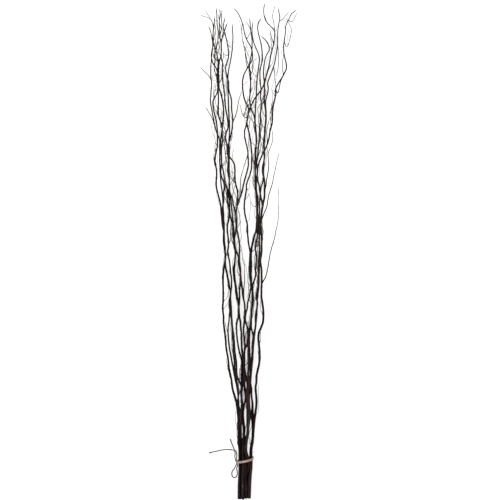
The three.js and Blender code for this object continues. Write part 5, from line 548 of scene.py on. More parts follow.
   [
    [-22.68, -81.4, 19.35, 0.85], [-24.83, -74.54, 20.93, 0.82], [-27.24, -67.76, 21.74, 0.79], [-30.13, -61.17, 21.46, 0.75], [-31.23, -54.08, 20.46, 0.72],
    [-31.53, -46.89, 19.52, 0.69],
   ],
  ],
  "willow_stem_02": [
   [
    [-29.78, -443.67, 6.17, 0.98], [-28.87, -434.3, 7.18, 0.94], [-25.92, -425.48, 6.91, 0.9], [-26.09, -415.89, 6.62, 0.86], [-28.89, -406.88, 6.47, 0.82],
    [-29.05, -397.28, 6.6, 0.79], [-29.22, -387.68, 7.07, 0.75], [-26.08, -378.7, 7.83, 0.71], [-25.95, -369.1, 8.76, 0.67], [-23.72, -359.98, 9.7, 0.63],
    [-23.1, -350.42, 10.48, 0.59], [-23.1, -340.82, 10.96, 0.56], [-23.1, -336.02, 11.08, 0.54],
   ],
   [
    [-55.68, -176.49, 6.12, 0.7], [-58.61, -167.48, 6.17, 0.66], [-59.03, -157.9, 7.51, 0.62], [-59.03, -148.3, 8.86, 0.58], [-59.03, -138.7, 10.07, 0.54],
    [-59.03, -129.1, 10.99, 0.5], [-59.03, -119.5, 11.58, 0.46], [-59.03, -109.9, 11.88, 0.42], [-59.03, -100.3, 12.01, 0.38],
   ],
   [
    [-87.07, 338.95, 7.61, 0.52], [-86.46, 348.17, 6.76, 0.5], [-88.3, 356.83, 5.9, 0.48], [-84.99, 365.65, 5.3, 0.45], [-83.34, 374.8, 5.04, 0.43],
    [-85.57, 383.96, 5.08, 0.41], [-84.9, 393.25, 5.31, 0.38], [-80.3, 401.62, 5.56, 0.36], [-79.93, 411.21, 5.66, 0.34], [-77.12, 420.21, 5.48, 0.34],
    [-76.96, 429.81, 4.96, 0.34],
   ],
   [
    [-101.54, 386.03, 2.7, 0.41], [-96.37, 393.92, 5.08, 0.35], [-92.28, 402.14, 6.02, 0.34], [-95.59, 410.95, 6.71, 0.34],
   ],
   [
    [-100.43, 381.67, 3.7, 0.44], [-104.13, 385.52, 3.52, 0.42], [-105.33, 391.44, 3.33, 0.41], [-110.12, 390.35, 3.15, 0.4], [-110.12, 384.05, 2.97, 0.38],
    [-110.12, 377.75, 2.78, 0.36], [-110.12, 371.45, 2.6, 0.35], [-110.12, 367.25, 2.48, 0.34],
   ],
  ],
  "willow_stem_11": [
   [
    [22.25, -60.07, 8.2, 0.98], [18.99, -51.37, 7.5, 0.94], [18.82, -41.77, 6.75, 0.9], [18.86, -32.17, 6.27, 0.86], [18.91, -22.58, 6.12, 0.82],
    [19.49, -13.04, 6.27, 0.79], [21.9, -4.17, 6.62, 0.75], [20.68, 5.16, 7, 0.71], [18.96, 14.48, 7.23, 0.67], [19.12, 24.08, 7.18, 0.63],
    [21.2, 33.24, 6.8, 0.59], [21.98, 42.73, 6.12, 0.56], [24.01, 47.08, 5.71, 0.54],
   ],
   [
    [9.62, -202.41, 13.92, 0.98], [13.06, -193.75, 11.92, 0.94], [15.11, -184.68, 11.15, 0.9], [16.03, -175.16, 10.69, 0.86], [15.99, -165.57, 10.44, 0.82],
    [18.72, -156.51, 10.25, 0.79], [18.97, -146.92, 9.92, 0.75], [21.85, -137.93, 9.34, 0.71], [21.89, -128.34, 8.42, 0.67], [21.93, -118.74, 7.2, 0.63],
    [24.81, -109.75, 5.78, 0.59], [24.94, -100.17, 4.33, 0.56], [27, -95.85, 3.65, 0.54],
   ],
   [
    [27.67, 284.75, 17.93, 0.98], [31.86, 293.15, 17.11, 0.94], [34.07, 302.39, 17.66, 0.9], [37.08, 311.37, 18.29, 0.86], [38.25, 320.68, 18.82, 0.82],
    [38.25, 329.54, 19.09, 0.79], [37.01, 338.95, 19.04, 0.75], [36.93, 348.54, 18.67, 0.71], [37.06, 358.14, 18.09, 0.67], [39.95, 367.15, 17.46, 0.63],
    [40.15, 376.74, 16.95, 0.59], [43.31, 385.61, 16.7, 0.56], [45.42, 389.92, 16.7, 0.54],
   ],
   [
    [34.87, 378.81, 21.66, 0.98], [31.38, 387.57, 24.05, 0.94], [31.01, 397.12, 24.94, 0.9], [30.97, 406.71, 25.63, 0.86], [30.93, 416.3, 26.29, 0.82],
    [28.69, 425.47, 27.08, 0.79], [29.42, 434.62, 28.15, 0.75], [35.35, 442.14, 29.55, 0.71], [39.14, 450.77, 31.25, 0.67], [44.45, 458.52, 33.13, 0.63],
    [46.04, 467.81, 35.03, 0.59], [46.04, 477.41, 36.77, 0.56], [46.04, 482.21, 37.54, 0.54],
   ],
   [
    [35.57, 383.25, 22.21, 0.46], [40.19, 391.48, 23.19, 0.44], [39.98, 401.07, 22.89, 0.42], [42.54, 409.89, 22.58, 0.4], [46.3, 418.53, 22.41, 0.39],
    [43.59, 427.53, 22.53, 0.37], [43.05, 437.07, 22.99, 0.35], [43.05, 446.67, 23.73, 0.34], [45.15, 455.78, 24.65, 0.34], [48.79, 464.66, 25.56, 0.34],
    [51.89, 473.42, 26.3, 0.34], [54.57, 482.33, 26.76, 0.34], [53.92, 486.96, 26.86, 0.34],
   ],
   [
    [28.45, 123.76, 16.69, 0.43], [30.98, 132.71, 15.73, 0.39], [30.81, 142.31, 16.26, 0.36], [30.85, 151.9, 17.01, 0.34], [30.9, 161.5, 17.84, 0.34],
    [30.94, 171.09, 18.57, 0.34], [27.85, 179.47, 19.05, 0.34],
   ],
   [
    [35.66, 531.21, 27.18, 0.4], [34.07, 540.5, 26.44, 0.37], [34.07, 550.1, 25.29, 0.35], [37.04, 559.13, 24.35, 0.34], [39.97, 568.13, 23.72, 0.34],
    [39.63, 577.72, 23.43, 0.34], [39.93, 587.31, 23.38, 0.34], [40.01, 596.9, 23.45, 0.34],
   ],
   [
    [22.12, 11.72, 17.04, 0.56], [24.79, 20.44, 17.14, 0.43], [21.8, 29.25, 16.79, 0.34],
   ],
   [
    [36.73, 396.68, 23.34, 0.4], [34.08, 405.21, 22.84, 0.37], [33.99, 414.8, 22.58, 0.34], [36.95, 423.75, 22.61, 0.34], [37.28, 433.1, 22.98, 0.34],
    [41.3, 441.08, 23.62, 0.34], [46.01, 446.5, 24.2, 0.34],
   ],
   [
    [46.04, 482.21, 37.54, 0.44], [45.86, 487.94, 38.67, 0.43], [49.77, 491.86, 39.8, 0.41], [51.55, 488.05, 40.93, 0.4], [45.76, 489.77, 42.06, 0.39],
    [50.12, 492.01, 43.19, 0.37], [51.94, 486.76, 44.32, 0.36], [53.15, 480.84, 45.45, 0.34], [54.76, 479.49, 45.83, 0.34],
   ],
   [
    [30.97, 664.48, 28.32, 0.44], [28, 668.39, 29.32, 0.42], [28, 674.64, 30.33, 0.41], [28, 680.9, 31.33, 0.39], [28.71, 686.96, 32.34, 0.37],
    [31.31, 692.54, 33.34, 0.36], [33.66, 697.94, 34.35, 0.34],
   ],
   [
    [51.89, 473.42, 26.3, 0.44], [51.89, 469.22, 27.82, 0.43], [51.89, 473.42, 29.34, 0.41], [51.89, 469.22, 30.87, 0.4], [51.89, 473.42, 32.39, 0.39],
    [51.89, 469.22, 33.91, 0.37], [51.89, 473.42, 35.43, 0.36], [51.89, 469.22, 36.95, 0.34], [53.71, 470.27, 37.46, 0.34],
   ],
   [
    [45.42, 389.92, 16.7, 0.44], [45.96, 396.15, 16.82, 0.41], [45.96, 402.45, 16.94, 0.37], [45.96, 408.75, 17.06, 0.34],
   ],
   [
    [39.79, 443.04, 22.76, 0.52], [39.18, 448.4, 19.65, 0.48], [40.04, 453.72, 17.79, 0.45], [38.89, 458.93, 17.27, 0.42], [37.18, 464.03, 16.96, 0.38],
   ],
   [
    [43.95, 446.41, 22.42, 0.52], [39, 447.82, 25.16, 0.5], [35.42, 443.9, 27.06, 0.47], [31.94, 439.77, 27.68, 0.45], [31.6, 434.73, 27.19, 0.42],
    [35.77, 431.34, 26.3, 0.4], [38.37, 428.84, 25.93, 0.38],
   ],
   [
    [37.32, 463.73, 20.3, 0.52], [37, 469.05, 19.85, 0.48], [37.17, 474.35, 21.05, 0.45], [38.8, 479.47, 24.03, 0.42], [37.39, 484.65, 27.29, 0.38],
   ],
   [
    [36.89, 404.3, 23.71, 0.72], [37.47, 411.47, 23.39, 0.7], [38.1, 418.64, 23.17, 0.69], [37.7, 425.82, 23.14, 0.67], [37.64, 433.01, 23.34, 0.66],
    [39.12, 440.05, 23.81, 0.64], [40.87, 447.03, 24.52, 0.63], [41.6, 454.19, 25.43, 0.61], [42.45, 461.33, 26.44, 0.6], [44.78, 468.13, 27.47, 0.58],
    [47.6, 474.76, 28.41, 0.57], [48.34, 477.04, 28.68, 0.56],
   ],
   [
    [34.11, 356.72, 19.22, 0.72], [36.37, 363.53, 21.03, 0.7], [39.38, 370.06, 22.82, 0.68], [39.72, 377.22, 24.58, 0.67], [40.36, 384.37, 26.31, 0.65],
    [41.24, 391.48, 28, 0.63], [39.39, 398.42, 29.66, 0.61], [38.36, 405.53, 31.3, 0.6], [36.96, 412.54, 32.94, 0.58], [33.18, 418.67, 34.6, 0.56],
   ],
   [
    [37.08, 413.29, 24.14, 0.72], [38.28, 420.39, 24.62, 0.7], [38.1, 427.56, 24.94, 0.68], [36.88, 434.65, 24.98, 0.66], [37.79, 441.75, 24.69, 0.64],
    [40.31, 448.49, 24.13, 0.62], [41.37, 455.59, 23.4, 0.59], [41.55, 462.78, 22.66, 0.57], [42.83, 467.4, 22.25, 0.56],
   ],
   [
    [34.22, 374.62, 21.14, 0.72], [28.49, 378.96, 21.59, 0.71], [23.56, 384.21, 21.97, 0.69], [18.37, 389.19, 22.25, 0.68], [13.17, 394.16, 22.38, 0.67],
    [9.1, 400.09, 22.34, 0.65], [5.73, 406.45, 22.12, 0.64], [1.89, 412.54, 21.74, 0.63], [-1.6, 418.82, 21.23, 0.61], [-3.64, 425.72, 20.65, 0.6],
    [-5.31, 432.72, 20.03, 0.59], [-7.51, 439.58, 19.45, 0.57], [-8.88, 446.63, 18.96, 0.56],
   ],
   [
    [23.26, 20.61, 16.42, 0.85], [21.71, 27.63, 14.55, 0.81], [22.34, 34.77, 14.5, 0.78], [25.14, 41.39, 16.64, 0.74], [28.52, 47.74, 19.6, 0.7],
    [29.71, 49.83, 20.41, 0.69],
   ],
   [
    [24.32, -8.7, 12.74, 0.85], [25.17, -1.57, 14.94, 0.82], [27.51, 5.24, 15.97, 0.78], [28.64, 12.3, 15.46, 0.75], [26.21, 19.01, 14.13, 0.71],
    [23.47, 22.95, 13.4, 0.69],
   ],
   [
    [13.76, -156.02, 11.08, 0.85], [8.12, -151.54, 12.74, 0.82], [3.96, -145.78, 14, 0.8], [2.92, -138.67, 14.63, 0.77], [1.39, -131.65, 14.68, 0.74],
    [-0.25, -124.67, 14.43, 0.72], [1.71, -117.82, 14.31, 0.69],
   ],
  ],
  "willow_stem_07": [
   [
    [-38.59, -8.95, 6.86, 0.98], [-40.95, 0.17, 7.22, 0.94], [-40.99, 9.76, 7.82, 0.9], [-43.99, 18.69, 8.2, 0.86], [-45.49, 27.96, 8.25, 0.82],
    [-48.98, 36.72, 7.98, 0.79], [-51.27, 45.27, 7.48, 0.75], [-51.05, 54.59, 6.91, 0.71], [-51.48, 63.51, 6.44, 0.67], [-50.36, 72.96, 6.22, 0.63],
    [-52.77, 82.09, 6.32, 0.59], [-53.02, 91.68, 6.74, 0.56], [-52.93, 96.48, 7.04, 0.54],
   ],
   [
    [-17.77, -457.23, 5.04, 0.82], [-24.85, -451.78, 2.98, 0.76], [-22.19, -442.6, 2.04, 0.7], [-17.22, -434.82, 1.5, 0.64], [-14.37, -425.72, 1.5, 0.57],
    [-13.93, -416.14, 1.5, 0.51], [-13.91, -406.54, 1.5, 0.45],
   ],
   [
    [-56.92, 309.48, 8.7, 0.68], [-52.92, 317.68, 9.61, 0.62], [-52.76, 327.28, 9.7, 0.56], [-50.35, 336.41, 9.92, 0.5], [-50.1, 346, 10.4, 0.44],
    [-50.27, 355.6, 11.21, 0.39], [-50.31, 358, 11.46, 0.37],
   ],
   [
    [-46.24, 94.14, 3.62, 0.51], [-44.04, 103.2, 3.61, 0.47], [-40.92, 112.1, 3.8, 0.42], [-44.19, 120.95, 4.3, 0.38], [-44.02, 130.53, 5.12, 0.34],
    [-43.86, 140.12, 6.23, 0.34],
   ],
   [
    [-14.5, -560.24, 10.24, 0.57], [-16.86, -551.12, 10.82, 0.47], [-16.9, -541.53, 10.42, 0.36], [-17.03, -536.73, 10.24, 0.34],
   ],
   [
    [-11.39, -533.46, 10.1, 0.4], [-6.16, -525.67, 10.32, 0.38], [-0.28, -518.4, 9.43, 0.35], [2.39, -509.22, 8.58, 0.34], [4.3, -499.88, 7.93, 0.34],
    [3.92, -490.32, 7.58, 0.34], [3.84, -480.73, 7.57, 0.34], [3.96, -471.13, 7.82, 0.34], [4.09, -461.54, 8.18, 0.34],
   ],
   [
    [-61.15, 493.85, 11.56, 0.47], [-68.22, 499.3, 13.7, 0.38], [-74.23, 506.75, 14.48, 0.34], [-75.86, 508.52, 14.66, 0.34],
   ],
   [
    [-17.77, -457.23, 5.04, 0.57], [-14.04, -448.57, 4.31, 0.5], [-14.04, -438.97, 5.02, 0.43], [-14.04, -429.37, 5.82, 0.36], [-14.04, -422.17, 6.39, 0.34],
   ],
   [
    [-61.26, 520.81, 9.63, 0.44], [-58.85, 515.27, 10.71, 0.43], [-57.07, 519.08, 11.79, 0.41], [-58.85, 515.27, 12.87, 0.4], [-57.07, 519.08, 13.95, 0.39],
    [-58.85, 515.27, 15.03, 0.37], [-57.07, 519.08, 16.11, 0.36], [-58.85, 515.27, 17.19, 0.34], [-56.76, 515.46, 17.55, 0.34],
   ],
  ],
  "willow_stem_04": [
   [
    [-77.98, 257.84, 39.69, 0.98], [-70.37, 263.68, 39.98, 0.94], [-65.14, 271.14, 39.17, 0.9], [-67.37, 280.27, 38.03, 0.86], [-67.99, 289.82, 36.65, 0.82],
    [-66.94, 299.18, 35.17, 0.79], [-64.36, 308.33, 33.77, 0.75], [-65.07, 317.83, 32.6, 0.71], [-69.43, 325.62, 31.76, 0.67], [-73.97, 332.7, 31.24, 0.63],
    [-71.1, 341.69, 30.95, 0.59], [-71.08, 351.28, 30.73, 0.56], [-72.42, 355.76, 30.6, 0.54],
   ],
   [
    [-58.51, 98.3, 31.91, 0.98], [-60.11, 106.56, 32, 0.94], [-59.12, 116.03, 32.74, 0.9], [-59.41, 125.62, 33.32, 0.86], [-61.94, 134.77, 33.62, 0.82],
    [-62.11, 144.37, 33.58, 0.79], [-62.28, 153.97, 33.25, 0.75], [-65.13, 163.02, 32.76, 0.71], [-65.51, 172.57, 32.28, 0.67], [-67.93, 181.76, 31.98, 0.63],
    [-68.05, 191.35, 31.97, 0.59], [-65.87, 200.44, 32.3, 0.56], [-64.84, 205.1, 32.57, 0.54],
   ],
   [
    [-59.06, 22.39, 26.06, 0.98], [-55.09, 31.12, 25.2, 0.94], [-52.35, 40.22, 24.92, 0.9], [-53.01, 49.67, 24.98, 0.86], [-53.68, 59.25, 25.35, 0.82],
    [-52.93, 68.78, 25.94, 0.79], [-52.04, 78.15, 26.59, 0.75], [-45.65, 85.31, 27.12, 0.71], [-41.74, 93.99, 27.4, 0.67], [-41.19, 103.55, 27.35, 0.63],
    [-43.5, 112.8, 26.99, 0.59], [-41.28, 122.03, 26.42, 0.56], [-43.19, 126.43, 26.11, 0.54],
   ],
   [
    [-87.09, 404.39, 48.88, 0.83], [-90.89, 413.14, 49.13, 0.79], [-92.01, 422.58, 48.22, 0.76], [-92.05, 432.18, 47.35, 0.73], [-95.98, 440.53, 46.66, 0.7],
    [-97.87, 449.57, 46.27, 0.66], [-98.76, 458.94, 46.22, 0.63], [-101.1, 467.99, 46.44, 0.6], [-102.38, 477.26, 46.78, 0.57], [-103.53, 486.38, 47.08, 0.53],
    [-100.87, 495.52, 47.17, 0.5], [-101.03, 505.1, 46.96, 0.47], [-103.21, 509.38, 46.72, 0.45],
   ],
   [
    [-92.44, 583.75, 60.85, 0.55], [-88.49, 591.52, 60.79, 0.53], [-89.99, 601, 62.24, 0.5], [-93.66, 609.54, 63.88, 0.48], [-95.07, 618.67, 65.56, 0.46],
    [-96.08, 628, 67.09, 0.44], [-97.94, 637.16, 68.36, 0.42], [-98.11, 646.76, 69.28, 0.4], [-95.11, 655.68, 69.92, 0.38], [-97.91, 664.69, 70.36, 0.35],
    [-98.34, 674.09, 70.8, 0.34], [-98.09, 683.68, 71.39, 0.34], [-96.72, 688.15, 71.79, 0.34],
   ],
   [
    [-50.18, -89.08, 21.31, 0.4], [-52.24, -80.01, 22.59, 0.38], [-52.94, -70.48, 22.73, 0.36], [-55.85, -61.58, 22.91, 0.34], [-56.02, -51.99, 23.28, 0.34],
    [-54.08, -42.84, 23.95, 0.34], [-55.28, -33.98, 24.96, 0.34], [-55.99, -24.46, 26.23, 0.34], [-58.25, -15.38, 27.63, 0.34], [-63.85, -7.67, 28.98, 0.34],
    [-65.03, -0.73, 29.85, 0.34],
   ],
   [
    [-39.53, -304.19, 18.96, 0.4], [-38.05, -294.85, 18.97, 0.38], [-40.26, -285.81, 18.98, 0.37], [-41.13, -276.3, 18.72, 0.35], [-41.05, -266.71, 18.14, 0.34],
    [-40.97, -257.12, 17.25, 0.34], [-41.09, -247.53, 16.17, 0.34], [-43.51, -238.49, 15.08, 0.34], [-48.02, -230.02, 14.13, 0.34], [-52.34, -221.45, 13.48, 0.34],
    [-52.96, -211.89, 13.15, 0.34], [-52.96, -204.69, 13.1, 0.34],
   ],
   [
    [-59.06, 22.39, 26.06, 0.4], [-62.19, 30.96, 27.35, 0.38], [-61.52, 40.53, 27.27, 0.37], [-60.85, 50.11, 26.91, 0.35], [-62.14, 59.62, 26.38, 0.34],
    [-61.98, 69.21, 25.86, 0.34], [-65.25, 78.06, 25.52, 0.34], [-64.7, 87.61, 25.48, 0.34], [-61.97, 96.56, 25.77, 0.34], [-61.51, 106.14, 26.34, 0.34],
    [-62.09, 115.71, 27.05, 0.34], [-62.05, 125.31, 27.73, 0.34],
   ],
   [
    [-91.73, 521.09, 55.77, 0.76], [-98.86, 527.46, 56.3, 0.62], [-103.53, 535.36, 56.02, 0.48], [-104.07, 540.13, 55.93, 0.42],
   ],
   [
    [-103.22, 628.31, 62.97, 0.4], [-100.95, 637.39, 63.86, 0.35], [-101, 646.98, 65.14, 0.34], [-99.24, 656.25, 66.22, 0.34], [-98.07, 663.19, 66.82, 0.34],
   ],
   [
    [-98.09, 683.68, 71.39, 0.44], [-94.96, 689.09, 70.11, 0.43], [-98.4, 691.5, 68.83, 0.41], [-94.96, 689.09, 67.55, 0.4], [-98.4, 691.5, 66.27, 0.39],
    [-94.96, 689.09, 64.99, 0.37], [-98.4, 691.5, 63.71, 0.36], [-94.96, 689.09, 62.43, 0.34], [-94.78, 691.19, 62.01, 0.34],
   ],
   [
    [-103.21, 509.38, 46.72, 0.44], [-105.85, 515.05, 48.2, 0.41], [-106.04, 520.78, 49.69, 0.39], [-107.12, 526.93, 51.17, 0.36], [-106.94, 531.09, 52.16, 0.34],
   ],
   [
    [-75.9, 249.08, 40.1, 0.44], [-74.08, 243.83, 40.96, 0.42], [-74.08, 237.53, 41.83, 0.41], [-74.08, 231.23, 42.69, 0.39], [-70.95, 225.82, 43.55, 0.37],
    [-70.25, 219.75, 44.42, 0.36], [-67.83, 214.15, 45.28, 0.34],
   ],
   [
    [-99.99, 609.6, 61.77, 0.52], [-101.92, 614.54, 62.3, 0.5], [-103.65, 619.52, 63.15, 0.48], [-102.72, 624.83, 64.55, 0.45], [-104.71, 629.79, 66.49, 0.43],
    [-105.08, 635.03, 68.75, 0.41], [-103.95, 640.25, 71, 0.39], [-104.41, 641.99, 71.69, 0.38],
   ],
   [
    [-98.44, 594.09, 60.64, 0.52], [-98.23, 599.46, 62.46, 0.5], [-98.12, 604.85, 64.04, 0.47], [-97.69, 610.19, 65.25, 0.45], [-95.13, 614.94, 66.15, 0.42],
    [-93.11, 619.94, 66.94, 0.4], [-91.42, 623.11, 67.53, 0.38],
   ],
   [
    [-101.05, 582.4, 59.99, 0.52], [-99.06, 587.37, 57.43, 0.49], [-97.8, 592.49, 55.8, 0.47], [-100.07, 597.37, 55.56, 0.44], [-101.08, 602.66, 56.39, 0.42],
    [-103.88, 607.08, 57.41, 0.39], [-105.48, 607.9, 57.62, 0.38],
   ],
   [
    [-101.62, 618.42, 62.3, 0.52], [-99.14, 623.17, 62.16, 0.49], [-97.29, 628.12, 61.05, 0.46], [-98.53, 633.37, 58.68, 0.43], [-98.14, 638.73, 55.63, 0.4],
    [-98.62, 642.27, 53.74, 0.38],
   ],
   [
    [-89.2, 477.49, 53.04, 0.52], [-88.42, 482.82, 53.53, 0.49], [-90.06, 487.89, 53.22, 0.47], [-91.05, 493.08, 51.73, 0.44], [-89.95, 498.35, 49.32, 0.42],
    [-91.64, 503.45, 46.74, 0.39], [-92.05, 505.2, 45.99, 0.38],
   ],
   [
    [-88.46, 424.34, 51.39, 0.52], [-88.54, 429.74, 51.8, 0.48], [-89.7, 435.01, 50.24, 0.45], [-89.74, 440.38, 46.53, 0.42], [-89.29, 445.75, 42.5, 0.38],
   ],
   [
    [-89.03, 465.68, 55.21, 0.52], [-89.39, 471.06, 55.36, 0.48], [-91.2, 476.1, 53.44, 0.44], [-92.33, 481.29, 49.62, 0.41], [-91.44, 484.77, 47.08, 0.38],
   ],
   [
    [-103.53, 630.24, 63.11, 0.72], [-101.62, 637.09, 64.52, 0.7], [-100.67, 644.19, 65.9, 0.67], [-97.92, 650.84, 67.19, 0.65], [-98.2, 657.98, 68.4, 0.62],
    [-97.78, 665.11, 69.55, 0.6], [-96.81, 672.19, 70.7, 0.58], [-98.14, 676.8, 71.47, 0.56],
   ],
   [
    [-91.18, 515.39, 54.17, 0.72], [-93.55, 522.15, 56.33, 0.71], [-96.96, 528.47, 58.43, 0.69], [-97.68, 535.61, 60.4, 0.68], [-99.27, 542.6, 62.22, 0.66],
    [-100.92, 549.55, 63.85, 0.65], [-99.99, 556.69, 65.29, 0.64], [-100.72, 563.83, 66.58, 0.62], [-100.31, 570.95, 67.75, 0.61], [-98.12, 577.8, 68.87, 0.59],
    [-97.74, 584.98, 69.99, 0.58], [-95.24, 591.66, 71.18, 0.56], [-93.99, 593.71, 71.6, 0.56],
   ],
   [
    [-87.83, 406.67, 48.63, 0.72], [-92.01, 412.4, 46.5, 0.7], [-93.28, 419.48, 44.51, 0.68], [-96.49, 425.84, 42.76, 0.65], [-101.05, 431.4, 41.28, 0.63],
    [-102.36, 438.37, 40.01, 0.61], [-101.88, 445.55, 38.84, 0.59], [-104.27, 452.29, 37.65, 0.57], [-105.36, 454.42, 37.22, 0.56],
   ],
   [
    [-85.05, 398.16, 49.57, 0.72], [-81.91, 404.5, 48.66, 0.69], [-80.86, 411.62, 47.68, 0.67], [-79.03, 418.58, 46.59, 0.64], [-79.86, 425.59, 45.39, 0.62],
    [-85.46, 429.91, 44.12, 0.59], [-92.23, 432.35, 42.85, 0.57], [-94.4, 433.37, 42.44, 0.56],
   ],
   [
    [-62.47, 164.39, 33, 0.85], [-63.17, 171.55, 32.17, 0.83], [-66.21, 178.05, 31.26, 0.82], [-69.02, 184.63, 30.18, 0.8], [-68.9, 191.81, 28.89, 0.78],
    [-69.17, 198.97, 27.37, 0.77], [-71.66, 205.72, 25.65, 0.75], [-72.55, 212.8, 23.8, 0.73], [-70.98, 219.82, 21.9, 0.72], [-71.04, 226.97, 20.03, 0.7],
    [-72.15, 231.64, 18.85, 0.69],
   ],
   [
    [-58.81, -12.41, 23.81, 0.85], [-64.54, -8.1, 25.49, 0.81], [-70.65, -4.32, 24.81, 0.76], [-74.61, 1.61, 21.96, 0.72], [-76.04, 6.19, 20.07, 0.69],
   ],
   [
    [-59.76, 16.6, 24.73, 0.85], [-58.74, 23.71, 25.52, 0.81], [-56.84, 30.66, 26.03, 0.78], [-57.28, 37.77, 26.19, 0.74], [-60.14, 44.38, 26.22, 0.7],
    [-61.02, 46.61, 26.26, 0.69],
   ],
   [
    [-78.78, 261.16, 39.54, 0.85], [-74.23, 266.72, 36.15, 0.81], [-69.25, 271.91, 34.08, 0.78], [-66.64, 278.54, 33.62, 0.74], [-66.99, 285.72, 33.76, 0.7],
    [-67.22, 288.1, 33.67, 0.69],
   ],
   [
    [-23.46, -395.55, 30, 0.85], [-25.2, -388.57, 30, 0.83], [-25.28, -381.38, 30.18, 0.82], [-26.03, -374.22, 30.68, 0.8], [-26.18, -367.05, 31.57, 0.78],
    [-25.24, -359.92, 32.9, 0.77], [-25.21, -352.72, 34.6, 0.75], [-23.67, -345.7, 36.56, 0.73], [-22.15, -338.68, 38.62, 0.72], [-20.83, -331.61, 40.61, 0.7],
    [-18.94, -327.2, 41.82, 0.69],
   ],
   [
    [-53.63, -53.68, 23.02, 0.85], [-52.9, -46.51, 23.63, 0.83], [-53.95, -39.42, 24.01, 0.81], [-55.05, -32.33, 23.97, 0.79], [-54.74, -25.14, 23.45, 0.77],
    [-56.35, -18.14, 22.52, 0.75], [-57.67, -11.09, 21.34, 0.72], [-57.81, -3.9, 20.16, 0.7], [-59.08, 0.72, 19.49, 0.69],
   ],
  ],
  "willow_stem_13": [
   [
    [22.55, 185.77, 11.36, 0.98], [17.52, 193.46, 11.45, 0.94], [15.95, 202.88, 10.1, 0.9], [15.82, 212.47, 8.63, 0.86], [15.9, 222.06, 7.22, 0.82],
    [15.99, 231.65, 6.03, 0.79], [16.07, 241.24, 5.15, 0.75], [16.57, 250.83, 4.6, 0.71], [16.03, 260.41, 4.3, 0.67], [15.9, 270, 4.09, 0.63],
    [15.78, 279.59, 3.81, 0.59], [15.86, 289.18, 3.29, 0.56], [16.11, 293.98, 2.92, 0.54],
   ],
   [
    [21.85, 370.06, 11.33, 0.75], [15.97, 377.32, 11.28, 0.72], [15.97, 386.92, 10.84, 0.69], [12.99, 395.95, 10.08, 0.66], [10.6, 405.04, 9, 0.63],
    [9.8, 414.58, 7.67, 0.6], [6.49, 423.4, 6.23, 0.57], [3.69, 432.4, 4.86, 0.54], [2.9, 441.73, 3.71, 0.51], [-1.7, 449.55, 2.89, 0.48],
    [-2.07, 459.13, 2.38, 0.45], [-2.03, 468.73, 2.12, 0.43], [-2.11, 473.53, 2.03, 0.41],
   ],
   [
    [25.51, 100.4, 4.76, 0.52], [19.79, 108.06, 4.4, 0.5], [18.97, 117.48, 4.85, 0.47], [19.23, 127.06, 5.19, 0.45], [21.96, 136.01, 5.27, 0.42],
    [22, 145.6, 5.02, 0.4], [21.83, 155.2, 4.46, 0.37], [19.76, 164.36, 3.7, 0.35], [18.89, 173.9, 2.91, 0.34], [19.05, 183.5, 2.25, 0.34],
    [19.1, 185.9, 2.12, 0.34],
   ],
   [
    [21.55, 199.23, 8.81, 0.49], [13.69, 204.42, 10.93, 0.42], [12.9, 213.96, 12.22, 0.36], [12.73, 223.56, 13.19, 0.34], [12.69, 225.96, 13.38, 0.34],
   ],
   [
    [23.99, 464.45, 5.7, 0.44], [19.43, 467.21, 3.89, 0.41], [17.68, 461.36, 2.09, 0.39], [16.06, 455.32, 1.5, 0.36], [19.13, 452.51, 1.5, 0.34],
   ],
   [
    [15.9, 270, 4.09, 0.44], [18.98, 264.67, 4.21, 0.42], [18.98, 258.37, 4.34, 0.4], [18.98, 252.07, 4.46, 0.39], [18.98, 245.77, 4.59, 0.37],
    [18.98, 239.47, 4.71, 0.35], [18.98, 235.27, 4.79, 0.34],
   ],
   [
    [23.59, 316.14, 6.03, 0.44], [19.06, 314.23, 4.92, 0.42], [20.68, 308.19, 3.81, 0.4], [21.75, 302.13, 2.71, 0.38], [18.22, 297.09, 1.6, 0.35],
    [14.24, 296.56, 1.5, 0.34],
   ],
   [
    [23.16, 304.76, 6.89, 0.52], [22.5, 310.06, 9.73, 0.5], [22.22, 315.44, 12.26, 0.48], [22.79, 320.72, 14.26, 0.47], [26.37, 324.73, 15.64, 0.45],
    [29.78, 328.91, 16.49, 0.43], [34.27, 331.7, 17.02, 0.41], [39.66, 331.86, 17.55, 0.39], [43.23, 332.36, 18.05, 0.38],
   ],
   [
    [21.86, 432.57, 4.72, 0.52], [18.59, 436.84, 4.04, 0.5], [17.51, 442.1, 3.46, 0.48], [16.47, 447.39, 3.05, 0.47], [16.05, 452.73, 2.83, 0.45],
    [17.88, 457.8, 2.79, 0.43], [19.36, 463, 2.85, 0.41], [22.01, 467.63, 2.91, 0.39], [24.76, 469.96, 2.91, 0.38],
   ],
   [
    [22.5, 358.14, 9.9, 0.72], [19.5, 364.68, 11.25, 0.69], [18.87, 371.82, 12.46, 0.67], [18.05, 378.95, 13.42, 0.64], [16.93, 386.04, 14.13, 0.62],
    [18.28, 393.1, 14.71, 0.59], [18.73, 400.27, 15.28, 0.57], [18.76, 402.67, 15.5, 0.56],
   ],
   [
    [27.77, 528.13, 10.26, 0.72], [21.82, 532.14, 9.02, 0.7], [16.41, 536.75, 7.74, 0.69], [14.53, 543.66, 6.41, 0.67], [12.23, 550.46, 5, 0.66],
    [10.18, 557.29, 3.52, 0.64], [12.42, 564.07, 1.96, 0.62], [14.71, 570.87, 1.5, 0.61], [16.76, 577.72, 1.5, 0.59], [22.31, 582.17, 1.5, 0.58],
    [28.26, 586.19, 1.5, 0.56],
   ],
   [
    [10.28, 0.48, 7.71, 0.85], [15.57, 5.34, 8.69, 0.83], [20.62, 10.47, 9.63, 0.81], [24.99, 16.17, 10.47, 0.78], [27.59, 22.87, 11.21, 0.76],
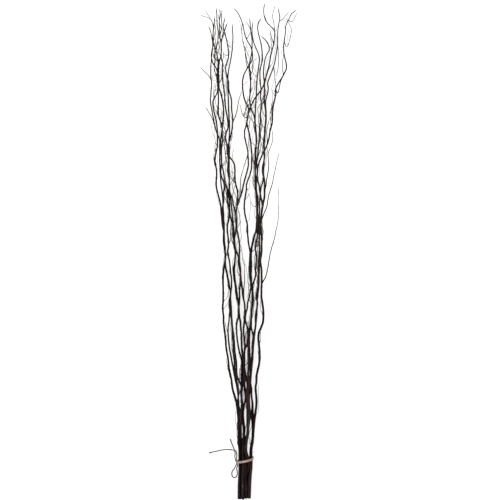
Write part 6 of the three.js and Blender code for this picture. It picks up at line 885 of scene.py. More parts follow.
    [29.63, 29.78, 11.86, 0.74], [31.09, 36.81, 12.48, 0.72], [30.5, 43.97, 13.11, 0.7], [30.02, 46.32, 13.33, 0.69],
   ],
   [
    [20.98, 206.85, 7.36, 0.85], [18.57, 213.63, 7.44, 0.81], [15.22, 220, 6.38, 0.77], [12.68, 226.72, 4.08, 0.73], [10.47, 233.57, 1.58, 0.69],
   ],
  ],
  "willow_stem_15": [
   [
    [31.03, -58.09, 19.57, 0.87], [26.96, -49.81, 20.97, 0.83], [24.9, -40.54, 21.92, 0.8], [27.73, -31.45, 23.06, 0.76], [27.94, -21.85, 24.51, 0.73],
    [27.94, -12.25, 26.3, 0.7], [27.94, -2.65, 28.34, 0.66], [27.94, 6.95, 30.5, 0.63], [27.94, 16.55, 32.61, 0.59], [27.94, 26.15, 34.5, 0.56],
    [27.94, 35.75, 36.08, 0.53], [30.58, 44.8, 37.33, 0.49], [31.25, 49.55, 37.86, 0.48],
   ],
   [
    [68.23, 373.73, 42.73, 0.73], [66.95, 383, 43.35, 0.7], [66.9, 392.59, 44.15, 0.67], [66.86, 402.19, 45.24, 0.64], [64.19, 411.19, 46.67, 0.61],
    [65.95, 420.45, 48.37, 0.59], [69.85, 429.12, 50.23, 0.56], [70.02, 438.72, 52.06, 0.53], [73.28, 447.68, 53.71, 0.5], [73.03, 457.27, 55.05, 0.47],
    [72.99, 466.86, 56.06, 0.44], [71.71, 476.13, 56.8, 0.41], [69.8, 480.51, 57.11, 0.4],
   ],
   [
    [40.92, 288.65, 40.55, 0.43], [42.09, 297.57, 39.87, 0.42], [43.04, 307.04, 40.33, 0.4], [43.04, 316.64, 40.76, 0.38], [36.32, 323.23, 41, 0.36],
    [29.57, 329.97, 40.93, 0.35], [29.88, 338.68, 40.54, 0.34], [30.93, 348.03, 39.87, 0.34], [30.93, 357.63, 39.08, 0.34], [35.63, 365.31, 38.34, 0.34],
    [42.23, 372.21, 37.81, 0.34], [43.94, 381.39, 37.59, 0.34],
   ],
   [
    [13.69, -473.79, 19.13, 0.4], [12.91, -464.3, 18.82, 0.38], [13.07, -454.7, 18.29, 0.36], [13.03, -445.11, 17.46, 0.34], [10.03, -436.18, 16.3, 0.34],
    [10.2, -426.58, 14.86, 0.34], [9.95, -417, 13.28, 0.34], [10.11, -407.4, 11.73, 0.34], [9.86, -397.81, 10.37, 0.34], [5.06, -389.5, 9.32, 0.34],
    [4.03, -382.41, 8.76, 0.34],
   ],
   [
    [83.56, 489.23, 47.65, 0.44], [81.83, 498.56, 47.81, 0.38], [82.08, 508.15, 49.24, 0.34], [79.28, 517.15, 50.97, 0.34], [79.24, 524.31, 52.41, 0.34],
   ],
   [
    [33.97, 9.29, 22.7, 0.53], [30.84, 17.86, 24.54, 0.45], [30.89, 27.45, 26.59, 0.38], [30.93, 37.04, 28.39, 0.34], [30.89, 39.44, 28.8, 0.34],
   ],
   [
    [117.57, 618.15, 54.06, 0.4], [115.9, 626.93, 53.01, 0.37], [118.1, 636.06, 52.97, 0.34], [117.43, 645.63, 53.25, 0.34], [119.39, 654.73, 53.8, 0.34],
    [121.11, 664.05, 54.47, 0.34], [120.95, 673.65, 55.11, 0.34],
   ],
   [
    [26.8, -147.52, 17.6, 0.45], [20.36, -140.68, 16.69, 0.36], [18.89, -131.52, 16.92, 0.34], [18.89, -129.12, 17.03, 0.34],
   ],
   [
    [29.28, 214.4, 34.91, 0.4], [31.01, 223.74, 35.79, 0.37], [33.81, 232.74, 35.2, 0.34], [33.98, 242.34, 34.46, 0.34], [33.94, 251.94, 33.75, 0.34],
    [34.1, 261.53, 33.23, 0.34], [34.15, 263.93, 33.14, 0.34],
   ],
   [
    [64.19, 411.19, 46.67, 0.44], [68.64, 415.64, 46.21, 0.43], [70.24, 421.59, 45.75, 0.41], [67.11, 427.01, 45.29, 0.4], [68.78, 432.65, 44.83, 0.39],
    [71.93, 438.11, 44.38, 0.37], [73.01, 444.26, 43.92, 0.36], [75.83, 449.43, 43.46, 0.34], [76.37, 451.46, 43.31, 0.34],
   ],
   [
    [69.8, 480.51, 57.11, 0.44], [69.8, 486.81, 56.72, 0.42], [71.39, 492.76, 56.33, 0.41], [72.99, 498.7, 55.94, 0.4], [74.19, 504.62, 55.55, 0.38],
    [76.3, 510.41, 55.16, 0.36], [77.47, 516.18, 54.77, 0.35], [79, 519.88, 54.51, 0.34],
   ],
   [
    [43.04, 307.04, 40.33, 0.44], [43.04, 302.84, 39.84, 0.43], [43.04, 307.04, 39.35, 0.41], [43.04, 302.84, 38.86, 0.4], [43.04, 307.04, 38.37, 0.39],
    [43.04, 302.84, 37.87, 0.37], [43.04, 307.04, 37.38, 0.36], [43.04, 302.84, 36.89, 0.34], [44.86, 303.89, 36.73, 0.34],
   ],
   [
    [106.16, 615.86, 58.71, 0.44], [103.19, 612.89, 58.84, 0.42], [100.78, 607.35, 58.98, 0.4], [99.69, 601.19, 59.11, 0.38], [99.69, 594.94, 59.24, 0.36],
    [99.69, 588.69, 59.38, 0.35], [100.06, 586.62, 59.42, 0.34],
   ],
   [
    [85.92, 478.99, 47.73, 0.44], [84.85, 472.93, 48.29, 0.41], [84.85, 466.67, 48.85, 0.39], [79.03, 467.55, 49.4, 0.36], [79.03, 471.75, 49.78, 0.34],
   ],
   [
    [59.85, 383.08, 41.03, 0.44], [56.21, 380.98, 42.13, 0.42], [59.85, 383.08, 43.23, 0.41], [56.21, 380.98, 44.33, 0.4], [59.85, 383.08, 45.42, 0.38],
    [56.21, 380.98, 46.52, 0.36], [59.85, 383.08, 47.62, 0.35], [58.03, 379.93, 48.35, 0.34],
   ],
   [
    [111.7, 665.04, 52.71, 0.44], [109.08, 669.19, 54.73, 0.42], [109.08, 675.44, 56.75, 0.41], [109.08, 681.69, 58.77, 0.39], [111.74, 687.4, 60.8, 0.37],
    [108.89, 692.17, 62.82, 0.36], [103.24, 690.51, 64.84, 0.34],
   ],
   [
    [74.84, 433.9, 48.17, 0.52], [76.51, 438.97, 46.37, 0.5], [75.61, 444.29, 44.81, 0.48], [77.34, 449.31, 43.67, 0.46], [78.84, 454.4, 42.98, 0.44],
    [78.52, 459.77, 42.63, 0.42], [81.16, 464.43, 42.42, 0.4], [82.39, 469.58, 42.07, 0.38],
   ],
   [
    [73.28, 422.06, 47.26, 0.52], [71.18, 426.66, 44.71, 0.5], [72.95, 431.7, 42.47, 0.48], [77.72, 432.15, 40.79, 0.47], [78.32, 426.99, 39.76, 0.45],
    [75.57, 422.47, 39.33, 0.43], [71.1, 424.07, 39.29, 0.42], [71.84, 429.31, 39.34, 0.4], [75.57, 432.92, 39.17, 0.38],
   ],
   [
    [80.89, 466.25, 50.6, 0.52], [81.07, 471.63, 49.9, 0.5], [80.77, 477.01, 49.57, 0.47], [80.71, 482.37, 49.81, 0.45], [82.4, 487.5, 50.54, 0.42],
    [83.23, 492.83, 51.45, 0.4], [84.12, 496.31, 51.96, 0.38],
   ],
   [
    [45.44, 297.95, 39.99, 0.72], [43.58, 304.87, 40.95, 0.7], [42.25, 311.91, 41.63, 0.68], [42.03, 319.1, 41.83, 0.66], [39.43, 325.79, 41.49, 0.64],
    [37.53, 332.69, 40.68, 0.62], [36.56, 339.81, 39.58, 0.59], [33.25, 346.19, 38.48, 0.57], [31.34, 350.58, 37.88, 0.56],
   ],
   [
    [69.14, 377.62, 43.2, 0.72], [67.42, 384.59, 42.22, 0.71], [67, 391.77, 41.29, 0.69], [66.08, 398.91, 40.46, 0.68], [64.72, 405.98, 39.76, 0.67],
    [64.8, 413.15, 39.22, 0.65], [66.99, 419.99, 38.83, 0.64], [69.71, 426.66, 38.58, 0.62], [71.66, 433.59, 38.43, 0.61], [73.82, 440.45, 38.35, 0.6],
    [77.79, 446.42, 38.27, 0.58], [83.07, 451.31, 38.15, 0.57], [86.58, 454.58, 38.02, 0.56],
   ],
   [
    [79.79, 460.36, 50.15, 0.72], [78.84, 467.46, 53.41, 0.68], [75.31, 473.71, 54.82, 0.65], [71.88, 480.02, 54.02, 0.61], [70.36, 487.05, 52.38, 0.57],
    [69.94, 489.41, 52.02, 0.56],
   ],
   [
    [71.87, 389.23, 44.58, 0.72], [69.25, 395.92, 45.36, 0.7], [68.24, 402.96, 46.19, 0.69], [69.22, 410.09, 47.11, 0.67], [67.76, 417.11, 48.15, 0.66],
    [67.62, 424.23, 49.31, 0.64], [69.73, 431.11, 50.59, 0.62], [69.49, 438.28, 51.95, 0.61], [70.22, 445.36, 53.36, 0.59], [73.39, 451.83, 54.75, 0.58],
    [74.4, 458.92, 56.09, 0.56],
   ],
   [
    [62.51, 342.61, 38.62, 0.72], [65.38, 349.2, 37.47, 0.69], [65.69, 356.31, 36.75, 0.67], [63.88, 363.28, 36.75, 0.64], [64.74, 370.35, 37.44, 0.62],
    [67.39, 377.04, 38.56, 0.59], [67.17, 384.16, 39.67, 0.57], [66.45, 386.45, 39.96, 0.56],
   ],
   [
    [44.13, 295.25, 40.15, 0.72], [40.39, 301.37, 38.13, 0.7], [34.38, 305.26, 36.28, 0.68], [28.54, 309.37, 34.75, 0.67], [25.04, 315.64, 33.62, 0.65],
    [20.5, 321.14, 32.89, 0.63], [14.21, 324.64, 32.49, 0.61], [9.39, 329.87, 32.27, 0.6], [6.15, 336.29, 32.07, 0.58], [0.71, 340.91, 31.7, 0.56],
   ],
   [
    [29.33, -103.21, 18.76, 0.85], [27.56, -96.3, 19.05, 0.83], [25.36, -89.49, 19.16, 0.82], [26.83, -82.49, 18.97, 0.8], [28.09, -75.46, 18.36, 0.79],
    [26.06, -68.58, 17.32, 0.77], [25.47, -61.49, 15.89, 0.75], [28.1, -54.8, 14.16, 0.74], [28.76, -47.72, 12.28, 0.72], [27.06, -40.73, 10.43, 0.71],
    [28.33, -33.74, 8.77, 0.69],
   ],
  ],
  "willow_stem_12": [
   [
    [-1.91, -229.82, 24.36, 0.97], [0.89, -220.95, 23.95, 0.93], [0.97, -211.36, 24.5, 0.89], [3.69, -202.32, 25.38, 0.85], [4.07, -192.73, 26.53, 0.81],
    [6.8, -183.67, 27.82, 0.78], [6.84, -174.08, 29.08, 0.74], [6.89, -164.49, 30.14, 0.7], [6.93, -154.89, 30.9, 0.66], [6.97, -145.3, 31.32, 0.63],
    [6.8, -135.7, 31.48, 0.59], [1.09, -128.05, 31.52, 0.55], [1, -123.37, 31.55, 0.53],
   ],
   [
    [-2.33, 401.29, 52.48, 0.68], [-5.55, 410.01, 53.27, 0.65], [-8.39, 418.87, 52.82, 0.62], [-8.13, 428.46, 52.05, 0.6], [-4.37, 437.09, 51.08, 0.57],
    [3.24, 442.87, 50.06, 0.54], [7.09, 451.63, 49.17, 0.52], [10.09, 460.44, 48.54, 0.49], [14.13, 469.11, 48.24, 0.46], [16.91, 478.22, 48.25, 0.44],
    [18.95, 487.39, 48.46, 0.41], [21.91, 496.34, 48.68, 0.39], [22.04, 501.11, 48.75, 0.37],
   ],
   [
    [0.05, -145.96, 22.26, 0.52], [-1.98, -136.79, 21.12, 0.5], [-1.81, -127.19, 20.76, 0.48], [0.85, -118.23, 20.74, 0.46], [1.01, -108.63, 21.02, 0.44],
    [3.54, -99.5, 21.47, 0.42], [0.88, -90.36, 21.94, 0.4], [1.04, -80.77, 22.25, 0.38], [1, -71.17, 22.27, 0.36], [0.75, -61.59, 21.95, 0.34],
    [0.92, -51.99, 21.35, 0.34], [1.09, -42.39, 20.59, 0.34], [0.96, -37.59, 20.2, 0.34],
   ],
   [
    [-4.31, 90.87, 31.37, 0.45], [3.55, 96.01, 29.27, 0.43], [3.93, 105.56, 28.41, 0.41], [4.18, 115.14, 27.86, 0.4], [7.05, 124.26, 27.52, 0.38],
    [7.01, 133.85, 27.22, 0.36], [7.18, 143.45, 26.8, 0.34], [6.93, 153.04, 26.1, 0.34], [6.68, 162.63, 25.07, 0.34], [2.91, 171.26, 23.75, 0.34],
    [-1.83, 179.46, 22.23, 0.34], [2.32, 187.45, 20.68, 0.34], [3.69, 191.92, 19.95, 0.34],
   ],
   [
    [1.53, -315.24, 32.96, 0.53], [7.69, -308.18, 34.22, 0.5], [10.07, -298.99, 35.05, 0.47], [10.03, -289.4, 36.08, 0.44], [9.99, -279.81, 37.43, 0.41],
    [12.25, -270.73, 39.1, 0.38], [13.06, -261.31, 41.03, 0.35], [11.78, -252.04, 43.07, 0.34], [9.75, -242.87, 45.06, 0.34], [9.8, -240.48, 45.52, 0.34],
   ],
   [
    [-0.2, -364.7, 36.29, 0.59], [-2.23, -355.54, 37.84, 0.49], [-2.02, -345.95, 39.82, 0.4], [-2.02, -338.75, 41.17, 0.34],
   ],
   [
    [-5.85, 184.27, 41, 0.57], [1.51, 190.45, 40.72, 0.51], [4.3, 199.31, 41.94, 0.46], [4.3, 208.84, 43.36, 0.41], [7.31, 217.58, 44.8, 0.35],
    [7.43, 224.78, 45.79, 0.34],
   ],
   [
    [-8, 448.44, 61.33, 0.4], [-0.15, 453.93, 62.9, 0.36], [4, 462.54, 62.99, 0.34], [3.88, 472.13, 62.85, 0.34], [3.75, 481.72, 62.64, 0.34],
    [4.25, 491.31, 62.53, 0.34],
   ],
   [
    [7.37, -101.65, 25.57, 0.4], [0.88, -94.83, 24.64, 0.38], [-2.51, -85.9, 25.07, 0.36], [-2.17, -76.3, 25.55, 0.34], [-2.05, -66.71, 25.93, 0.34],
    [-4.63, -57.72, 26.04, 0.34], [-5.13, -48.13, 25.83, 0.34], [-7.85, -39.09, 25.3, 0.34], [-10.84, -30.05, 24.57, 0.34], [-13.66, -21.06, 23.8, 0.34],
    [-16.87, -17.49, 23.46, 0.34],
   ],
   [
    [-19.06, 661.21, 70.96, 0.4], [-23.39, 669.59, 69.37, 0.35], [-23.14, 679.18, 69.02, 0.34], [-26.26, 688.08, 68.68, 0.34], [-29.6, 697.01, 68.18, 0.34],
   ],
   [
    [-3.12, 392.33, 50.77, 0.44], [-7.32, 395.96, 50.51, 0.43], [-5.22, 392.33, 50.26, 0.41], [-7.32, 395.96, 50, 0.4], [-5.22, 392.33, 49.74, 0.39],
    [-7.32, 395.96, 49.49, 0.37], [-5.22, 392.33, 49.23, 0.36], [-7.32, 395.96, 48.98, 0.34], [-8.37, 394.15, 48.89, 0.34],
   ],
   [
    [-1.23, 374.62, 49.73, 0.44], [2.36, 379.74, 48.04, 0.43], [3.99, 385.82, 46.35, 0.41], [5.19, 391.74, 44.66, 0.4], [7.3, 397.53, 42.97, 0.39],
    [4.6, 402.38, 41.28, 0.37], [1.08, 406.4, 39.59, 0.36], [1.09, 412.65, 37.9, 0.34], [1.27, 414.74, 37.34, 0.34],
   ],
   [
    [4.36, 348.21, 49.9, 0.44], [5.74, 353.93, 49.55, 0.42], [9.76, 358.72, 49.19, 0.4], [11.35, 364.67, 48.84, 0.38], [12.95, 370.61, 48.49, 0.35],
    [14.77, 373.76, 48.26, 0.34],
   ],
   [
    [-16.75, 496.97, 58.29, 0.44], [-13.78, 500.88, 57.6, 0.42], [-8.62, 504.5, 56.92, 0.39], [-4.2, 508.92, 56.23, 0.37], [-0.62, 514.04, 55.54, 0.35],
    [1.1, 515.24, 55.31, 0.34],
   ],
   [
    [-4.45, 440.51, 61.21, 0.52], [-3.74, 445.7, 61.94, 0.5], [-1.62, 450.66, 62.88, 0.48], [2.58, 453.54, 64.2, 0.47], [7.3, 451.06, 65.96, 0.45],
    [11.69, 447.92, 68.1, 0.43], [12.39, 442.93, 70.47, 0.41], [8.64, 439.07, 72.84, 0.39], [6.06, 436.56, 74.31, 0.38],
   ],
   [
    [-14.65, 410.29, 52.55, 0.52], [-9.29, 410.68, 53.2, 0.5], [-4.54, 412.8, 53.88, 0.48], [-2.37, 417.73, 54.6, 0.46], [0.76, 422.12, 55.38, 0.44],
    [0.92, 427.29, 56.21, 0.42], [-1.67, 432.02, 57.06, 0.41], [-3.33, 437.14, 57.9, 0.39], [-4.55, 438.47, 58.17, 0.38],
   ],
   [
    [8.32, 318.96, 49.8, 0.52], [9.25, 324.28, 49.92, 0.5], [8.31, 329.54, 49.83, 0.48], [7.24, 334.8, 49.4, 0.46], [7.46, 340.18, 48.62, 0.44],
    [5.49, 345.18, 47.59, 0.42], [4.26, 350.39, 46.5, 0.39], [4.05, 353.98, 45.86, 0.38],
   ],
   [
    [-2, 435.03, 61.14, 0.72], [2.42, 440.71, 60.41, 0.71], [5.57, 447.17, 59.61, 0.69], [8.63, 453.68, 58.71, 0.68], [11.9, 460.09, 57.64, 0.67],
    [13.69, 467.06, 56.41, 0.65], [15.84, 473.92, 54.99, 0.64], [17.71, 480.86, 53.42, 0.62], [18.21, 488.04, 51.72, 0.61], [19.37, 495.14, 49.95, 0.6],
    [19.68, 502.31, 48.18, 0.58], [19.01, 509.48, 46.45, 0.57], [19.05, 514.28, 45.36, 0.56],
   ],
   [
    [-2.85, 395.59, 51.37, 0.72], [-1.61, 402.68, 51.34, 0.67], [0.41, 409.56, 53.18, 0.62], [3.99, 415.81, 56.38, 0.58], [5.07, 417.95, 57.35, 0.56],
   ],
   [
    [-12.73, 404.71, 52, 0.72], [-10.44, 411.51, 51.98, 0.68], [-9.78, 418.68, 52.35, 0.65], [-6.82, 425.19, 53.2, 0.61], [-3.92, 431.74, 54.23, 0.57],
    [-3.43, 434.09, 54.53, 0.56],
   ],
   [
    [-14.65, 410.29, 52.55, 0.72], [-10.86, 416.4, 53.09, 0.69], [-8.42, 423.17, 53.38, 0.65], [-6.05, 429.97, 53.35, 0.62], [-3.8, 436.8, 53.14, 0.58],
    [-3.13, 441.55, 53.03, 0.56],
   ],
   [
    [2.56, 357.48, 50.01, 0.72], [1.12, 364.51, 48.76, 0.69], [2.78, 371.47, 47.74, 0.67], [3.93, 378.52, 47.1, 0.64], [2.88, 385.64, 46.81, 0.61],
    [4.64, 392.55, 46.7, 0.59], [6.77, 399.38, 46.52, 0.56],
   ],
   [
    [-7.58, 104.87, 33.28, 0.85], [-9.81, 111.63, 32.4, 0.84], [-10.34, 118.8, 31.46, 0.82], [-12.87, 125.52, 30.4, 0.81], [-14.2, 132.52, 29.2, 0.79],
    [-12.07, 139.38, 27.83, 0.78], [-10.77, 146.42, 26.28, 0.77], [-10.53, 153.6, 24.59, 0.75], [-7.08, 159.83, 22.79, 0.74], [-2.36, 165.25, 20.94, 0.72],
    [0.62, 171.79, 19.1, 0.71], [4.85, 177.51, 17.31, 0.69], [6.9, 178.76, 16.74, 0.69],
   ],
   [
    [-1.44, 51.81, 33.33, 0.85], [-4.2, 58.44, 32.18, 0.82], [-6.16, 65.3, 30.93, 0.79], [-5.05, 72.4, 29.53, 0.75], [-4.81, 79.59, 28.04, 0.72],
    [-3.63, 86.62, 26.55, 0.69],
   ],
   [
    [5.38, -117.76, 24.26, 0.85], [1.49, -111.71, 27.43, 0.81], [0.46, -104.66, 29.27, 0.78], [1.6, -97.55, 29.5, 0.74], [1.32, -90.38, 29.12, 0.7],
    [0.97, -88, 29.13, 0.69],
   ],
  ],
  "willow_stem_01": [
   [
    [-92.3, 527.73, 68.1, 0.98], [-98.04, 534.83, 66.7, 0.94], [-101.23, 543.84, 66.78, 0.9], [-100.9, 553.43, 67.02, 0.86], [-98.33, 562.52, 67.25, 0.82],
    [-98.12, 572.11, 67.3, 0.79], [-102.43, 580.66, 67.05, 0.75], [-102.43, 589.06, 66.47, 0.71], [-101.05, 598.35, 65.62, 0.67], [-101.05, 607.95, 64.62, 0.63],
    [-97.75, 616.88, 63.65, 0.59], [-97.96, 626.47, 62.88, 0.56], [-97.96, 631.27, 62.61, 0.54],
   ],
   [
    [-27.16, -579.84, 39.97, 0.98], [-33.02, -572.86, 39.08, 0.94], [-32.06, -563.34, 39.67, 0.9], [-32.15, -553.75, 40.49, 0.86], [-32.02, -544.15, 41.39, 0.82],
    [-32.11, -534.56, 42.2, 0.79], [-33.65, -525.27, 42.77, 0.75], [-34.12, -516.17, 43.01, 0.71], [-32.1, -507.05, 42.93, 0.67], [-32.18, -497.46, 42.64, 0.63],
    [-32.06, -487.87, 42.28, 0.59], [-35.17, -478.96, 42.03, 0.56], [-35.21, -474.17, 41.99, 0.54],
   ],
   [
    [-100.47, 271.53, 54.15, 0.69], [-104.01, 280.41, 56.23, 0.67], [-103.84, 290, 56.95, 0.64], [-100.98, 299.06, 57.59, 0.61], [-98.41, 308.17, 58.34, 0.58],
    [-98.29, 317.75, 59.34, 0.55], [-98.16, 327.34, 60.67, 0.52], [-98.46, 336.93, 62.32, 0.49], [-99.37, 346.2, 64.17, 0.47], [-101.1, 355.54, 66.07, 0.44],
    [-101.06, 365.13, 67.85, 0.41], [-101.01, 374.72, 69.36, 0.38],
   ],
   [
    [-29.08, -521.41, 39.22, 0.42], [-37.04, -516.05, 39.53, 0.41], [-37.87, -506.81, 39.22, 0.39], [-38.03, -497.21, 38.6, 0.37], [-38.2, -487.61, 37.65, 0.36],
    [-38.16, -478.02, 36.49, 0.34], [-35.28, -469.02, 35.27, 0.34], [-37.29, -459.95, 34.17, 0.34], [-38, -450.42, 33.33, 0.34], [-41.45, -441.55, 32.82, 0.34],
    [-43.8, -432.29, 32.62, 0.34], [-44.47, -422.71, 32.62, 0.34], [-46.87, -418.56, 32.64, 0.34],
   ],
   [
    [-74.64, -66.98, 26.57, 0.46], [-77.17, -58.03, 27.13, 0.44], [-77, -48.43, 29.07, 0.41], [-76.83, -38.83, 31.07, 0.39], [-74.03, -29.83, 32.96, 0.36],
    [-73.86, -20.23, 34.59, 0.34], [-70.61, -11.53, 35.9, 0.34], [-64.1, -5.41, 36.9, 0.34], [-65.02, 4.09, 37.69, 0.34],
   ],
   [
    [-102.27, 422.78, 61.76, 0.4], [-102.2, 431.97, 62.63, 0.38], [-106.37, 440.61, 62.07, 0.37], [-106.18, 449.99, 61.4, 0.35], [-103.92, 459.07, 60.79, 0.34],
    [-103.96, 468.66, 60.4, 0.34], [-102.95, 477.99, 60.34, 0.34], [-97.83, 485.74, 60.59, 0.34], [-97.22, 495.15, 61.09, 0.34], [-94.96, 504.23, 61.68, 0.34],
    [-93.75, 513.08, 62.19, 0.34], [-95.03, 522.35, 62.46, 0.34], [-94.95, 527.15, 62.48, 0.34],
   ],
   [
    [-97.27, 258.42, 51.42, 0.44], [-92.35, 266.23, 50.37, 0.42], [-91.98, 275.82, 50.3, 0.4], [-92.02, 285.41, 50.55, 0.38], [-91.85, 295.01, 51.08, 0.37],
    [-97.61, 302.38, 51.74, 0.35], [-100.95, 310.81, 52.37, 0.34], [-100.99, 320.41, 52.79, 0.34], [-105.05, 329.11, 52.9, 0.34], [-107.47, 338.3, 52.68, 0.34],
    [-109.97, 347.35, 52.21, 0.34], [-110.31, 356.94, 51.61, 0.34], [-110.39, 359.34, 51.47, 0.34],
   ],
   [
    [-83.87, 138.94, 37.87, 0.4], [-88.95, 147.06, 38.24, 0.38], [-89.33, 156.65, 39.88, 0.36], [-93.68, 165.2, 41.53, 0.34], [-95.41, 174.23, 43.02, 0.34],
    [-94.86, 183.8, 44.23, 0.34], [-96.94, 193, 45.11, 0.34], [-98.08, 202.39, 45.7, 0.34], [-98.17, 211.98, 46.12, 0.34], [-98.08, 214.38, 46.22, 0.34],
   ],
   [
    [-73.33, -219.7, 16.28, 0.4], [-74, -210.14, 18.14, 0.37], [-74.25, -200.55, 18.52, 0.35], [-76.72, -191.34, 18.75, 0.34], [-76.97, -181.76, 18.99, 0.34],
    [-75.75, -172.42, 19.43, 0.34], [-74, -163.15, 20.16, 0.34], [-74.04, -153.56, 21.23, 0.34],
   ],
   [
    [-28.78, -557.41, 40.66, 0.4], [-34.9, -550.07, 41.61, 0.38], [-35.1, -540.61, 41.92, 0.37], [-35.05, -531.02, 41.91, 0.35], [-32.26, -522.53, 41.59, 0.34],
    [-27.35, -514.5, 41.06, 0.34], [-22.8, -506.32, 40.47, 0.34], [-23.17, -496.73, 40, 0.34], [-22.92, -487.15, 39.8, 0.34], [-19.92, -478.22, 39.93, 0.34],
    [-21.14, -468.88, 40.37, 0.34], [-23.07, -459.57, 41, 0.34], [-23.03, -457.17, 41.17, 0.34],
   ],
   [
    [-97.11, 549.15, 69.25, 0.41], [-95.06, 558.4, 67.47, 0.37], [-95.11, 567.99, 67.16, 0.34], [-94.94, 577.59, 67.01, 0.34], [-98.14, 586.5, 66.83, 0.34],
    [-98.43, 588.88, 66.76, 0.34],
   ],
   [
    [-90.82, 496.28, 66.08, 0.44], [-92.05, 490.3, 65.08, 0.42], [-92.05, 484.05, 64.08, 0.41], [-95.97, 480.13, 63.08, 0.4], [-98.67, 483.35, 62.08, 0.38],
    [-93.98, 486.57, 61.08, 0.36], [-91.71, 491.64, 60.08, 0.35], [-91.89, 495.8, 59.41, 0.34],
   ],
   [
    [-100.47, 271.53, 54.15, 0.44], [-101.01, 265.3, 54.52, 0.4], [-101.01, 259, 54.89, 0.35], [-101.01, 256.9, 55.02, 0.34],
   ],
   [
    [-98.12, 572.11, 67.3, 0.44], [-102.91, 574.46, 67.23, 0.4], [-99.76, 570.16, 67.15, 0.36], [-95.79, 568.9, 67.1, 0.34],
   ],
   [
    [-90.17, 576.19, 74.82, 0.52], [-91.93, 581.22, 74.34, 0.5], [-93.27, 586.35, 73.75, 0.48], [-92.62, 591.7, 72.97, 0.46], [-94.65, 596.67, 72, 0.44],
    [-95.07, 601.95, 70.87, 0.42], [-94.6, 607.27, 69.69, 0.4], [-96.62, 612.28, 68.57, 0.38],
   ],
   [
    [-91.7, 581.99, 75.06, 0.52], [-94.06, 577.21, 74.61, 0.5], [-96.38, 572.39, 74.17, 0.48], [-99.14, 567.8, 73.75, 0.46], [-98.83, 562.44, 73.36, 0.44],
    [-99.41, 557.11, 72.99, 0.42], [-99.45, 551.8, 72.63, 0.4], [-96.76, 547.13, 72.25, 0.38],
   ],
   [
    [-104.01, 661.48, 82.21, 0.52], [-101.53, 666.27, 79.99, 0.48], [-101.59, 671.55, 78.91, 0.45], [-102.02, 676.84, 79.05, 0.42], [-100.32, 681.96, 79.38, 0.38],
   ],
   [
    [-77.37, 530.73, 70.99, 0.72], [-77.75, 537.89, 71.5, 0.69], [-76.07, 544.88, 71.89, 0.67], [-76.58, 552.03, 72.08, 0.64], [-76.73, 559.18, 72.09, 0.61],
    [-75.48, 566.25, 72.02, 0.59], [-76.71, 573.33, 71.98, 0.56],
   ],
   [
    [-92.17, 522.31, 67.91, 0.72], [-95.91, 528.44, 69.8, 0.69], [-98.13, 535.28, 71.02, 0.65], [-100.23, 542.17, 71.35, 0.62], [-101.76, 549.19, 71.2, 0.58],
    [-101.79, 553.99, 71.19, 0.56],
   ],
   [
    [-100.28, 458.59, 62.67, 0.72], [-101.77, 465.61, 64.59, 0.69], [-101.74, 472.71, 65.94, 0.67], [-98.71, 479.23, 66.39, 0.64], [-97.8, 486.33, 65.99, 0.61],
    [-96.66, 493.36, 65.18, 0.59], [-92.17, 498.97, 64.54, 0.56],
   ],
   [
    [-95.94, 252.96, 50.28, 0.72], [-95.1, 260.11, 50.42, 0.7], [-96.34, 267.17, 50.57, 0.68], [-97.61, 274.22, 50.76, 0.66], [-96.6, 281.35, 50.99, 0.64],
    [-96.99, 288.49, 51.27, 0.62], [-98.52, 295.52, 51.58, 0.6], [-97.7, 302.65, 51.89, 0.59], [-97.2, 309.8, 52.2, 0.57], [-97.63, 312.16, 52.3, 0.56],
   ],
   [
    [-94.24, 382.66, 58.09, 0.72], [-96.49, 389.49, 58.09, 0.7], [-97.39, 396.55, 58.13, 0.67], [-94.85, 403.26, 58.25, 0.65], [-93.01, 410.15, 58.44, 0.62],
    [-95.49, 416.82, 58.68, 0.6], [-99.36, 422.87, 58.94, 0.58], [-100.37, 427.54, 59.09, 0.56],
   ],
   [
    [-92.37, 317.23, 53.3, 0.72], [-96.14, 323.36, 53.92, 0.7], [-98.2, 330.23, 54.79, 0.67], [-98.67, 337.41, 56.08, 0.65], [-100.4, 344.37, 57.8, 0.62],
    [-103.82, 350.7, 59.81, 0.6], [-106.35, 357.41, 61.9, 0.58], [-106.75, 362.19, 63.19, 0.56],
   ],
   [
    [-85.38, 148.18, 38.15, 0.85], [-88.01, 154.84, 37.56, 0.84], [-87.83, 162.02, 37.08, 0.82], [-88.67, 169.11, 36.82, 0.81], [-91.67, 175.66, 36.83, 0.79],
    [-92.45, 182.75, 37.16, 0.78], [-92.05, 189.93, 37.8, 0.77], [-94.38, 196.71, 38.72, 0.75], [-96.37, 203.57, 39.84, 0.74], [-95.68, 210.73, 41.06, 0.72],
    [-96.59, 217.81, 42.26, 0.71], [-99.23, 224.51, 43.35, 0.69], [-99.61, 226.88, 43.67, 0.69],
   ],
   [
    [-97.33, 258.67, 51.47, 0.85], [-96.73, 265.82, 53.54, 0.82], [-97.75, 272.95, 55.38, 0.79], [-98.1, 280.12, 56.85, 0.77], [-96.49, 287.12, 58.01, 0.74],
    [-94.55, 294.05, 59.06, 0.71], [-94.21, 298.83, 59.82, 0.69],
   ],
   [
    [-62.13, -312.85, 14.71, 0.85], [-63.87, -305.87, 12.76, 0.83], [-65.71, -298.92, 10.96, 0.82], [-67.35, -291.92, 9.43, 0.8], [-67.57, -284.73, 8.24, 0.78],
    [-68.41, -277.58, 7.39, 0.76], [-68.18, -270.4, 6.85, 0.75], [-67.24, -263.27, 6.49, 0.73], [-66.76, -256.09, 6.19, 0.71], [-64.73, -249.19, 5.78, 0.7],
    [-63.99, -246.91, 5.6, 0.69],
   ],
   [
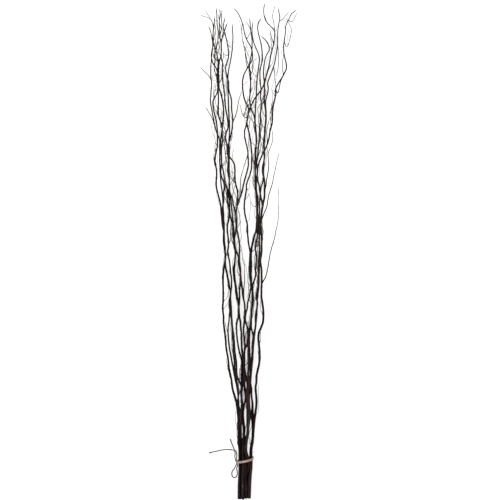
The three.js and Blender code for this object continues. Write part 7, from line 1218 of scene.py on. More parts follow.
    [-49.78, -389.52, 16.92, 0.85], [-52.03, -382.71, 18.42, 0.83], [-55.26, -376.28, 19.89, 0.82], [-56.71, -369.25, 21.3, 0.8], [-57.82, -362.15, 22.62, 0.79],
    [-60.46, -355.45, 23.86, 0.77], [-61.91, -348.44, 25.02, 0.76], [-62.08, -341.24, 26.11, 0.74], [-63.79, -334.26, 27.16, 0.73], [-65.25, -327.23, 28.21, 0.71],
    [-64.8, -320.05, 29.29, 0.7], [-64.75, -317.65, 29.66, 0.69],
   ],
   [
    [-74.02, -197.28, 18.78, 0.85], [-73.25, -190.12, 18.1, 0.83], [-73.67, -182.95, 17.15, 0.81], [-74.64, -175.82, 15.74, 0.78], [-72.92, -168.91, 13.81, 0.76],
    [-68.48, -163.26, 11.45, 0.74], [-64.13, -157.54, 8.88, 0.72], [-60.96, -151.07, 6.38, 0.7], [-59.8, -148.97, 5.61, 0.69],
   ],
   [
    [-72.43, -226.97, 15.23, 0.85], [-74.35, -220.1, 15.93, 0.81], [-73.53, -212.96, 14.62, 0.77], [-72.85, -205.8, 11.16, 0.73], [-74.14, -198.74, 7.37, 0.69],
   ],
   [
    [-74.95, -113.62, 22.56, 0.85], [-76.62, -106.62, 23.35, 0.83], [-76.6, -99.43, 24.17, 0.81], [-76.43, -92.24, 25.06, 0.78], [-77.76, -85.18, 26.01, 0.76],
    [-79.11, -78.11, 27.02, 0.74], [-78.78, -70.93, 28.06, 0.72], [-78.2, -63.76, 29.09, 0.7], [-78.34, -61.37, 29.42, 0.69],
   ],
   [
    [-75.77, -149.49, 20.35, 0.85], [-70.68, -144.4, 20.45, 0.83], [-65.78, -139.14, 20.59, 0.81], [-62.66, -132.69, 20.82, 0.79], [-61.19, -125.64, 21.16, 0.78],
    [-59.68, -118.6, 21.61, 0.76], [-58.88, -111.47, 22.14, 0.74], [-60.45, -104.47, 22.71, 0.72], [-63.2, -97.81, 23.26, 0.7], [-64.91, -93.33, 23.61, 0.69],
   ],
  ],
  "willow_stem_06": [
   [
    [-26.02, -118.42, 13.98, 0.7], [-29.14, -109.85, 14.33, 0.68], [-29.1, -100.26, 15.69, 0.65], [-26.1, -91.33, 16.98, 0.62], [-26.06, -81.74, 18.05, 0.59],
    [-28.13, -72.58, 18.79, 0.56], [-29.13, -63.09, 19.21, 0.53], [-31.93, -54.09, 19.39, 0.51], [-32.1, -44.53, 19.48, 0.48], [-35.13, -35.59, 19.67, 0.45],
    [-35.08, -26, 20.1, 0.42], [-34.83, -16.41, 20.85, 0.39], [-34.88, -14.01, 21.09, 0.39],
   ],
   [
    [-19.58, -292.97, 10.1, 0.54], [-20, -283.39, 11.25, 0.52], [-21.45, -274.14, 10.92, 0.5], [-23.04, -264.85, 10.44, 0.47], [-23.04, -255.25, 9.96, 0.45],
    [-23.04, -245.65, 9.67, 0.43], [-23.04, -236.05, 9.68, 0.4], [-23.04, -226.45, 10.02, 0.38], [-20.4, -217.4, 10.63, 0.36], [-21.15, -208.1, 11.39, 0.34],
    [-23.24, -198.83, 12.11, 0.34], [-25.72, -194.72, 12.4, 0.34],
   ],
   [
    [-32.17, 179.98, 16.09, 0.59], [-32.17, 189.58, 16.36, 0.56], [-36.74, 198.01, 17.03, 0.54], [-39.14, 207.13, 18.02, 0.52], [-43.36, 215.7, 19.33, 0.49],
    [-51.53, 220.66, 20.89, 0.47], [-60.01, 225.16, 22.56, 0.44], [-62.04, 234.26, 24.15, 0.42], [-62.04, 243.86, 25.52, 0.39], [-67.93, 251.13, 26.57, 0.37],
    [-67.93, 260.73, 27.29, 0.34], [-64.77, 267.2, 27.67, 0.34],
   ],
   [
    [-20.19, -247.99, 14.23, 0.4], [-14.17, -240.79, 14.08, 0.38], [-14.01, -231.21, 14.55, 0.37], [-14.05, -221.61, 15.34, 0.35], [-13.88, -212.02, 16.45, 0.34],
    [-13.92, -202.42, 17.77, 0.34], [-13.97, -192.83, 19.15, 0.34], [-14.01, -183.24, 20.4, 0.34], [-10.89, -174.33, 21.4, 0.34], [-7.81, -165.29, 22.06, 0.34],
    [-11.08, -156.44, 22.42, 0.34], [-12.18, -147.07, 22.58, 0.34], [-14.02, -142.64, 22.64, 0.34],
   ],
   [
    [-33.98, 135.14, 18.16, 0.4], [-29.08, 142.97, 19.23, 0.37], [-28.91, 152.57, 19.68, 0.34], [-26.47, 161.54, 20.29, 0.34], [-23.21, 170.13, 21.2, 0.34],
    [-26.16, 179.09, 22.44, 0.34], [-26.08, 188.68, 23.96, 0.34], [-26.04, 193.47, 24.79, 0.34],
   ],
   [
    [-14.73, -480.48, 20.79, 0.7], [-11.28, -471.75, 21.77, 0.57], [-8.54, -462.8, 23.56, 0.45], [-7.14, -458.21, 24.41, 0.38],
   ],
   [
    [-23.41, -73.62, 13.65, 0.73], [-29.03, -66.15, 12.29, 0.61], [-33.8, -57.89, 12.38, 0.49], [-35.03, -51.09, 12.62, 0.4],
   ],
   [
    [-47.08, 394.22, 26.17, 0.53], [-50, 402.98, 27.35, 0.43], [-52.98, 411.88, 29.15, 0.34], [-53.03, 414.28, 29.57, 0.34],
   ],
   [
    [-65.88, 558.37, 34.91, 0.4], [-59.18, 564.65, 35.39, 0.36], [-62.49, 572.95, 34.38, 0.34], [-67.9, 580.81, 33.17, 0.34], [-72.66, 589.07, 31.94, 0.34],
    [-74.24, 590.88, 31.65, 0.34],
   ],
   [
    [-48.03, 276.63, 19.18, 0.4], [-46.95, 286.13, 19.27, 0.35], [-47.11, 295.72, 20.32, 0.34], [-44.11, 304.65, 21.29, 0.34], [-44.03, 311.84, 21.87, 0.34],
   ],
   [
    [-55.17, 617.35, 29.54, 0.44], [-53.07, 623.14, 30.87, 0.43], [-57.49, 627.56, 32.19, 0.41], [-60.37, 632.87, 33.52, 0.4], [-63.96, 637.99, 34.85, 0.39],
    [-65.05, 644.19, 36.17, 0.37], [-66.72, 649.84, 37.5, 0.36], [-67.81, 656.04, 38.82, 0.34], [-68.18, 658.11, 39.26, 0.34],
   ],
   [
    [-58.89, 593.49, 29.64, 0.44], [-56.27, 598.76, 30.03, 0.4], [-54.56, 604.56, 30.42, 0.36], [-52.78, 608.36, 30.68, 0.34],
   ],
   [
    [-52.49, 349.7, 25.32, 0.44], [-53.03, 355.93, 26.48, 0.42], [-51.21, 361.18, 27.65, 0.4], [-46.69, 359.28, 28.82, 0.38], [-49.39, 354.42, 29.98, 0.36],
    [-52.95, 358.67, 31.15, 0.34],
   ],
   [
    [-59.7, 513.99, 28.8, 0.72], [-61.37, 520.94, 26.82, 0.67], [-65.59, 526.76, 26.65, 0.62], [-69.58, 532.72, 27.79, 0.58], [-70.44, 534.96, 28.09, 0.56],
   ],
   [
    [-58.39, 324.94, 21.22, 0.72], [-56.47, 331.86, 21.36, 0.7], [-52.45, 337.81, 21.78, 0.68], [-48.32, 343.68, 22.71, 0.66], [-47.19, 350.72, 24.21, 0.64],
    [-48.28, 357.84, 26.26, 0.62], [-47.88, 364.99, 28.66, 0.6], [-45.71, 371.85, 31.14, 0.58], [-45.33, 378.97, 33.41, 0.56],
   ],
   [
    [-36.6, 5.41, 13.86, 0.85], [-40.7, 11.33, 11.98, 0.82], [-44, 17.7, 10.26, 0.79], [-45.85, 24.65, 8.78, 0.77], [-48.71, 31.23, 7.5, 0.74],
    [-52.88, 37.11, 6.3, 0.71], [-55.17, 41.31, 5.46, 0.69],
   ],
   [
    [-31.86, 170.34, 15.21, 0.85], [-31.44, 177.48, 14.18, 0.83], [-33.6, 184.34, 13.25, 0.82], [-35.49, 191.27, 12.48, 0.8], [-36.03, 198.45, 11.91, 0.79],
    [-37.94, 205.34, 11.58, 0.77], [-42.29, 211.05, 11.45, 0.75], [-46.7, 216.73, 11.47, 0.74], [-49.85, 223.2, 11.56, 0.72], [-53.9, 229.11, 11.65, 0.71],
    [-59.92, 233.02, 11.63, 0.69],
   ],
  ],
  "willow_stem_08": [
   [
    [-10.39, -285.51, 7.68, 0.6], [-14.23, -277.12, 8.59, 0.58], [-13.98, -267.53, 9.26, 0.55], [-14.15, -257.93, 10.17, 0.53], [-8.15, -251.13, 11.4, 0.51],
    [-8.14, -241.86, 12.95, 0.48], [-5.59, -232.82, 14.73, 0.46], [-5, -223.28, 16.58, 0.44], [-2, -214.29, 18.32, 0.41], [-6.23, -205.71, 19.82, 0.39],
    [-13.79, -200.61, 20.98, 0.37], [-14.76, -192.26, 21.84, 0.34], [-13.7, -187.61, 22.17, 0.34],
   ],
   [
    [-8.68, 272.22, 10.12, 0.47], [-6.44, 281.38, 12.06, 0.45], [-3.14, 290.35, 12.52, 0.42], [-1.85, 299.62, 12.75, 0.4], [-2.02, 309.22, 12.9, 0.38],
    [0.8, 318.3, 13.15, 0.35], [0.92, 327.89, 13.64, 0.34], [0.84, 337.48, 14.46, 0.34], [0.97, 347.07, 15.6, 0.34], [0.88, 356.66, 16.95, 0.34],
   ],
   [
    [-34.69, 76.58, 8.35, 0.59], [-32.04, 85.63, 8.88, 0.57], [-32.04, 95.23, 8.4, 0.54], [-32.04, 104.83, 8.01, 0.52], [-32.04, 114.43, 7.84, 0.5],
    [-29.07, 123.46, 7.99, 0.47], [-30.23, 132.78, 8.47, 0.45], [-34.9, 141.02, 9.18, 0.43], [-38.82, 149.58, 9.97, 0.4], [-45.49, 156.49, 10.67, 0.38],
    [-46.46, 165.37, 11.12, 0.36], [-46.92, 174.82, 11.25, 0.34], [-46.96, 179.62, 11.19, 0.34],
   ],
   [
    [-25.97, -8.16, 5.81, 0.42], [-31.28, -0.22, 6.17, 0.4], [-34.21, 8.92, 8.01, 0.38], [-35.11, 18.37, 10.01, 0.36], [-33.41, 27.63, 11.99, 0.34],
    [-29.11, 36.16, 13.78, 0.34], [-32.14, 45.09, 15.27, 0.34], [-35.16, 54.03, 16.44, 0.34], [-34.49, 63.6, 17.33, 0.34], [-32.02, 72.84, 18.08, 0.34],
    [-32.1, 77.64, 18.46, 0.34],
   ],
   [
    [-6.25, 380.53, 14.9, 0.43], [-7.98, 389.86, 16.72, 0.39], [-10.7, 398.64, 17.19, 0.34], [-10.99, 408.16, 17.59, 0.34], [-11.15, 417.75, 18.1, 0.34],
    [-9.79, 422.23, 18.45, 0.34],
   ],
   [
    [-10.78, -267.56, 6.8, 0.6], [-8.11, -258.56, 7.45, 0.46], [-8.07, -248.96, 8.53, 0.34],
   ],
   [
    [54.41, 632.7, 18.73, 0.44], [59.87, 631.65, 18.91, 0.43], [60.93, 625.58, 19.08, 0.41], [64.08, 620.13, 19.26, 0.4], [67.23, 614.67, 19.44, 0.39],
    [69.59, 609.28, 19.62, 0.37], [70.13, 603.05, 19.8, 0.36], [73.21, 597.72, 19.98, 0.34], [73.21, 595.62, 20.04, 0.34],
   ],
   [
    [3.38, 424.43, 24.69, 0.52], [4.35, 429.74, 23.01, 0.5], [5.66, 434.97, 21.24, 0.48], [6.56, 440.26, 19.31, 0.47], [5.9, 445.62, 17.19, 0.45],
    [5.87, 451.02, 14.9, 0.43], [4.88, 456.29, 12.49, 0.42], [2.77, 461.26, 10.05, 0.4], [1.3, 466.46, 7.68, 0.38],
   ],
   [
    [-1.51, 296.86, 18.39, 0.52], [-2.12, 302.23, 17.19, 0.5], [-2, 307.62, 15.9, 0.47], [-2.73, 312.94, 14.47, 0.45], [-4.55, 318.02, 12.9, 0.43],
    [-5.6, 323.32, 11.27, 0.4], [-7.91, 328.16, 9.66, 0.38],
   ],
   [
    [25.28, 469.73, 18.62, 0.52], [28.97, 473.68, 17.68, 0.5], [32.97, 477.3, 16.49, 0.48], [35.41, 482.06, 14.86, 0.47], [37.01, 487.21, 12.72, 0.45],
    [38.79, 492.3, 10.11, 0.43], [38.38, 497.65, 7.19, 0.42], [37.65, 502.99, 4.19, 0.4], [36.63, 508.26, 1.5, 0.38],
   ],
   [
    [-8.23, 273.8, 9.88, 0.72], [-4.53, 279.97, 8.75, 0.71], [-2.75, 286.91, 7.56, 0.69], [-2.24, 294.09, 6.27, 0.68], [-0.67, 301.1, 4.82, 0.66],
    [1.96, 307.81, 3.21, 0.65], [3.37, 314.84, 1.5, 0.63], [2.71, 322, 1.5, 0.62], [2.03, 329.16, 1.5, 0.6], [2.87, 336.3, 1.5, 0.59],
    [3.69, 343.44, 1.5, 0.57], [2.42, 350.5, 1.5, 0.56],
   ],
   [
    [-10.46, 352.5, 13.36, 0.72], [-10.3, 359.69, 13.29, 0.7], [-10.66, 366.88, 12.99, 0.68], [-10.06, 374.04, 12.29, 0.67], [-8.02, 380.94, 11.08, 0.65],
    [-6.32, 387.94, 9.36, 0.63], [-4.25, 394.82, 7.23, 0.61], [-0.61, 401.02, 4.86, 0.6], [3.06, 407.21, 2.48, 0.58], [6.63, 413.46, 1.5, 0.56],
   ],
   [
    [-2.89, 311.71, 19.11, 0.72], [-4.19, 318.68, 20.78, 0.69], [-7.77, 324.92, 21.53, 0.66], [-8.58, 332.03, 20.99, 0.62], [-10.14, 338.96, 19.59, 0.59],
    [-14.57, 344.63, 18.26, 0.56],
   ],
   [
    [-34.9, 80.87, 8.11, 0.85], [-38.66, 87, 6.86, 0.82], [-39.59, 94.04, 5.57, 0.79], [-38.51, 101.16, 4.22, 0.76], [-38.16, 108.34, 2.81, 0.73],
    [-34.79, 114.59, 1.5, 0.7], [-33.11, 116.31, 1.5, 0.69],
   ],
   [
    [-34.58, 131.59, 7.87, 0.85], [-32.11, 138.36, 9.55, 0.83], [-28.98, 144.83, 11.25, 0.81], [-26.22, 151.46, 12.97, 0.8], [-25.93, 158.62, 14.72, 0.78],
    [-26.27, 165.81, 16.51, 0.76], [-25.81, 173, 18.32, 0.74], [-26.97, 180.06, 20.14, 0.73], [-30.21, 186.48, 21.97, 0.71], [-33.02, 193.1, 23.78, 0.69],
   ],
   [
    [-34.09, 71.95, 8.76, 0.85], [-30.89, 78.38, 6.49, 0.83], [-26.79, 84.3, 4.34, 0.81], [-24.41, 91.03, 2.42, 0.79], [-24.93, 98.2, 1.5, 0.77],
    [-25.39, 105.37, 1.5, 0.75], [-25.04, 112.56, 1.5, 0.73], [-26.94, 119.44, 1.5, 0.72], [-31.29, 125.16, 1.5, 0.7], [-32.76, 127.06, 1.5, 0.69],
   ],
   [
    [-13.14, 256.67, 12.46, 0.85], [-9.94, 263.12, 15.65, 0.82], [-8.43, 270.14, 18.15, 0.8], [-7.31, 277.24, 19.56, 0.77], [-4.66, 283.93, 19.96, 0.74],
    [-2.8, 290.86, 19.85, 0.72], [-2.48, 298.05, 19.95, 0.69],
   ],
   [
    [-11.24, -260.43, 6.39, 0.85], [-8.23, -254.02, 5.21, 0.83], [-7.87, -246.84, 4.15, 0.81], [-4.96, -240.31, 3.25, 0.78], [-2.37, -233.68, 2.55, 0.76],
    [-3.43, -226.58, 2.01, 0.74], [-2.94, -219.47, 1.55, 0.72], [-1.1, -212.53, 1.5, 0.7], [-1.31, -210.14, 1.5, 0.69],
   ],
  ],
  "willow_stem_10": [
   [
    [-3.51, -384.81, 27.69, 0.8], [-2.14, -375.34, 27.57, 0.75], [-2.76, -365.84, 28.89, 0.69], [-4.96, -356.68, 30.33, 0.64], [-5.04, -347.09, 31.7, 0.59],
    [-3.87, -337.77, 32.86, 0.53], [-5.14, -328.43, 33.7, 0.48], [-4.89, -321.23, 34.11, 0.44],
   ],
   [
    [5.78, 473.77, 37.68, 0.58], [10.19, 482.03, 36.86, 0.55], [13.17, 490.93, 36.49, 0.53], [15.66, 499.89, 35.92, 0.51], [15.95, 509.45, 35.04, 0.49],
    [19.07, 518.35, 33.83, 0.46], [22.66, 527.26, 32.36, 0.44], [25.13, 536.46, 30.77, 0.42], [21.82, 545.28, 29.24, 0.4], [16.92, 553.52, 27.93, 0.37],
    [14.37, 562.72, 26.93, 0.35], [12.79, 572.14, 26.26, 0.34], [14.08, 576.63, 26.03, 0.34],
   ],
   [
    [20.45, 283.11, 28.79, 0.4], [18.71, 292.18, 28.36, 0.38], [19.05, 301.77, 28.16, 0.36], [18.96, 311.36, 27.72, 0.35], [18.67, 320.95, 26.95, 0.34],
    [15.02, 329.76, 25.87, 0.34], [12.91, 339.08, 24.56, 0.34], [13.04, 348.67, 23.18, 0.34], [17.96, 356.87, 21.91, 0.34], [18.85, 366.24, 20.89, 0.34],
    [14.87, 374.97, 20.2, 0.34],
   ],
   [
    [7.05, 509.72, 41.27, 0.4], [10.02, 518.67, 41.77, 0.37], [12.98, 527.63, 40.83, 0.34], [10.23, 536.57, 39.63, 0.34], [12.91, 545.48, 38.31, 0.34],
    [12.91, 555.08, 37.04, 0.34], [13.96, 564.44, 35.99, 0.34], [15.85, 565.91, 35.77, 0.34],
   ],
   [
    [16.01, 412.59, 29.51, 0.4], [15.72, 422.11, 30.77, 0.38], [14.18, 431.37, 30.79, 0.36], [15.93, 439.59, 30.79, 0.34], [23.39, 445.64, 30.95, 0.34],
    [29.15, 453.01, 31.39, 0.34], [31.02, 462.21, 32.17, 0.34], [30.86, 471.81, 33.23, 0.34], [30.69, 481.4, 34.46, 0.34], [30.94, 490.99, 35.68, 0.34],
    [30.9, 493.39, 35.97, 0.34],
   ],
   [
    [13.46, -109.07, 20.67, 0.49], [18.9, -101.52, 22.67, 0.44], [18.86, -91.95, 23.24, 0.39], [19.02, -82.35, 23.71, 0.34], [22.33, -73.54, 24.24, 0.34],
    [24.88, -69.46, 24.58, 0.34],
   ],
   [
    [5.29, 572.36, 32.38, 0.4], [3.51, 581.77, 30.36, 0.37], [-2.06, 589.58, 29.72, 0.35], [0.2, 598.53, 29.36, 0.34], [1.45, 607.75, 29.15, 0.34],
    [-3.42, 615.85, 28.94, 0.34], [-5.15, 625.16, 28.55, 0.34], [-5.02, 632.36, 28.06, 0.34],
   ],
   [
    [14.04, 33.86, 17.74, 0.45], [12.88, 43.37, 17.77, 0.38], [15.99, 52.27, 17.78, 0.34], [18.98, 58.77, 17.61, 0.34],
   ],
   [
    [9.73, -46.64, 23.73, 0.63], [15.83, -39.45, 26.01, 0.48], [16.04, -29.9, 27.29, 0.34],
   ],
   [
    [14.18, 431.37, 30.79, 0.44], [14.18, 435.57, 31.33, 0.43], [14.18, 431.37, 31.88, 0.41], [14.18, 435.57, 32.42, 0.4], [14.18, 431.37, 32.96, 0.39],
    [14.18, 435.57, 33.5, 0.37], [14.18, 431.37, 34.05, 0.36], [14.18, 435.57, 34.59, 0.34], [16, 434.52, 34.77, 0.34],
   ],
   [
    [6.28, 541.15, 32.97, 0.44], [12.32, 539.53, 31.1, 0.43], [11.59, 543.66, 29.23, 0.41], [12.32, 539.53, 27.37, 0.4], [11.59, 543.66, 25.5, 0.39],
    [12.32, 539.53, 23.63, 0.37], [11.59, 543.66, 21.77, 0.36], [12.32, 539.53, 19.9, 0.34], [13.93, 540.88, 19.28, 0.34],
   ],
   [
    [10.45, 603.37, 40.63, 0.44], [14.5, 598.81, 40.93, 0.42], [12.89, 592.77, 41.23, 0.4], [18.55, 590.13, 41.53, 0.38], [17.14, 584.25, 41.83, 0.36],
    [16.07, 578.19, 42.13, 0.34],
   ],
   [
    [19.07, 518.35, 33.83, 0.44], [21.69, 513.08, 36, 0.43], [22.24, 506.8, 38.16, 0.41], [23.96, 501.76, 40.33, 0.4], [29.84, 501.39, 42.49, 0.39],
    [33.86, 506.18, 44.66, 0.37], [33.86, 512.43, 46.82, 0.36], [31.25, 518.01, 48.99, 0.34], [30.89, 520.08, 49.71, 0.34],
   ],
   [
    [5.25, 468.39, 36.1, 0.52], [5.67, 473.76, 37.21, 0.5], [5.12, 479.13, 37.89, 0.47], [5.94, 484.45, 37.89, 0.45], [6.53, 489.8, 37.25, 0.43],
    [6.56, 495.19, 36.29, 0.4], [8.03, 500.38, 35.47, 0.38],
   ],
   [
    [9.97, 427.97, 28.25, 0.52], [9.25, 433.04, 28.1, 0.5], [4.3, 432.5, 28.06, 0.48], [0.86, 428.36, 28.21, 0.47], [1.36, 423.43, 28.58, 0.45],
    [6.48, 423.74, 29.15, 0.43], [10.78, 426.97, 29.84, 0.41], [10.24, 431.78, 30.52, 0.39], [6.75, 432.37, 30.93, 0.38],
   ],
   [
    [5.25, 468.39, 36.1, 0.52], [5.99, 473.73, 32.55, 0.48], [7.01, 479.03, 30.8, 0.44], [6.66, 484.38, 30.72, 0.41], [5.5, 487.79, 30.66, 0.38],
   ],
   [
    [24.59, 328.37, 26.92, 0.52], [27.64, 332.82, 27.94, 0.5], [31.45, 336.65, 28.83, 0.48], [33.64, 341.51, 29.47, 0.47], [34.93, 346.74, 29.83, 0.45],
    [36.93, 351.75, 29.95, 0.43], [36.59, 357.1, 29.93, 0.41], [36.08, 362.45, 29.9, 0.39], [36.11, 366.05, 29.96, 0.38],
   ],
   [
    [24.76, 334.33, 27.42, 0.52], [25.77, 339.63, 28.23, 0.5], [25.01, 344.93, 29.2, 0.48], [24.09, 350.22, 30.42, 0.45], [24.34, 355.6, 31.91, 0.43],
    [22.5, 360.65, 33.55, 0.41], [21.32, 365.88, 35.18, 0.39], [21.28, 367.68, 35.7, 0.38],
   ],
   [
    [7.06, 529.82, 35.82, 0.72], [8.99, 536.75, 35.48, 0.7], [12.7, 542.9, 34.91, 0.67], [14.41, 549.76, 33.98, 0.65], [14.27, 556.94, 32.65, 0.63],
    [15.97, 563.92, 31.01, 0.61], [14.19, 570.82, 29.26, 0.58], [12.51, 577.76, 27.63, 0.56],
   ],
   [
    [4.98, 465.52, 35.25, 0.72], [4.35, 472.69, 33.86, 0.69], [5.88, 479.67, 33.04, 0.65], [9.31, 486, 32.98, 0.62], [11.34, 492.88, 33.33, 0.58],
    [11.97, 497.63, 33.48, 0.56],
   ],
   [
    [20.36, 259.72, 27.22, 0.72], [17.07, 266, 26.98, 0.7], [16.87, 273.19, 26.6, 0.69], [15.52, 280.24, 25.96, 0.67], [14.34, 287.29, 24.99, 0.65],
    [16.99, 293.92, 23.68, 0.63], [20.25, 300.31, 22.07, 0.62], [22.2, 307.24, 20.28, 0.6], [26.67, 312.75, 18.44, 0.58], [32.96, 316.24, 16.7, 0.57],
    [34.92, 317.63, 16.16, 0.56],
   ],
   [
    [20.36, 262.71, 27.44, 0.85], [16.6, 268.85, 27.79, 0.81], [13.69, 275.42, 27.68, 0.77], [13.66, 282.55, 27.07, 0.73], [16.36, 289.2, 26.38, 0.69],
   ],
  ],
  "willow_stem_14": [
   [
    [9.39, -581.61, 9.69, 0.98], [4.28, -573.98, 11.06, 0.91], [6.02, -564.84, 11.48, 0.85], [1.05, -557.42, 11.56, 0.79], [2.42, -548.81, 11.37, 0.73],
    [4.31, -539.77, 11.04, 0.66], [8.37, -531.07, 10.75, 0.6], [9.97, -521.7, 10.65, 0.54],
   ],
   [
    [31.92, -98.03, 5.53, 0.93], [27.9, -89.32, 5.94, 0.82], [28.11, -79.73, 6.98, 0.71], [27.9, -70.14, 7.86, 0.6], [23.07, -65.03, 8.33, 0.51],
   ],
   [
    [39.02, 194.09, 3.47, 0.43], [36.91, 203.2, 4.13, 0.38], [39.02, 212.32, 3.65, 0.34], [42.84, 221.11, 2.85, 0.34], [42.84, 230.71, 1.81, 0.34],
   ],
   [
    [47.1, 256.24, 3.82, 0.4], [52.16, 263.91, 2.59, 0.37], [53.83, 273.15, 2, 0.34], [54.98, 282.54, 1.74, 0.34], [55.15, 292.14, 1.8, 0.34],
    [55.32, 301.74, 2.06, 0.34], [58.12, 310.74, 2.37, 0.34], [57.99, 315.54, 2.49, 0.34],
   ],
   [
    [48.52, 310.22, 4.27, 0.44], [52.57, 305.95, 3.25, 0.43], [48.03, 302.77, 2.24, 0.41], [43.36, 300.2, 1.5, 0.4], [38.82, 298.35, 1.5, 0.39],
    [34.82, 302.4, 1.5, 0.37], [30.77, 298.14, 1.5, 0.36], [33.9, 292.72, 1.5, 0.34], [33.9, 290.62, 1.5, 0.34],
   ],
   [
    [49.8, 341.68, 2.93, 0.44], [51.9, 338.04, 3.56, 0.4], [51.9, 331.79, 4.19, 0.36], [52.27, 327.61, 4.61, 0.34],
   ],
  ],
  "willow_stem_16": [
   [
    [61.18, 552.5, 79.46, 0.52], [69.81, 556.62, 79.03, 0.5], [73.09, 565.41, 77.97, 0.48], [75.32, 574.69, 77.06, 0.46], [77.24, 583.92, 76.45, 0.44],
    [78.94, 593.15, 76.16, 0.42], [80.65, 602.39, 76.17, 0.4], [82.03, 611.7, 76.33, 0.38], [84.05, 620.82, 76.48, 0.36], [85, 630.3, 76.45, 0.34],
    [83.95, 639.65, 76.13, 0.34], [81.9, 648.92, 75.47, 0.34], [82.06, 653.72, 75.03, 0.34],
   ],
   [
    [51.88, 517.75, 71.91, 0.5], [52.18, 527.2, 73.58, 0.48], [52.09, 536.79, 75.05, 0.47], [52.43, 546.39, 76.22, 0.45], [52.68, 555.94, 77.06, 0.43],
    [55.18, 565.11, 77.63, 0.41], [58.14, 574.07, 78.04, 0.39], [64.04, 581.54, 78.48, 0.37], [66.97, 590.56, 79.11, 0.35], [64, 599.51, 80.05, 0.34],
    [64.54, 609.05, 81.31, 0.34], [69.12, 617.48, 82.85, 0.34], [69.77, 622.11, 83.67, 0.34],
   ],
   [
    [40.02, 43.85, 33.49, 0.6], [42.88, 52.38, 35.78, 0.55], [42.96, 61.97, 36.96, 0.5], [42.84, 71.56, 37.8, 0.45], [42.92, 81.15, 38.41, 0.41],
    [42.79, 90.75, 38.93, 0.36], [43.04, 95.54, 39.21, 0.34],
   ],
   [
    [24.83, -384.14, 12, 0.4], [25, -374.54, 10.78, 0.38], [24.96, -364.94, 10.92, 0.36], [25.13, -355.35, 11.35, 0.35], [29.39, -346.79, 11.94, 0.34],
    [33.47, -338.15, 12.53, 0.34], [33.58, -328.72, 12.94, 0.34], [31.03, -319.53, 13.06, 0.34], [31.08, -309.94, 12.84, 0.34], [30.91, -300.34, 12.35, 0.34],
    [30.95, -290.74, 11.71, 0.34], [31.12, -288.35, 11.54, 0.34],
   ],
   [
    [31.49, -272.62, 14.86, 0.4], [30.99, -263.09, 14.52, 0.38], [30.82, -253.5, 15.61, 0.37], [30.87, -243.9, 16.81, 0.35], [31.96, -234.53, 17.94, 0.34],
    [36.02, -225.83, 18.85, 0.34], [42.63, -219.13, 19.44, 0.34], [43, -209.58, 19.71, 0.34], [46, -200.66, 19.73, 0.34], [45.63, -191.07, 19.67, 0.34],
    [42.95, -182.04, 19.69, 0.34], [42.79, -172.44, 19.95, 0.34], [42.74, -170.04, 20.07, 0.34],
   ],
   [
    [21.21, -487.11, 22.9, 0.4], [28.77, -481.47, 25.5, 0.38], [31.12, -472.38, 27.12, 0.36], [31.08, -462.78, 28.41, 0.35], [31.24, -453.18, 29.43, 0.34],
    [30.99, -443.6, 30.32, 0.34], [30.95, -434, 31.25, 0.34], [31.12, -424.41, 32.39, 0.34], [31.08, -414.81, 33.83, 0.34], [30.83, -405.22, 35.61, 0.34],
    [30.99, -395.63, 37.64, 0.34],
   ],
   [
    [55.75, 681.72, 88.49, 0.48], [49.65, 688.92, 89.37, 0.4], [46.33, 697.92, 90.26, 0.34], [45.99, 705.1, 91.1, 0.34],
   ],
   [
    [56.63, 535.1, 75.63, 0.68], [57.31, 544.26, 76.71, 0.54], [63.88, 551.06, 76.52, 0.41], [65.66, 552.66, 76.42, 0.37],
   ],
   [
    [46.12, 329.72, 57.17, 0.52], [43.09, 338.04, 58.08, 0.41], [46.21, 346.61, 58.8, 0.34],
   ],
   [
    [62.85, 561.35, 81.14, 0.44], [59.21, 559.25, 81.31, 0.43], [62.85, 561.35, 81.47, 0.41], [59.21, 559.25, 81.63, 0.4], [62.85, 561.35, 81.8, 0.39],
    [59.21, 559.25, 81.96, 0.37], [62.85, 561.35, 82.12, 0.36], [59.21, 559.25, 82.29, 0.34], [59.21, 561.35, 82.34, 0.34],
   ],
   [
    [65.62, 651.56, 87.19, 0.44], [64, 645.52, 86.14, 0.43], [64.54, 639.39, 85.08, 0.41], [66.65, 633.61, 84.02, 0.4], [67.19, 627.33, 82.96, 0.39],
    [71, 625.55, 81.91, 0.37], [67.01, 629.42, 80.85, 0.36], [66.46, 635.7, 79.79, 0.34], [66.83, 637.77, 79.44, 0.34],
   ],
   [
    [82.03, 611.7, 76.33, 0.44], [80.83, 617.62, 77.23, 0.42], [78.72, 623.41, 78.12, 0.41], [78.72, 629.66, 79.02, 0.4], [78.72, 635.91, 79.91, 0.38],
    [78.72, 642.16, 80.81, 0.36], [73.86, 645.76, 81.71, 0.35], [72.99, 649.67, 82.3, 0.34],
   ],
   [
    [51.88, 517.75, 71.91, 0.44], [54.29, 512.2, 72.19, 0.39], [54.83, 506.07, 72.47, 0.34],
   ],
   [
    [78.34, 654.2, 84.17, 0.44], [83.47, 657.79, 84.24, 0.41], [84.41, 663.4, 84.3, 0.39], [86.16, 669.25, 84.37, 0.36], [88.26, 675.04, 84.43, 0.34],
   ],
   [
    [54.38, 527.16, 73.81, 0.72], [57.18, 533.75, 73.87, 0.69], [60.22, 540.25, 73.56, 0.66], [62.41, 547.1, 72.74, 0.62], [66.56, 552.97, 71.58, 0.59],
    [70.06, 559.23, 70.44, 0.56],
   ],
   [
    [49.78, 371.41, 58.62, 0.72], [43.7, 375.13, 61.86, 0.68], [41.02, 381.72, 63.22, 0.63], [39.73, 388.8, 62.86, 0.59], [38.54, 393.45, 62.63, 0.56],
   ],
   [
    [48.45, 462.1, 73.18, 0.72], [48.4, 469.26, 74.11, 0.68], [47.03, 476.33, 75.37, 0.64], [47.59, 483.47, 77.01, 0.6], [48.92, 490.54, 78.7, 0.56],
   ],
   [
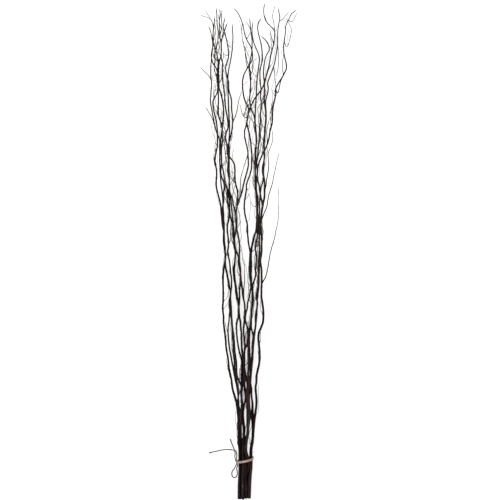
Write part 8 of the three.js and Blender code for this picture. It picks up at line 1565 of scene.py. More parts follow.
    [63.39, 564.23, 81.69, 0.72], [64.68, 571.29, 81.1, 0.69], [66.4, 578.28, 80.6, 0.66], [67.4, 585.41, 80.21, 0.62], [69.46, 592.28, 79.91, 0.59],
    [73.9, 597.91, 79.6, 0.56],
   ],
   [
    [51.97, 400.31, 66.06, 0.72], [49.13, 406.93, 65.31, 0.7], [45.32, 413.02, 64.51, 0.69], [41.68, 419.21, 63.59, 0.67], [40.76, 426.31, 62.53, 0.66],
    [40.9, 433.51, 61.31, 0.65], [39.78, 440.61, 59.93, 0.63], [39.67, 447.77, 58.42, 0.61], [42.39, 454.41, 56.84, 0.6], [45.33, 460.97, 55.23, 0.58],
    [47.24, 467.91, 53.66, 0.57], [49.29, 472.24, 52.66, 0.56],
   ],
   [
    [46.39, 332.88, 56.89, 0.72], [41.58, 338.22, 59.15, 0.7], [37.83, 344.27, 61.15, 0.68], [37.6, 351.44, 62.7, 0.66], [36.81, 358.57, 63.68, 0.64],
    [35.74, 365.66, 64.14, 0.62], [38.42, 372.26, 64.22, 0.6], [41.97, 378.51, 64.16, 0.59], [44.31, 385.31, 64.21, 0.57], [45.54, 387.38, 64.3, 0.56],
   ],
   [
    [59.74, 286.77, 54.29, 0.72], [60.24, 293.87, 50.75, 0.69], [58.04, 300.72, 48.53, 0.65], [56.92, 307.8, 48.01, 0.62], [56.45, 314.98, 48.44, 0.58],
    [54.54, 319.35, 48.53, 0.56],
   ],
   [
    [78.5, 652.28, 84.19, 0.72], [77.1, 659.34, 84.42, 0.69], [73.29, 665.34, 85.2, 0.66], [67.8, 669.99, 86.8, 0.63], [63.16, 675.5, 89.03, 0.6],
    [57.01, 679.04, 91.38, 0.57], [54.65, 679.5, 92.08, 0.56],
   ],
   [
    [70.03, 596.14, 85.83, 0.72], [70.08, 603.24, 86.48, 0.7], [68.29, 610.18, 86.92, 0.67], [69.72, 617.22, 87.01, 0.65], [69.27, 624.31, 86.72, 0.63],
    [67.79, 631.3, 86.14, 0.61], [69.39, 638.31, 85.45, 0.58], [68.46, 645.37, 84.87, 0.56],
   ],
   [
    [39.6, 50.8, 34.35, 0.85], [41.2, 57.79, 32.98, 0.82], [42.68, 64.79, 31.56, 0.79], [41.94, 71.95, 30.06, 0.76], [42.66, 79.1, 28.49, 0.73],
    [42.7, 86.25, 26.91, 0.7], [42.08, 88.57, 26.39, 0.69],
   ],
   [
    [40.11, 6.03, 36.43, 0.85], [36.78, 12.4, 35.38, 0.82], [32.3, 18, 34.18, 0.79], [28.25, 23.86, 32.75, 0.77], [29.15, 30.88, 31.13, 0.74],
    [31.51, 37.66, 29.43, 0.71], [31.9, 42.44, 28.33, 0.69],
   ],
   [
    [40.15, 29.93, 34.25, 0.85], [43.73, 36.16, 36.79, 0.83], [43.81, 43.27, 39.12, 0.82], [43.17, 50.41, 41.09, 0.8], [45.39, 57.24, 42.59, 0.78],
    [45.73, 64.33, 43.61, 0.76], [43.08, 71.02, 44.22, 0.75], [42.71, 78.14, 44.57, 0.73], [43.06, 85.29, 44.85, 0.71], [39.71, 91.6, 45.27, 0.7],
    [38.34, 93.57, 45.47, 0.69],
   ],
   [
    [25.39, -371.78, 12.25, 0.85], [26.89, -364.74, 12.06, 0.84], [28.01, -357.63, 11.81, 0.82], [29.54, -350.6, 11.43, 0.81], [30.14, -343.43, 10.88, 0.79],
    [30.65, -336.25, 10.14, 0.78], [31.39, -329.09, 9.23, 0.76], [31.12, -321.9, 8.16, 0.75], [31.03, -314.7, 6.98, 0.73], [30.92, -307.51, 5.77, 0.72],
    [29.85, -300.39, 4.57, 0.7], [29.14, -293.23, 3.47, 0.69],
   ],
   [
    [45.24, -195.77, 22.63, 0.85], [42.78, -189.1, 20.97, 0.83], [41.46, -182.06, 19.29, 0.82], [37.94, -175.78, 17.57, 0.8], [36.92, -168.76, 15.8, 0.78],
    [37.97, -161.65, 13.96, 0.77], [36.62, -154.6, 12.07, 0.75], [37.05, -147.52, 10.15, 0.73], [40.25, -141.07, 8.21, 0.72], [41.33, -133.99, 6.28, 0.7],
    [42.14, -129.27, 5.02, 0.69],
   ],
   [
    [32.41, -279.85, 15.26, 0.85], [34.63, -273.01, 14.68, 0.83], [36.96, -266.21, 14.46, 0.81], [37.36, -259.03, 14.87, 0.78], [37.95, -251.86, 15.97, 0.76],
    [37.84, -244.69, 17.64, 0.74], [36.11, -237.7, 19.6, 0.72], [34.92, -230.6, 21.46, 0.7], [34.29, -228.29, 22, 0.69],
   ],
  ],
  "willow_stem_05": [
   [
    [-19.97, -390.39, 20.99, 0.85], [-23.11, -381.51, 19.43, 0.76], [-22.95, -371.91, 19.3, 0.68], [-24.04, -362.54, 19.43, 0.59], [-25.99, -353.39, 19.68, 0.51],
    [-25.91, -348.59, 19.8, 0.47],
   ],
   [
    [-20.71, -322.94, 13.89, 0.4], [-26.11, -315.37, 15.39, 0.38], [-28.1, -306.19, 15.54, 0.37], [-29.01, -296.74, 15.41, 0.35], [-29.18, -287.14, 15.1, 0.34],
    [-29.88, -277.61, 14.8, 0.34], [-32.15, -268.54, 14.67, 0.34], [-34.41, -259.46, 14.83, 0.34], [-35.12, -249.93, 15.32, 0.34], [-35.82, -240.41, 16.1, 0.34],
    [-38.04, -231.17, 17.03, 0.34], [-36.82, -221.84, 17.93, 0.34], [-35.15, -217.37, 18.32, 0.34],
   ],
   [
    [-79.11, 461.78, 37.96, 0.43], [-77, 470.89, 39.95, 0.41], [-74.9, 480.01, 40.44, 0.39], [-73.04, 489.38, 40.74, 0.38], [-70.12, 498.48, 41.01, 0.36],
    [-68.38, 507.91, 41.42, 0.34], [-66.01, 517.2, 42.11, 0.34], [-65.06, 526.68, 43.13, 0.34], [-65.06, 536.28, 44.44, 0.34], [-67.17, 545.39, 45.94, 0.34],
    [-72.05, 553.6, 47.44, 0.34], [-74.13, 562.8, 48.79, 0.34], [-73.96, 567.6, 49.36, 0.34],
   ],
   [
    [-82.19, 634.97, 44.69, 0.72], [-86.89, 642.48, 43.93, 0.66], [-79.34, 647.7, 44.16, 0.6], [-74.26, 654.78, 44.3, 0.54], [-76.65, 663.91, 44.22, 0.48],
    [-74.29, 672.84, 43.82, 0.41], [-73.18, 674.96, 43.66, 0.4],
   ],
   [
    [-61.57, 188.65, 23.46, 0.44], [-61.99, 198.23, 24.87, 0.41], [-64.04, 207.23, 25.87, 0.38], [-68.08, 215.7, 26.56, 0.35], [-67.96, 225.3, 26.91, 0.34],
    [-67.83, 234.89, 27.02, 0.34], [-68.13, 244.48, 27.03, 0.34], [-67.96, 249.27, 27.05, 0.34],
   ],
   [
    [-43.83, -65.24, 20.2, 0.4], [-46.98, -56.25, 21.4, 0.37], [-47.1, -46.66, 21.34, 0.34], [-47.02, -37.07, 20.97, 0.34], [-47.14, -27.48, 20.4, 0.34],
    [-43.72, -18.78, 19.79, 0.34], [-40.92, -12.32, 19.41, 0.34],
   ],
   [
    [-44.66, 220.43, 27.75, 0.43], [-47.04, 229.62, 27.41, 0.39], [-47.21, 239.22, 26.86, 0.34], [-47.38, 248.82, 26.55, 0.34], [-50.18, 257.83, 26.57, 0.34],
    [-50.05, 262.62, 26.7, 0.34],
   ],
   [
    [-32.64, -207.53, 17.25, 0.4], [-32.64, -197.93, 16.79, 0.38], [-32.22, -188.35, 17.46, 0.35], [-32.01, -178.76, 18.1, 0.34], [-32.01, -169.16, 18.53, 0.34],
    [-32.01, -159.56, 18.66, 0.34], [-34.9, -150.67, 18.46, 0.34], [-36.16, -141.32, 17.99, 0.34], [-38.41, -134.54, 17.56, 0.34],
   ],
   [
    [-81.17, 630.59, 43.94, 0.5], [-75.06, 637.93, 43.06, 0.38], [-74.17, 647.3, 43.66, 0.34],
   ],
   [
    [-80.26, 314.4, 26.31, 0.44], [-76.24, 319.19, 26.88, 0.42], [-71.11, 322.77, 27.45, 0.4], [-74.75, 324.87, 28.02, 0.38], [-71.11, 320.67, 28.59, 0.35],
    [-71.11, 316.47, 28.97, 0.34],
   ],
   [
    [-47.38, 248.82, 26.55, 0.44], [-50.02, 243.15, 28.29, 0.43], [-47.61, 237.61, 30.03, 0.41], [-47.08, 231.48, 31.77, 0.4], [-53.24, 230.4, 33.5, 0.39],
    [-52.2, 235.63, 35.24, 0.37], [-50.06, 241.5, 36.98, 0.36], [-52.17, 247.29, 38.72, 0.34], [-52.89, 249.26, 39.3, 0.34],
   ],
   [
    [-80.65, 624.6, 42.64, 0.52], [-82.81, 629.47, 43.64, 0.5], [-83.31, 634.85, 44.26, 0.48], [-85.49, 639.78, 44.21, 0.46], [-86.11, 645.07, 43.42, 0.44],
    [-85.86, 650.44, 42.02, 0.42], [-87.16, 655.68, 40.32, 0.41], [-86.24, 660.95, 38.72, 0.39], [-85.7, 662.66, 38.27, 0.38],
   ],
   [
    [-88.33, 548.33, 46.78, 0.52], [-88.87, 553.69, 45.85, 0.49], [-86.92, 558.7, 44.49, 0.46], [-87.44, 563.92, 42.54, 0.44], [-89.25, 568.95, 40.19, 0.41],
    [-88.88, 574.33, 37.87, 0.38],
   ],
   [
    [-81.81, 633.31, 44.41, 0.52], [-85.17, 637.45, 46.78, 0.48], [-88.13, 641.83, 46.91, 0.45], [-88.33, 647.22, 44.63, 0.42], [-90.54, 652.11, 41.98, 0.38],
   ],
   [
    [-76.11, 449.29, 38.32, 0.52], [-72.52, 453.32, 39.91, 0.49], [-71.09, 458.38, 41.22, 0.47], [-71.54, 463.75, 42.12, 0.44], [-70.83, 469.09, 42.7, 0.42],
    [-73.22, 473.81, 43.22, 0.39], [-74.43, 475.14, 43.44, 0.38],
   ],
   [
    [-89.68, 516.2, 39.36, 0.52], [-89.22, 521.43, 40.39, 0.5], [-93.38, 524.26, 41.03, 0.48], [-96.5, 520.33, 40.97, 0.46], [-94.44, 515.51, 40.13, 0.44],
    [-89.48, 515.51, 38.66, 0.42], [-88.99, 520.58, 36.87, 0.41], [-93.08, 523.83, 35.18, 0.39], [-94.87, 523.66, 34.71, 0.38],
   ],
   [
    [-73.97, 413.91, 33.41, 0.72], [-74.01, 421.07, 32.43, 0.7], [-74.06, 428.22, 31.45, 0.69], [-76.39, 435.03, 30.47, 0.67], [-76.43, 442.18, 29.51, 0.66],
    [-76.22, 449.33, 28.55, 0.64], [-78.4, 456.19, 27.6, 0.62], [-78.46, 463.33, 26.65, 0.61], [-77.99, 470.48, 25.71, 0.59], [-80.03, 477.38, 24.77, 0.58],
    [-80.1, 484.52, 23.83, 0.56],
   ],
   [
    [-38.26, 0.77, 21.32, 0.85], [-41.3, 7.29, 22.34, 0.83], [-43.63, 14.08, 23.35, 0.82], [-44.19, 21.25, 24.34, 0.8], [-45.29, 28.35, 25.29, 0.78],
    [-48.1, 34.97, 26.21, 0.77], [-50.47, 41.75, 27.09, 0.75], [-50.99, 48.93, 27.96, 0.73], [-51.75, 56.07, 28.81, 0.72], [-54.3, 62.8, 29.67, 0.7],
    [-56.08, 67.25, 30.25, 0.69],
   ],
   [
    [-46.02, 64.88, 16.02, 0.85], [-50.01, 70.83, 13.81, 0.81], [-51.05, 77.91, 12.92, 0.78], [-50.04, 85.03, 13.62, 0.74], [-48.84, 92.13, 14.93, 0.7],
    [-48.33, 94.48, 15.23, 0.69],
   ],
   [
    [-33.79, -250.74, 17.29, 0.85], [-34.38, -243.57, 20.05, 0.83], [-36.24, -236.64, 22.5, 0.81], [-37.27, -229.58, 24.42, 0.79], [-36.48, -222.44, 25.74, 0.77],
    [-37.4, -215.3, 26.53, 0.75], [-36.05, -208.28, 27.01, 0.72], [-34.49, -201.29, 27.48, 0.7], [-34.28, -196.49, 27.95, 0.69],
   ],
  ],
}
TIE_PATH = [
    [-33.25, -631.87, 25.78], [-31.1, -633.67, 25.28], [-31, -632.56, 30.98], [-31.35, -631.45, 37.59], [-27.79, -630.34, 42.9],
    [-22.35, -629.24, 46.22], [-17.18, -628.13, 49.76], [-10.92, -627.02, 50.17], [-4.89, -625.71, 50.02], [1.47, -624.18, 49.98],
    [6.59, -622.66, 46.27], [11.3, -621.14, 42.29], [15.25, -619.61, 37.43], [15.17, -618.09, 30.97], [15.02, -616.57, 25.28],
    [15, -617.63, 19.64], [15.46, -618.69, 13.03], [11.62, -619.75, 7.99], [5.88, -620.81, 5.32], [0.59, -621.88, 2.91],
    [-5.18, -622.94, 2.86], [-10.6, -624, 3.02], [-16.39, -625.06, 2.9], [-21.91, -626.12, 4.98], [-27.14, -627.18, 8.24],
    [-29.74, -628.24, 13.82], [-31.36, -629.31, 19.5], [-31.15, -630.37, 25.28], [-31.08, -629.26, 31], [-31.52, -628.15, 37.68],
    [-27.97, -627.04, 43.07], [-22.33, -625.94, 46.19], [-17.07, -624.83, 49.47], [-10.9, -623.72, 50.05], [-4.85, -622.41, 50.38],
    [1.51, -620.88, 50.1], [6.47, -619.36, 46.1], [11.1, -617.84, 42.11], [15.03, -616.31, 37.32], [15.04, -614.79, 30.94],
    [14.83, -613.27, 25.28], [14.76, -614.33, 19.7], [15.23, -615.39, 13.15], [11.76, -616.45, 7.87], [5.77, -617.51, 5.49],
    [0.6, -618.58, 2.88], [-5.16, -619.64, 2.7], [-10.6, -620.7, 3.03], [-16.34, -621.76, 3.02], [-21.9, -622.82, 5],
    [-27.3, -623.88, 8.1], [-29.85, -624.94, 13.76], [-31.35, -626.01, 19.5], [-31.19, -627.07, 25.28], [-33.25, -629.47, 24.78],
]
LOOP_PATH = [
    [-35.66, -636.24, 24.64], [-37.25, -640.43, 22.15], [-38.9, -644.64, 19.72], [-40.69, -648.85, 17.38], [-42.74, -652.54, 14.49],
    [-44.65, -654.91, 10.37], [-46.45, -657.1, 6.11], [-48.32, -660.91, 3.33], [-49.46, -665.67, 1.86], [-49.55, -670.76, 1.42],
    [-47.9, -675.59, 1.34], [-44.41, -679.28, 1.34], [-39.5, -679.74, 1.34], [-35.62, -676.48, 1.34], [-33.64, -671.79, 1.35],
    [-33.24, -666.68, 1.58], [-33.34, -661.79, 3.04], [-33.84, -657.04, 4.92], [-34.39, -652.42, 7.08], [-34.39, -648.22, 10],
    [-33.68, -645.61, 14.34], [-32.82, -643.67, 19.01], [-31.94, -641.11, 23.32], [-32.13, -636.32, 24.97],
]
TAIL_LONG_PATH = [
    [-34.4, -625.27, 26.8], [-34.61, -619.82, 25.31], [-34.51, -615.85, 21.28], [-34.4, -613.07, 16.34], [-34.39, -611.28, 10.94],
    [-34.49, -609.15, 5.68], [-35.08, -604.58, 2.58], [-37.48, -599.63, 1.52], [-42.54, -597.3, 1.34], [-48.18, -596.61, 1.34],
    [-53.82, -595.81, 1.34], [-59.48, -595.24, 1.34], [-65.17, -595.11, 1.34], [-70.85, -595.41, 1.34], [-76.5, -596.08, 1.34],
    [-82.1, -597.07, 1.34], [-87.67, -598.26, 1.34], [-93.21, -599.55, 1.34], [-98.75, -600.83, 1.34], [-104.31, -602.04, 1.5],
    [-109.88, -603.17, 1.86], [-115.44, -604.27, 2.33],
]
TAIL_SHORT_PATH = [
    [-37.56, -626.9, 24.36], [-38.74, -621.75, 22.65], [-39.7, -616.66, 20.68], [-39.97, -612.11, 17.62], [-39.7, -609.31, 12.85],
    [-39.48, -606.54, 8.07], [-40.09, -601.81, 5.52], [-41.72, -596.59, 4.61], [-43.67, -591.42, 4.19], [-45.64, -586.34, 3.16],
    [-47.67, -581.28, 2.19], [-49.79, -576.18, 1.68], [-51.86, -571.04, 1.5], [-53.64, -565.87, 2.33],
]
KNOT_CENTRE = [-33.85, -630.67, 25.28]


# ---------------------------------------------------------------- camera, floor, light
def look(obj, at):
    obj.rotation_mode = "QUATERNION"
    obj.rotation_quaternion = (Vector(at) - obj.location).to_track_quat("-Z", "Y")


cam_data = bpy.data.cameras.new("camera")
cam_data.sensor_width = 36.0
cam_data.lens = 120.0
cam_data.clip_end = 100.0
cam = bpy.data.objects.new("camera", cam_data)
bpy.context.scene.collection.objects.link(cam)
VIEW_X, VIEW_Y, VIEW_Z, VIEW_W = 0.00546, 0.00683, 0.0300, 1.5000
cam.location = (VIEW_X, VIEW_Y, VIEW_Z + VIEW_W * 120.0 / 36.0)
cam.rotation_mode = "XYZ"
cam.rotation_euler = (0.0, 0.0, 0.0)
bpy.context.scene.camera = cam
bpy.context.scene.view_settings.view_transform = "Standard"


def material(name):
    m = bpy.data.materials.new(name)
    m.use_nodes = True
    nt = m.node_tree
    for n in list(nt.nodes):
        nt.nodes.remove(n)
    out = nt.nodes.new("ShaderNodeOutputMaterial")
    bsdf = nt.nodes.new("ShaderNodeBsdfPrincipled")
    nt.links.new(bsdf.outputs[0], out.inputs["Surface"])
    return m, nt, bsdf


class G:
    """Short calls for building a node graph."""

    def __init__(self, nt):
        self.nt = nt

    def put(self, socket, value):
        if isinstance(value, bpy.types.NodeSocket):
            self.nt.links.new(value, socket)
        elif value is not None:
            socket.default_value = value

    def attr(self, name):
        n = self.nt.nodes.new("ShaderNodeAttribute")
        n.attribute_name = name
        return n

    def scale(self, vec, s):
        n = self.nt.nodes.new("ShaderNodeVectorMath")
        n.operation = "MULTIPLY"
        self.put(n.inputs[0], vec)
        n.inputs[1].default_value = s
        return n.outputs[0]

    def shift(self, vec, other, amount):
        k = self.nt.nodes.new("ShaderNodeVectorMath")
        k.operation = "SCALE"
        self.put(k.inputs[0], other)
        k.inputs["Scale"].default_value = amount
        n = self.nt.nodes.new("ShaderNodeVectorMath")
        n.operation = "ADD"
        self.put(n.inputs[0], vec)
        self.put(n.inputs[1], k.outputs[0])
        return n.outputs[0]

    def noise(self, vec, scale=1.0, detail=3.0, rough=0.55, distort=0.0, colour=False):
        n = self.nt.nodes.new("ShaderNodeTexNoise")
        self.put(n.inputs["Vector"], vec)
        n.inputs["Scale"].default_value = scale
        n.inputs["Detail"].default_value = detail
        n.inputs["Roughness"].default_value = rough
        n.inputs["Distortion"].default_value = distort
        return n.outputs["Color" if colour else "Fac"]

    def voronoi(self, vec, scale=1.0, feature="F1", rand=1.0):
        n = self.nt.nodes.new("ShaderNodeTexVoronoi")
        n.feature = feature
        self.put(n.inputs["Vector"], vec)
        n.inputs["Scale"].default_value = scale
        n.inputs["Randomness"].default_value = rand
        return n.outputs["Distance"]

    def ramp(self, fac, stops, mode="LINEAR"):
        n = self.nt.nodes.new("ShaderNodeValToRGB")
        n.color_ramp.interpolation = mode
        e = n.color_ramp.elements
        while len(e) > 1:
            e.remove(e[-1])
        e[0].position, c = stops[0]
        e[0].color = c if len(c) == 4 else (*c, 1)
        for p, c in stops[1:]:
            k = e.new(p)
            k.color = c if len(c) == 4 else (*c, 1)
        self.put(n.inputs[0], fac)
        return n.outputs[0]

    def math(self, op, a, b=None, c=None, clamp=False):
        n = self.nt.nodes.new("ShaderNodeMath")
        n.operation = op
        n.use_clamp = clamp
        self.put(n.inputs[0], a)
        self.put(n.inputs[1], b)
        if c is not None:
            self.put(n.inputs[2], c)
        return n.outputs[0]

    def smooth(self, v, lo, hi, a=0.0, b=1.0):
        n = self.nt.nodes.new("ShaderNodeMapRange")
        n.interpolation_type = "SMOOTHSTEP"
        self.put(n.inputs["Value"], v)
        n.inputs["From Min"].default_value = lo
        n.inputs["From Max"].default_value = hi
        n.inputs["To Min"].default_value = a
        n.inputs["To Max"].default_value = b
        return n.outputs[0]

    def mix(self, fac, a, b, blend="MIX"):
        n = self.nt.nodes.new("ShaderNodeMix")
        n.data_type = "RGBA"
        n.blend_type = blend
        self.put(n.inputs["Factor"], fac)
        for s, v in ((n.inputs[6], a), (n.inputs[7], b)):
            if isinstance(v, tuple) and len(v) == 3:
                v = (*v, 1)
            self.put(s, v)
        return n.outputs[2]

    def bump(self, height, strength, distance, normal=None):
        n = self.nt.nodes.new("ShaderNodeBump")
        self.put(n.inputs["Height"], height)
        n.inputs["Strength"].default_value = strength
        n.inputs["Distance"].default_value = distance
        if normal is not None:
            self.put(n.inputs["Normal"], normal)
        return n.outputs[0]


# floor and world
fm, nt, bsdf = material("floor_white")
g = G(nt)
co = nt.nodes.new("ShaderNodeTexCoord").outputs["Object"]
g.put(bsdf.inputs["Base Color"], g.mix(g.noise(co, 0.8, 2.0), (0.50, 0.50, 0.498), (0.52, 0.52, 0.52)))
bsdf.inputs["Roughness"].default_value = 0.8
bsdf.inputs["Specular IOR Level"].default_value = 0.1
bsdf.inputs["Emission Color"].default_value = (1.0, 1.0, 1.0, 1)
bsdf.inputs["Emission Strength"].default_value = 0.78
me = bpy.data.meshes.new("floor")
F = 40.0
me.from_pydata([(-F, -F, 0), (F, -F, 0), (F, F, 0), (-F, F, 0)], [], [(0, 1, 2, 3)])
me.materials.append(fm)
floor = bpy.data.objects.new("floor", me)
floor.location = (0, 0, -0.0003)
bpy.context.scene.collection.objects.link(floor)

world = bpy.data.worlds.new("world")
bpy.context.scene.world = world
world.use_nodes = True
bg = world.node_tree.nodes.get("Background")
bg.inputs["Color"].default_value = (1.0, 1.0, 1.0, 1)
bg.inputs["Strength"].default_value = 0.50


def area(name, loc, at, size, power, colour=(1, 1, 1)):
    d = bpy.data.lights.new(name, "AREA")
    d.shape = "RECTANGLE"
    d.size, d.size_y = size
    d.energy = power
    d.color = colour
    o = bpy.data.objects.new(name, d)
    o.location = loc
    bpy.context.scene.collection.objects.link(o)
    look(o, at)
    return o


area("key", (-2.4, 0.6, 2.6), (0, 0, 0), (1.4, 3.2), 82, (1.0, 0.985, 0.96))
area("fill", (3.0, -0.6, 2.2), (0, 0, 0), (1.6, 3.0), 26, (0.97, 0.985, 1.0))

# ---------------------------------------------------------------- curves
def catmull(P, ds):
    """A centripetal Catmull-Rom curve through the rows of P, resampled about ds apart."""
    P = np.asarray(P, float)
    P = np.vstack([2 * P[0] - P[1], P, 2 * P[-1] - P[-2]])
    out = []
    for i in range(1, len(P) - 2):
        p0, p1, p2, p3 = P[i - 1], P[i], P[i + 1], P[i + 2]
        t = [0.0]
        for a, b in ((p0, p1), (p1, p2), (p2, p3)):
            t.append(t[-1] + max(np.linalg.norm((b - a)[:3]), 1e-6) ** 0.5)
        u = np.linspace(t[1], t[2], 9)[:-1, None]
        a1 = (t[1] - u) / (t[1] - t[0]) * p0 + (u - t[0]) / (t[1] - t[0]) * p1
        a2 = (t[2] - u) / (t[2] - t[1]) * p1 + (u - t[1]) / (t[2] - t[1]) * p2
        a3 = (t[3] - u) / (t[3] - t[2]) * p2 + (u - t[2]) / (t[3] - t[2]) * p3
        b1 = (t[2] - u) / (t[2] - t[0]) * a1 + (u - t[0]) / (t[2] - t[0]) * a2
        b2 = (t[3] - u) / (t[3] - t[1]) * a2 + (u - t[1]) / (t[3] - t[1]) * a3
        out.append((t[2] - u) / (t[2] - t[1]) * b1 + (u - t[1]) / (t[2] - t[1]) * b2)
    C = np.vstack([*out, P[-2:-1]])
    return respace(C, ds)


def respace(C, ds):
    L = np.r_[0, np.cumsum(np.linalg.norm(np.diff(C[:, :3], axis=0), axis=1))]
    n = max(3, int(round(L[-1] / ds)) + 1)
    s = np.linspace(0, L[-1], n)
    return np.stack([np.interp(s, L, C[:, k]) for k in range(C.shape[1])], axis=1)


def along(C):
    return np.r_[0, np.cumsum(np.linalg.norm(np.diff(C[:, :3], axis=0), axis=1))]


def frames(C, ref=(0.0, 0.0, 1.0)):
    """Tangent, side and up at each point, carried along the curve without twist."""
    C = C[:, :3]
    T = np.gradient(C, axis=0)
    T /= np.linalg.norm(T, axis=1)[:, None]
    s = np.cross(ref, T[0])
    if np.linalg.norm(s) < 1e-3:
        s = np.cross((1.0, 0.0, 0.0), T[0])
    s /= np.linalg.norm(s)
    S = [s]
    for i in range(1, len(C)):
        v = S[-1] - T[i] * (S[-1] @ T[i])
        S.append(v / np.linalg.norm(v))
    S = np.array(S)
    return T, S, np.cross(T, S)


def waves(s, wavelengths, r):
    """A smooth wandering value along s, about -1 to 1."""
    v = np.zeros_like(s)
    for w in wavelengths:
        v += np.sin(2 * np.pi * s / (w * r.uniform(0.8, 1.25)) + r.uniform(0, 6.283))
    return v / len(wavelengths)


class Skin:
    """Collects tubes into one mesh, with their grain coordinates, tint and a strip map."""

    def __init__(self, name):
        self.name = name
        self.v, self.q, self.t = [], [], []
        self.grain, self.tint = [], []
        self.mat_q, self.mat_t = [], []
        self.uv_q, self.uv_t = [], []
        self.strip_q, self.strip_t = [], []
        self.strips = []
        self.n = 0

    def tube(self, C, R, sides, s0=0.0, tint=0.0, ref=(0, 0, 1), mat=0, cut=None, tip=True, rough=None, max_strip=170.0):
        """C are the centres (n, 3) in mm, R the radii (n,) or (n, sides)."""
        C = np.asarray(C, float)[:, :3]
        n = len(C)
        T, S, U = frames(C, ref)
        a = 2 * np.pi * np.arange(sides) / sides
        R = np.asarray(R, float)
        if R.ndim == 1:
            R = np.repeat(R[:, None], sides, axis=1)
        V = C[:, None] + R[..., None] * (np.cos(a)[None, :, None] * S[:, None] + np.sin(a)[None, :, None] * U[:, None])
        s = along(C)
        g3 = np.stack([R * np.cos(a), R * np.sin(a), np.repeat((s + s0)[:, None], sides, 1)], axis=2)
        base = self.n
        self.v.append(V.reshape(-1, 3))
        self.grain.append(g3.reshape(-1, 3))
        tv = np.broadcast_to(np.asarray(tint, float).reshape(-1, 1) if np.ndim(tint) else np.full((n, 1), tint), (n, sides))
        self.tint.append(tv.reshape(-1))
        self.n += n * sides
        i, j = np.meshgrid(np.arange(n - 1), np.arange(sides), indexing="ij")
        j2 = (j + 1) % sides
        q = np.stack([base + i * sides + j, base + i * sides + j2, base + (i + 1) * sides + j2, base + (i + 1) * sides + j], axis=2)
        around = 2 * np.pi * R.mean(1)
        parts = max(1, int(math.ceil(s[-1] / max_strip)))
        edge = np.unique(np.round(np.linspace(0, n - 1, parts + 1)).astype(int))
        sid = np.zeros(n - 1, int)
        uo = np.zeros(n - 1)
        for e0, e1 in zip(edge[:-1], edge[1:]):
            h = float(around[e0 : e1 + 1].max())
            sid[e0:e1] = len(self.strips)
            uo[e0:e1] = s[e0]
            self.strips.append((s[e1] - s[e0], h))
        H = np.array([self.strips[k][1] for k in sid])
        uv = np.zeros((n - 1, sides, 4, 2))
        uv[..., 0, 0] = uv[..., 1, 0] = (s[:-1] - uo)[:, None]
        uv[..., 2, 0] = uv[..., 3, 0] = (s[1:] - uo)[:, None]
        uv[..., 0, 1] = uv[..., 3, 1] = (np.arange(sides) / sides)[None] * H[:, None]
        uv[..., 1, 1] = uv[..., 2, 1] = ((np.arange(sides) + 1) / sides)[None] * H[:, None]
        self.q.append(q.reshape(-1, 4))
        self.uv_q.append(uv.reshape(-1, 4, 2))
        self.strip_q.append(np.repeat(sid, sides))
        self.mat_q.append(np.full((n - 1) * sides, mat))
        # start cap, faces back along the tube
        self.cap(V[0], C[0], -T[0], R[0].mean(), tv[0, 0], s0, cut is not None, cut if cut is not None else mat, base, np.arange(sides), a, True)
        k = base + (n - 1) * sides
        self.cap(V[-1], C[-1], T[-1], R[-1].mean(), tv[-1, 0], s[-1] + s0, False, mat if rough is None else rough, k, np.arange(sides), a, False)
        return C, T, S, U, s

    def cap(self, ring, centre, out, r, tint, s, flat, mat, base, idx, a, start):
        """Closes a tube: flat with a worn edge for a cut end, else a small dome."""
        m = len(ring)
        steps = [(0.93, 0.22), (0.55, 0.26), (0.25, 0.20)] if flat else [(0.72, 0.62)]
        prev, pid = ring, base + idx
        sid = len(self.strips)
        self.strips.append((2.2 * r + 0.2, 2.2 * r + 0.2))
        c0 = np.array([1.1 * r + 0.1, 1.1 * r + 0.1])
        xy = np.stack([np.cos(a), np.sin(a)], axis=1)
        prev_uv = c0 + xy * r
        for f, h in steps:
            hh = h if flat else h * r
            P = centre + (ring - centre) * f + out * hh
            if flat:
                P = P + out * (0.10 * np.sin(3 * a + s * 0.7 + f * 5))[:, None]
            nid = self.n + np.arange(m)
            self.v.append(P)
            self.grain.append(np.stack([xy[:, 0] * r * f, xy[:, 1] * r * f, np.full(m, s)], axis=1))
            self.tint.append(np.full(m, tint))
            self.n += m
            uv_n = c0 + xy * r * f
            j2 = (np.arange(m) + 1) % m
            if start:
                q = np.stack([pid[j2], pid, nid, nid[j2]], axis=1)
                uv = np.stack([prev_uv[j2], prev_uv, uv_n, uv_n[j2]], axis=1)
            else:
                q = np.stack([pid, pid[j2], nid[j2], nid], axis=1)
                uv = np.stack([prev_uv, prev_uv[j2], uv_n[j2], uv_n], axis=1)
            self.q.append(q)
            self.uv_q.append(uv)
            self.strip_q.append(np.full(m, sid))
            self.mat_q.append(np.full(m, mat))
            prev, pid, prev_uv = P, nid, uv_n
        self.v.append((centre + out * (0.24 if flat else 0.95 * r))[None])
        self.grain.append(np.array([[0, 0, s]]))
        self.tint.append(np.array([tint]))
        cid = self.n
        self.n += 1
        j2 = (np.arange(m) + 1) % m
        cc = np.full(m, cid)
        t = np.stack([pid[j2], pid, cc], axis=1) if start else np.stack([pid, pid[j2], cc], axis=1)
        cu = np.repeat(c0[None], m, 0)
        uv = np.stack([prev_uv[j2], prev_uv, cu], axis=1) if start else np.stack([prev_uv, prev_uv[j2], cu], axis=1)
        self.t.append(t)
        self.uv_t.append(uv)
        self.strip_t.append(np.full(m, sid))
        self.mat_t.append(np.full(m, mat))

    def pack(self):
        """Lays the strips out in rows inside the unit square; gives the scale and each strip's corner."""
        S = np.array(self.strips)
        order = np.argsort(-S[:, 1])

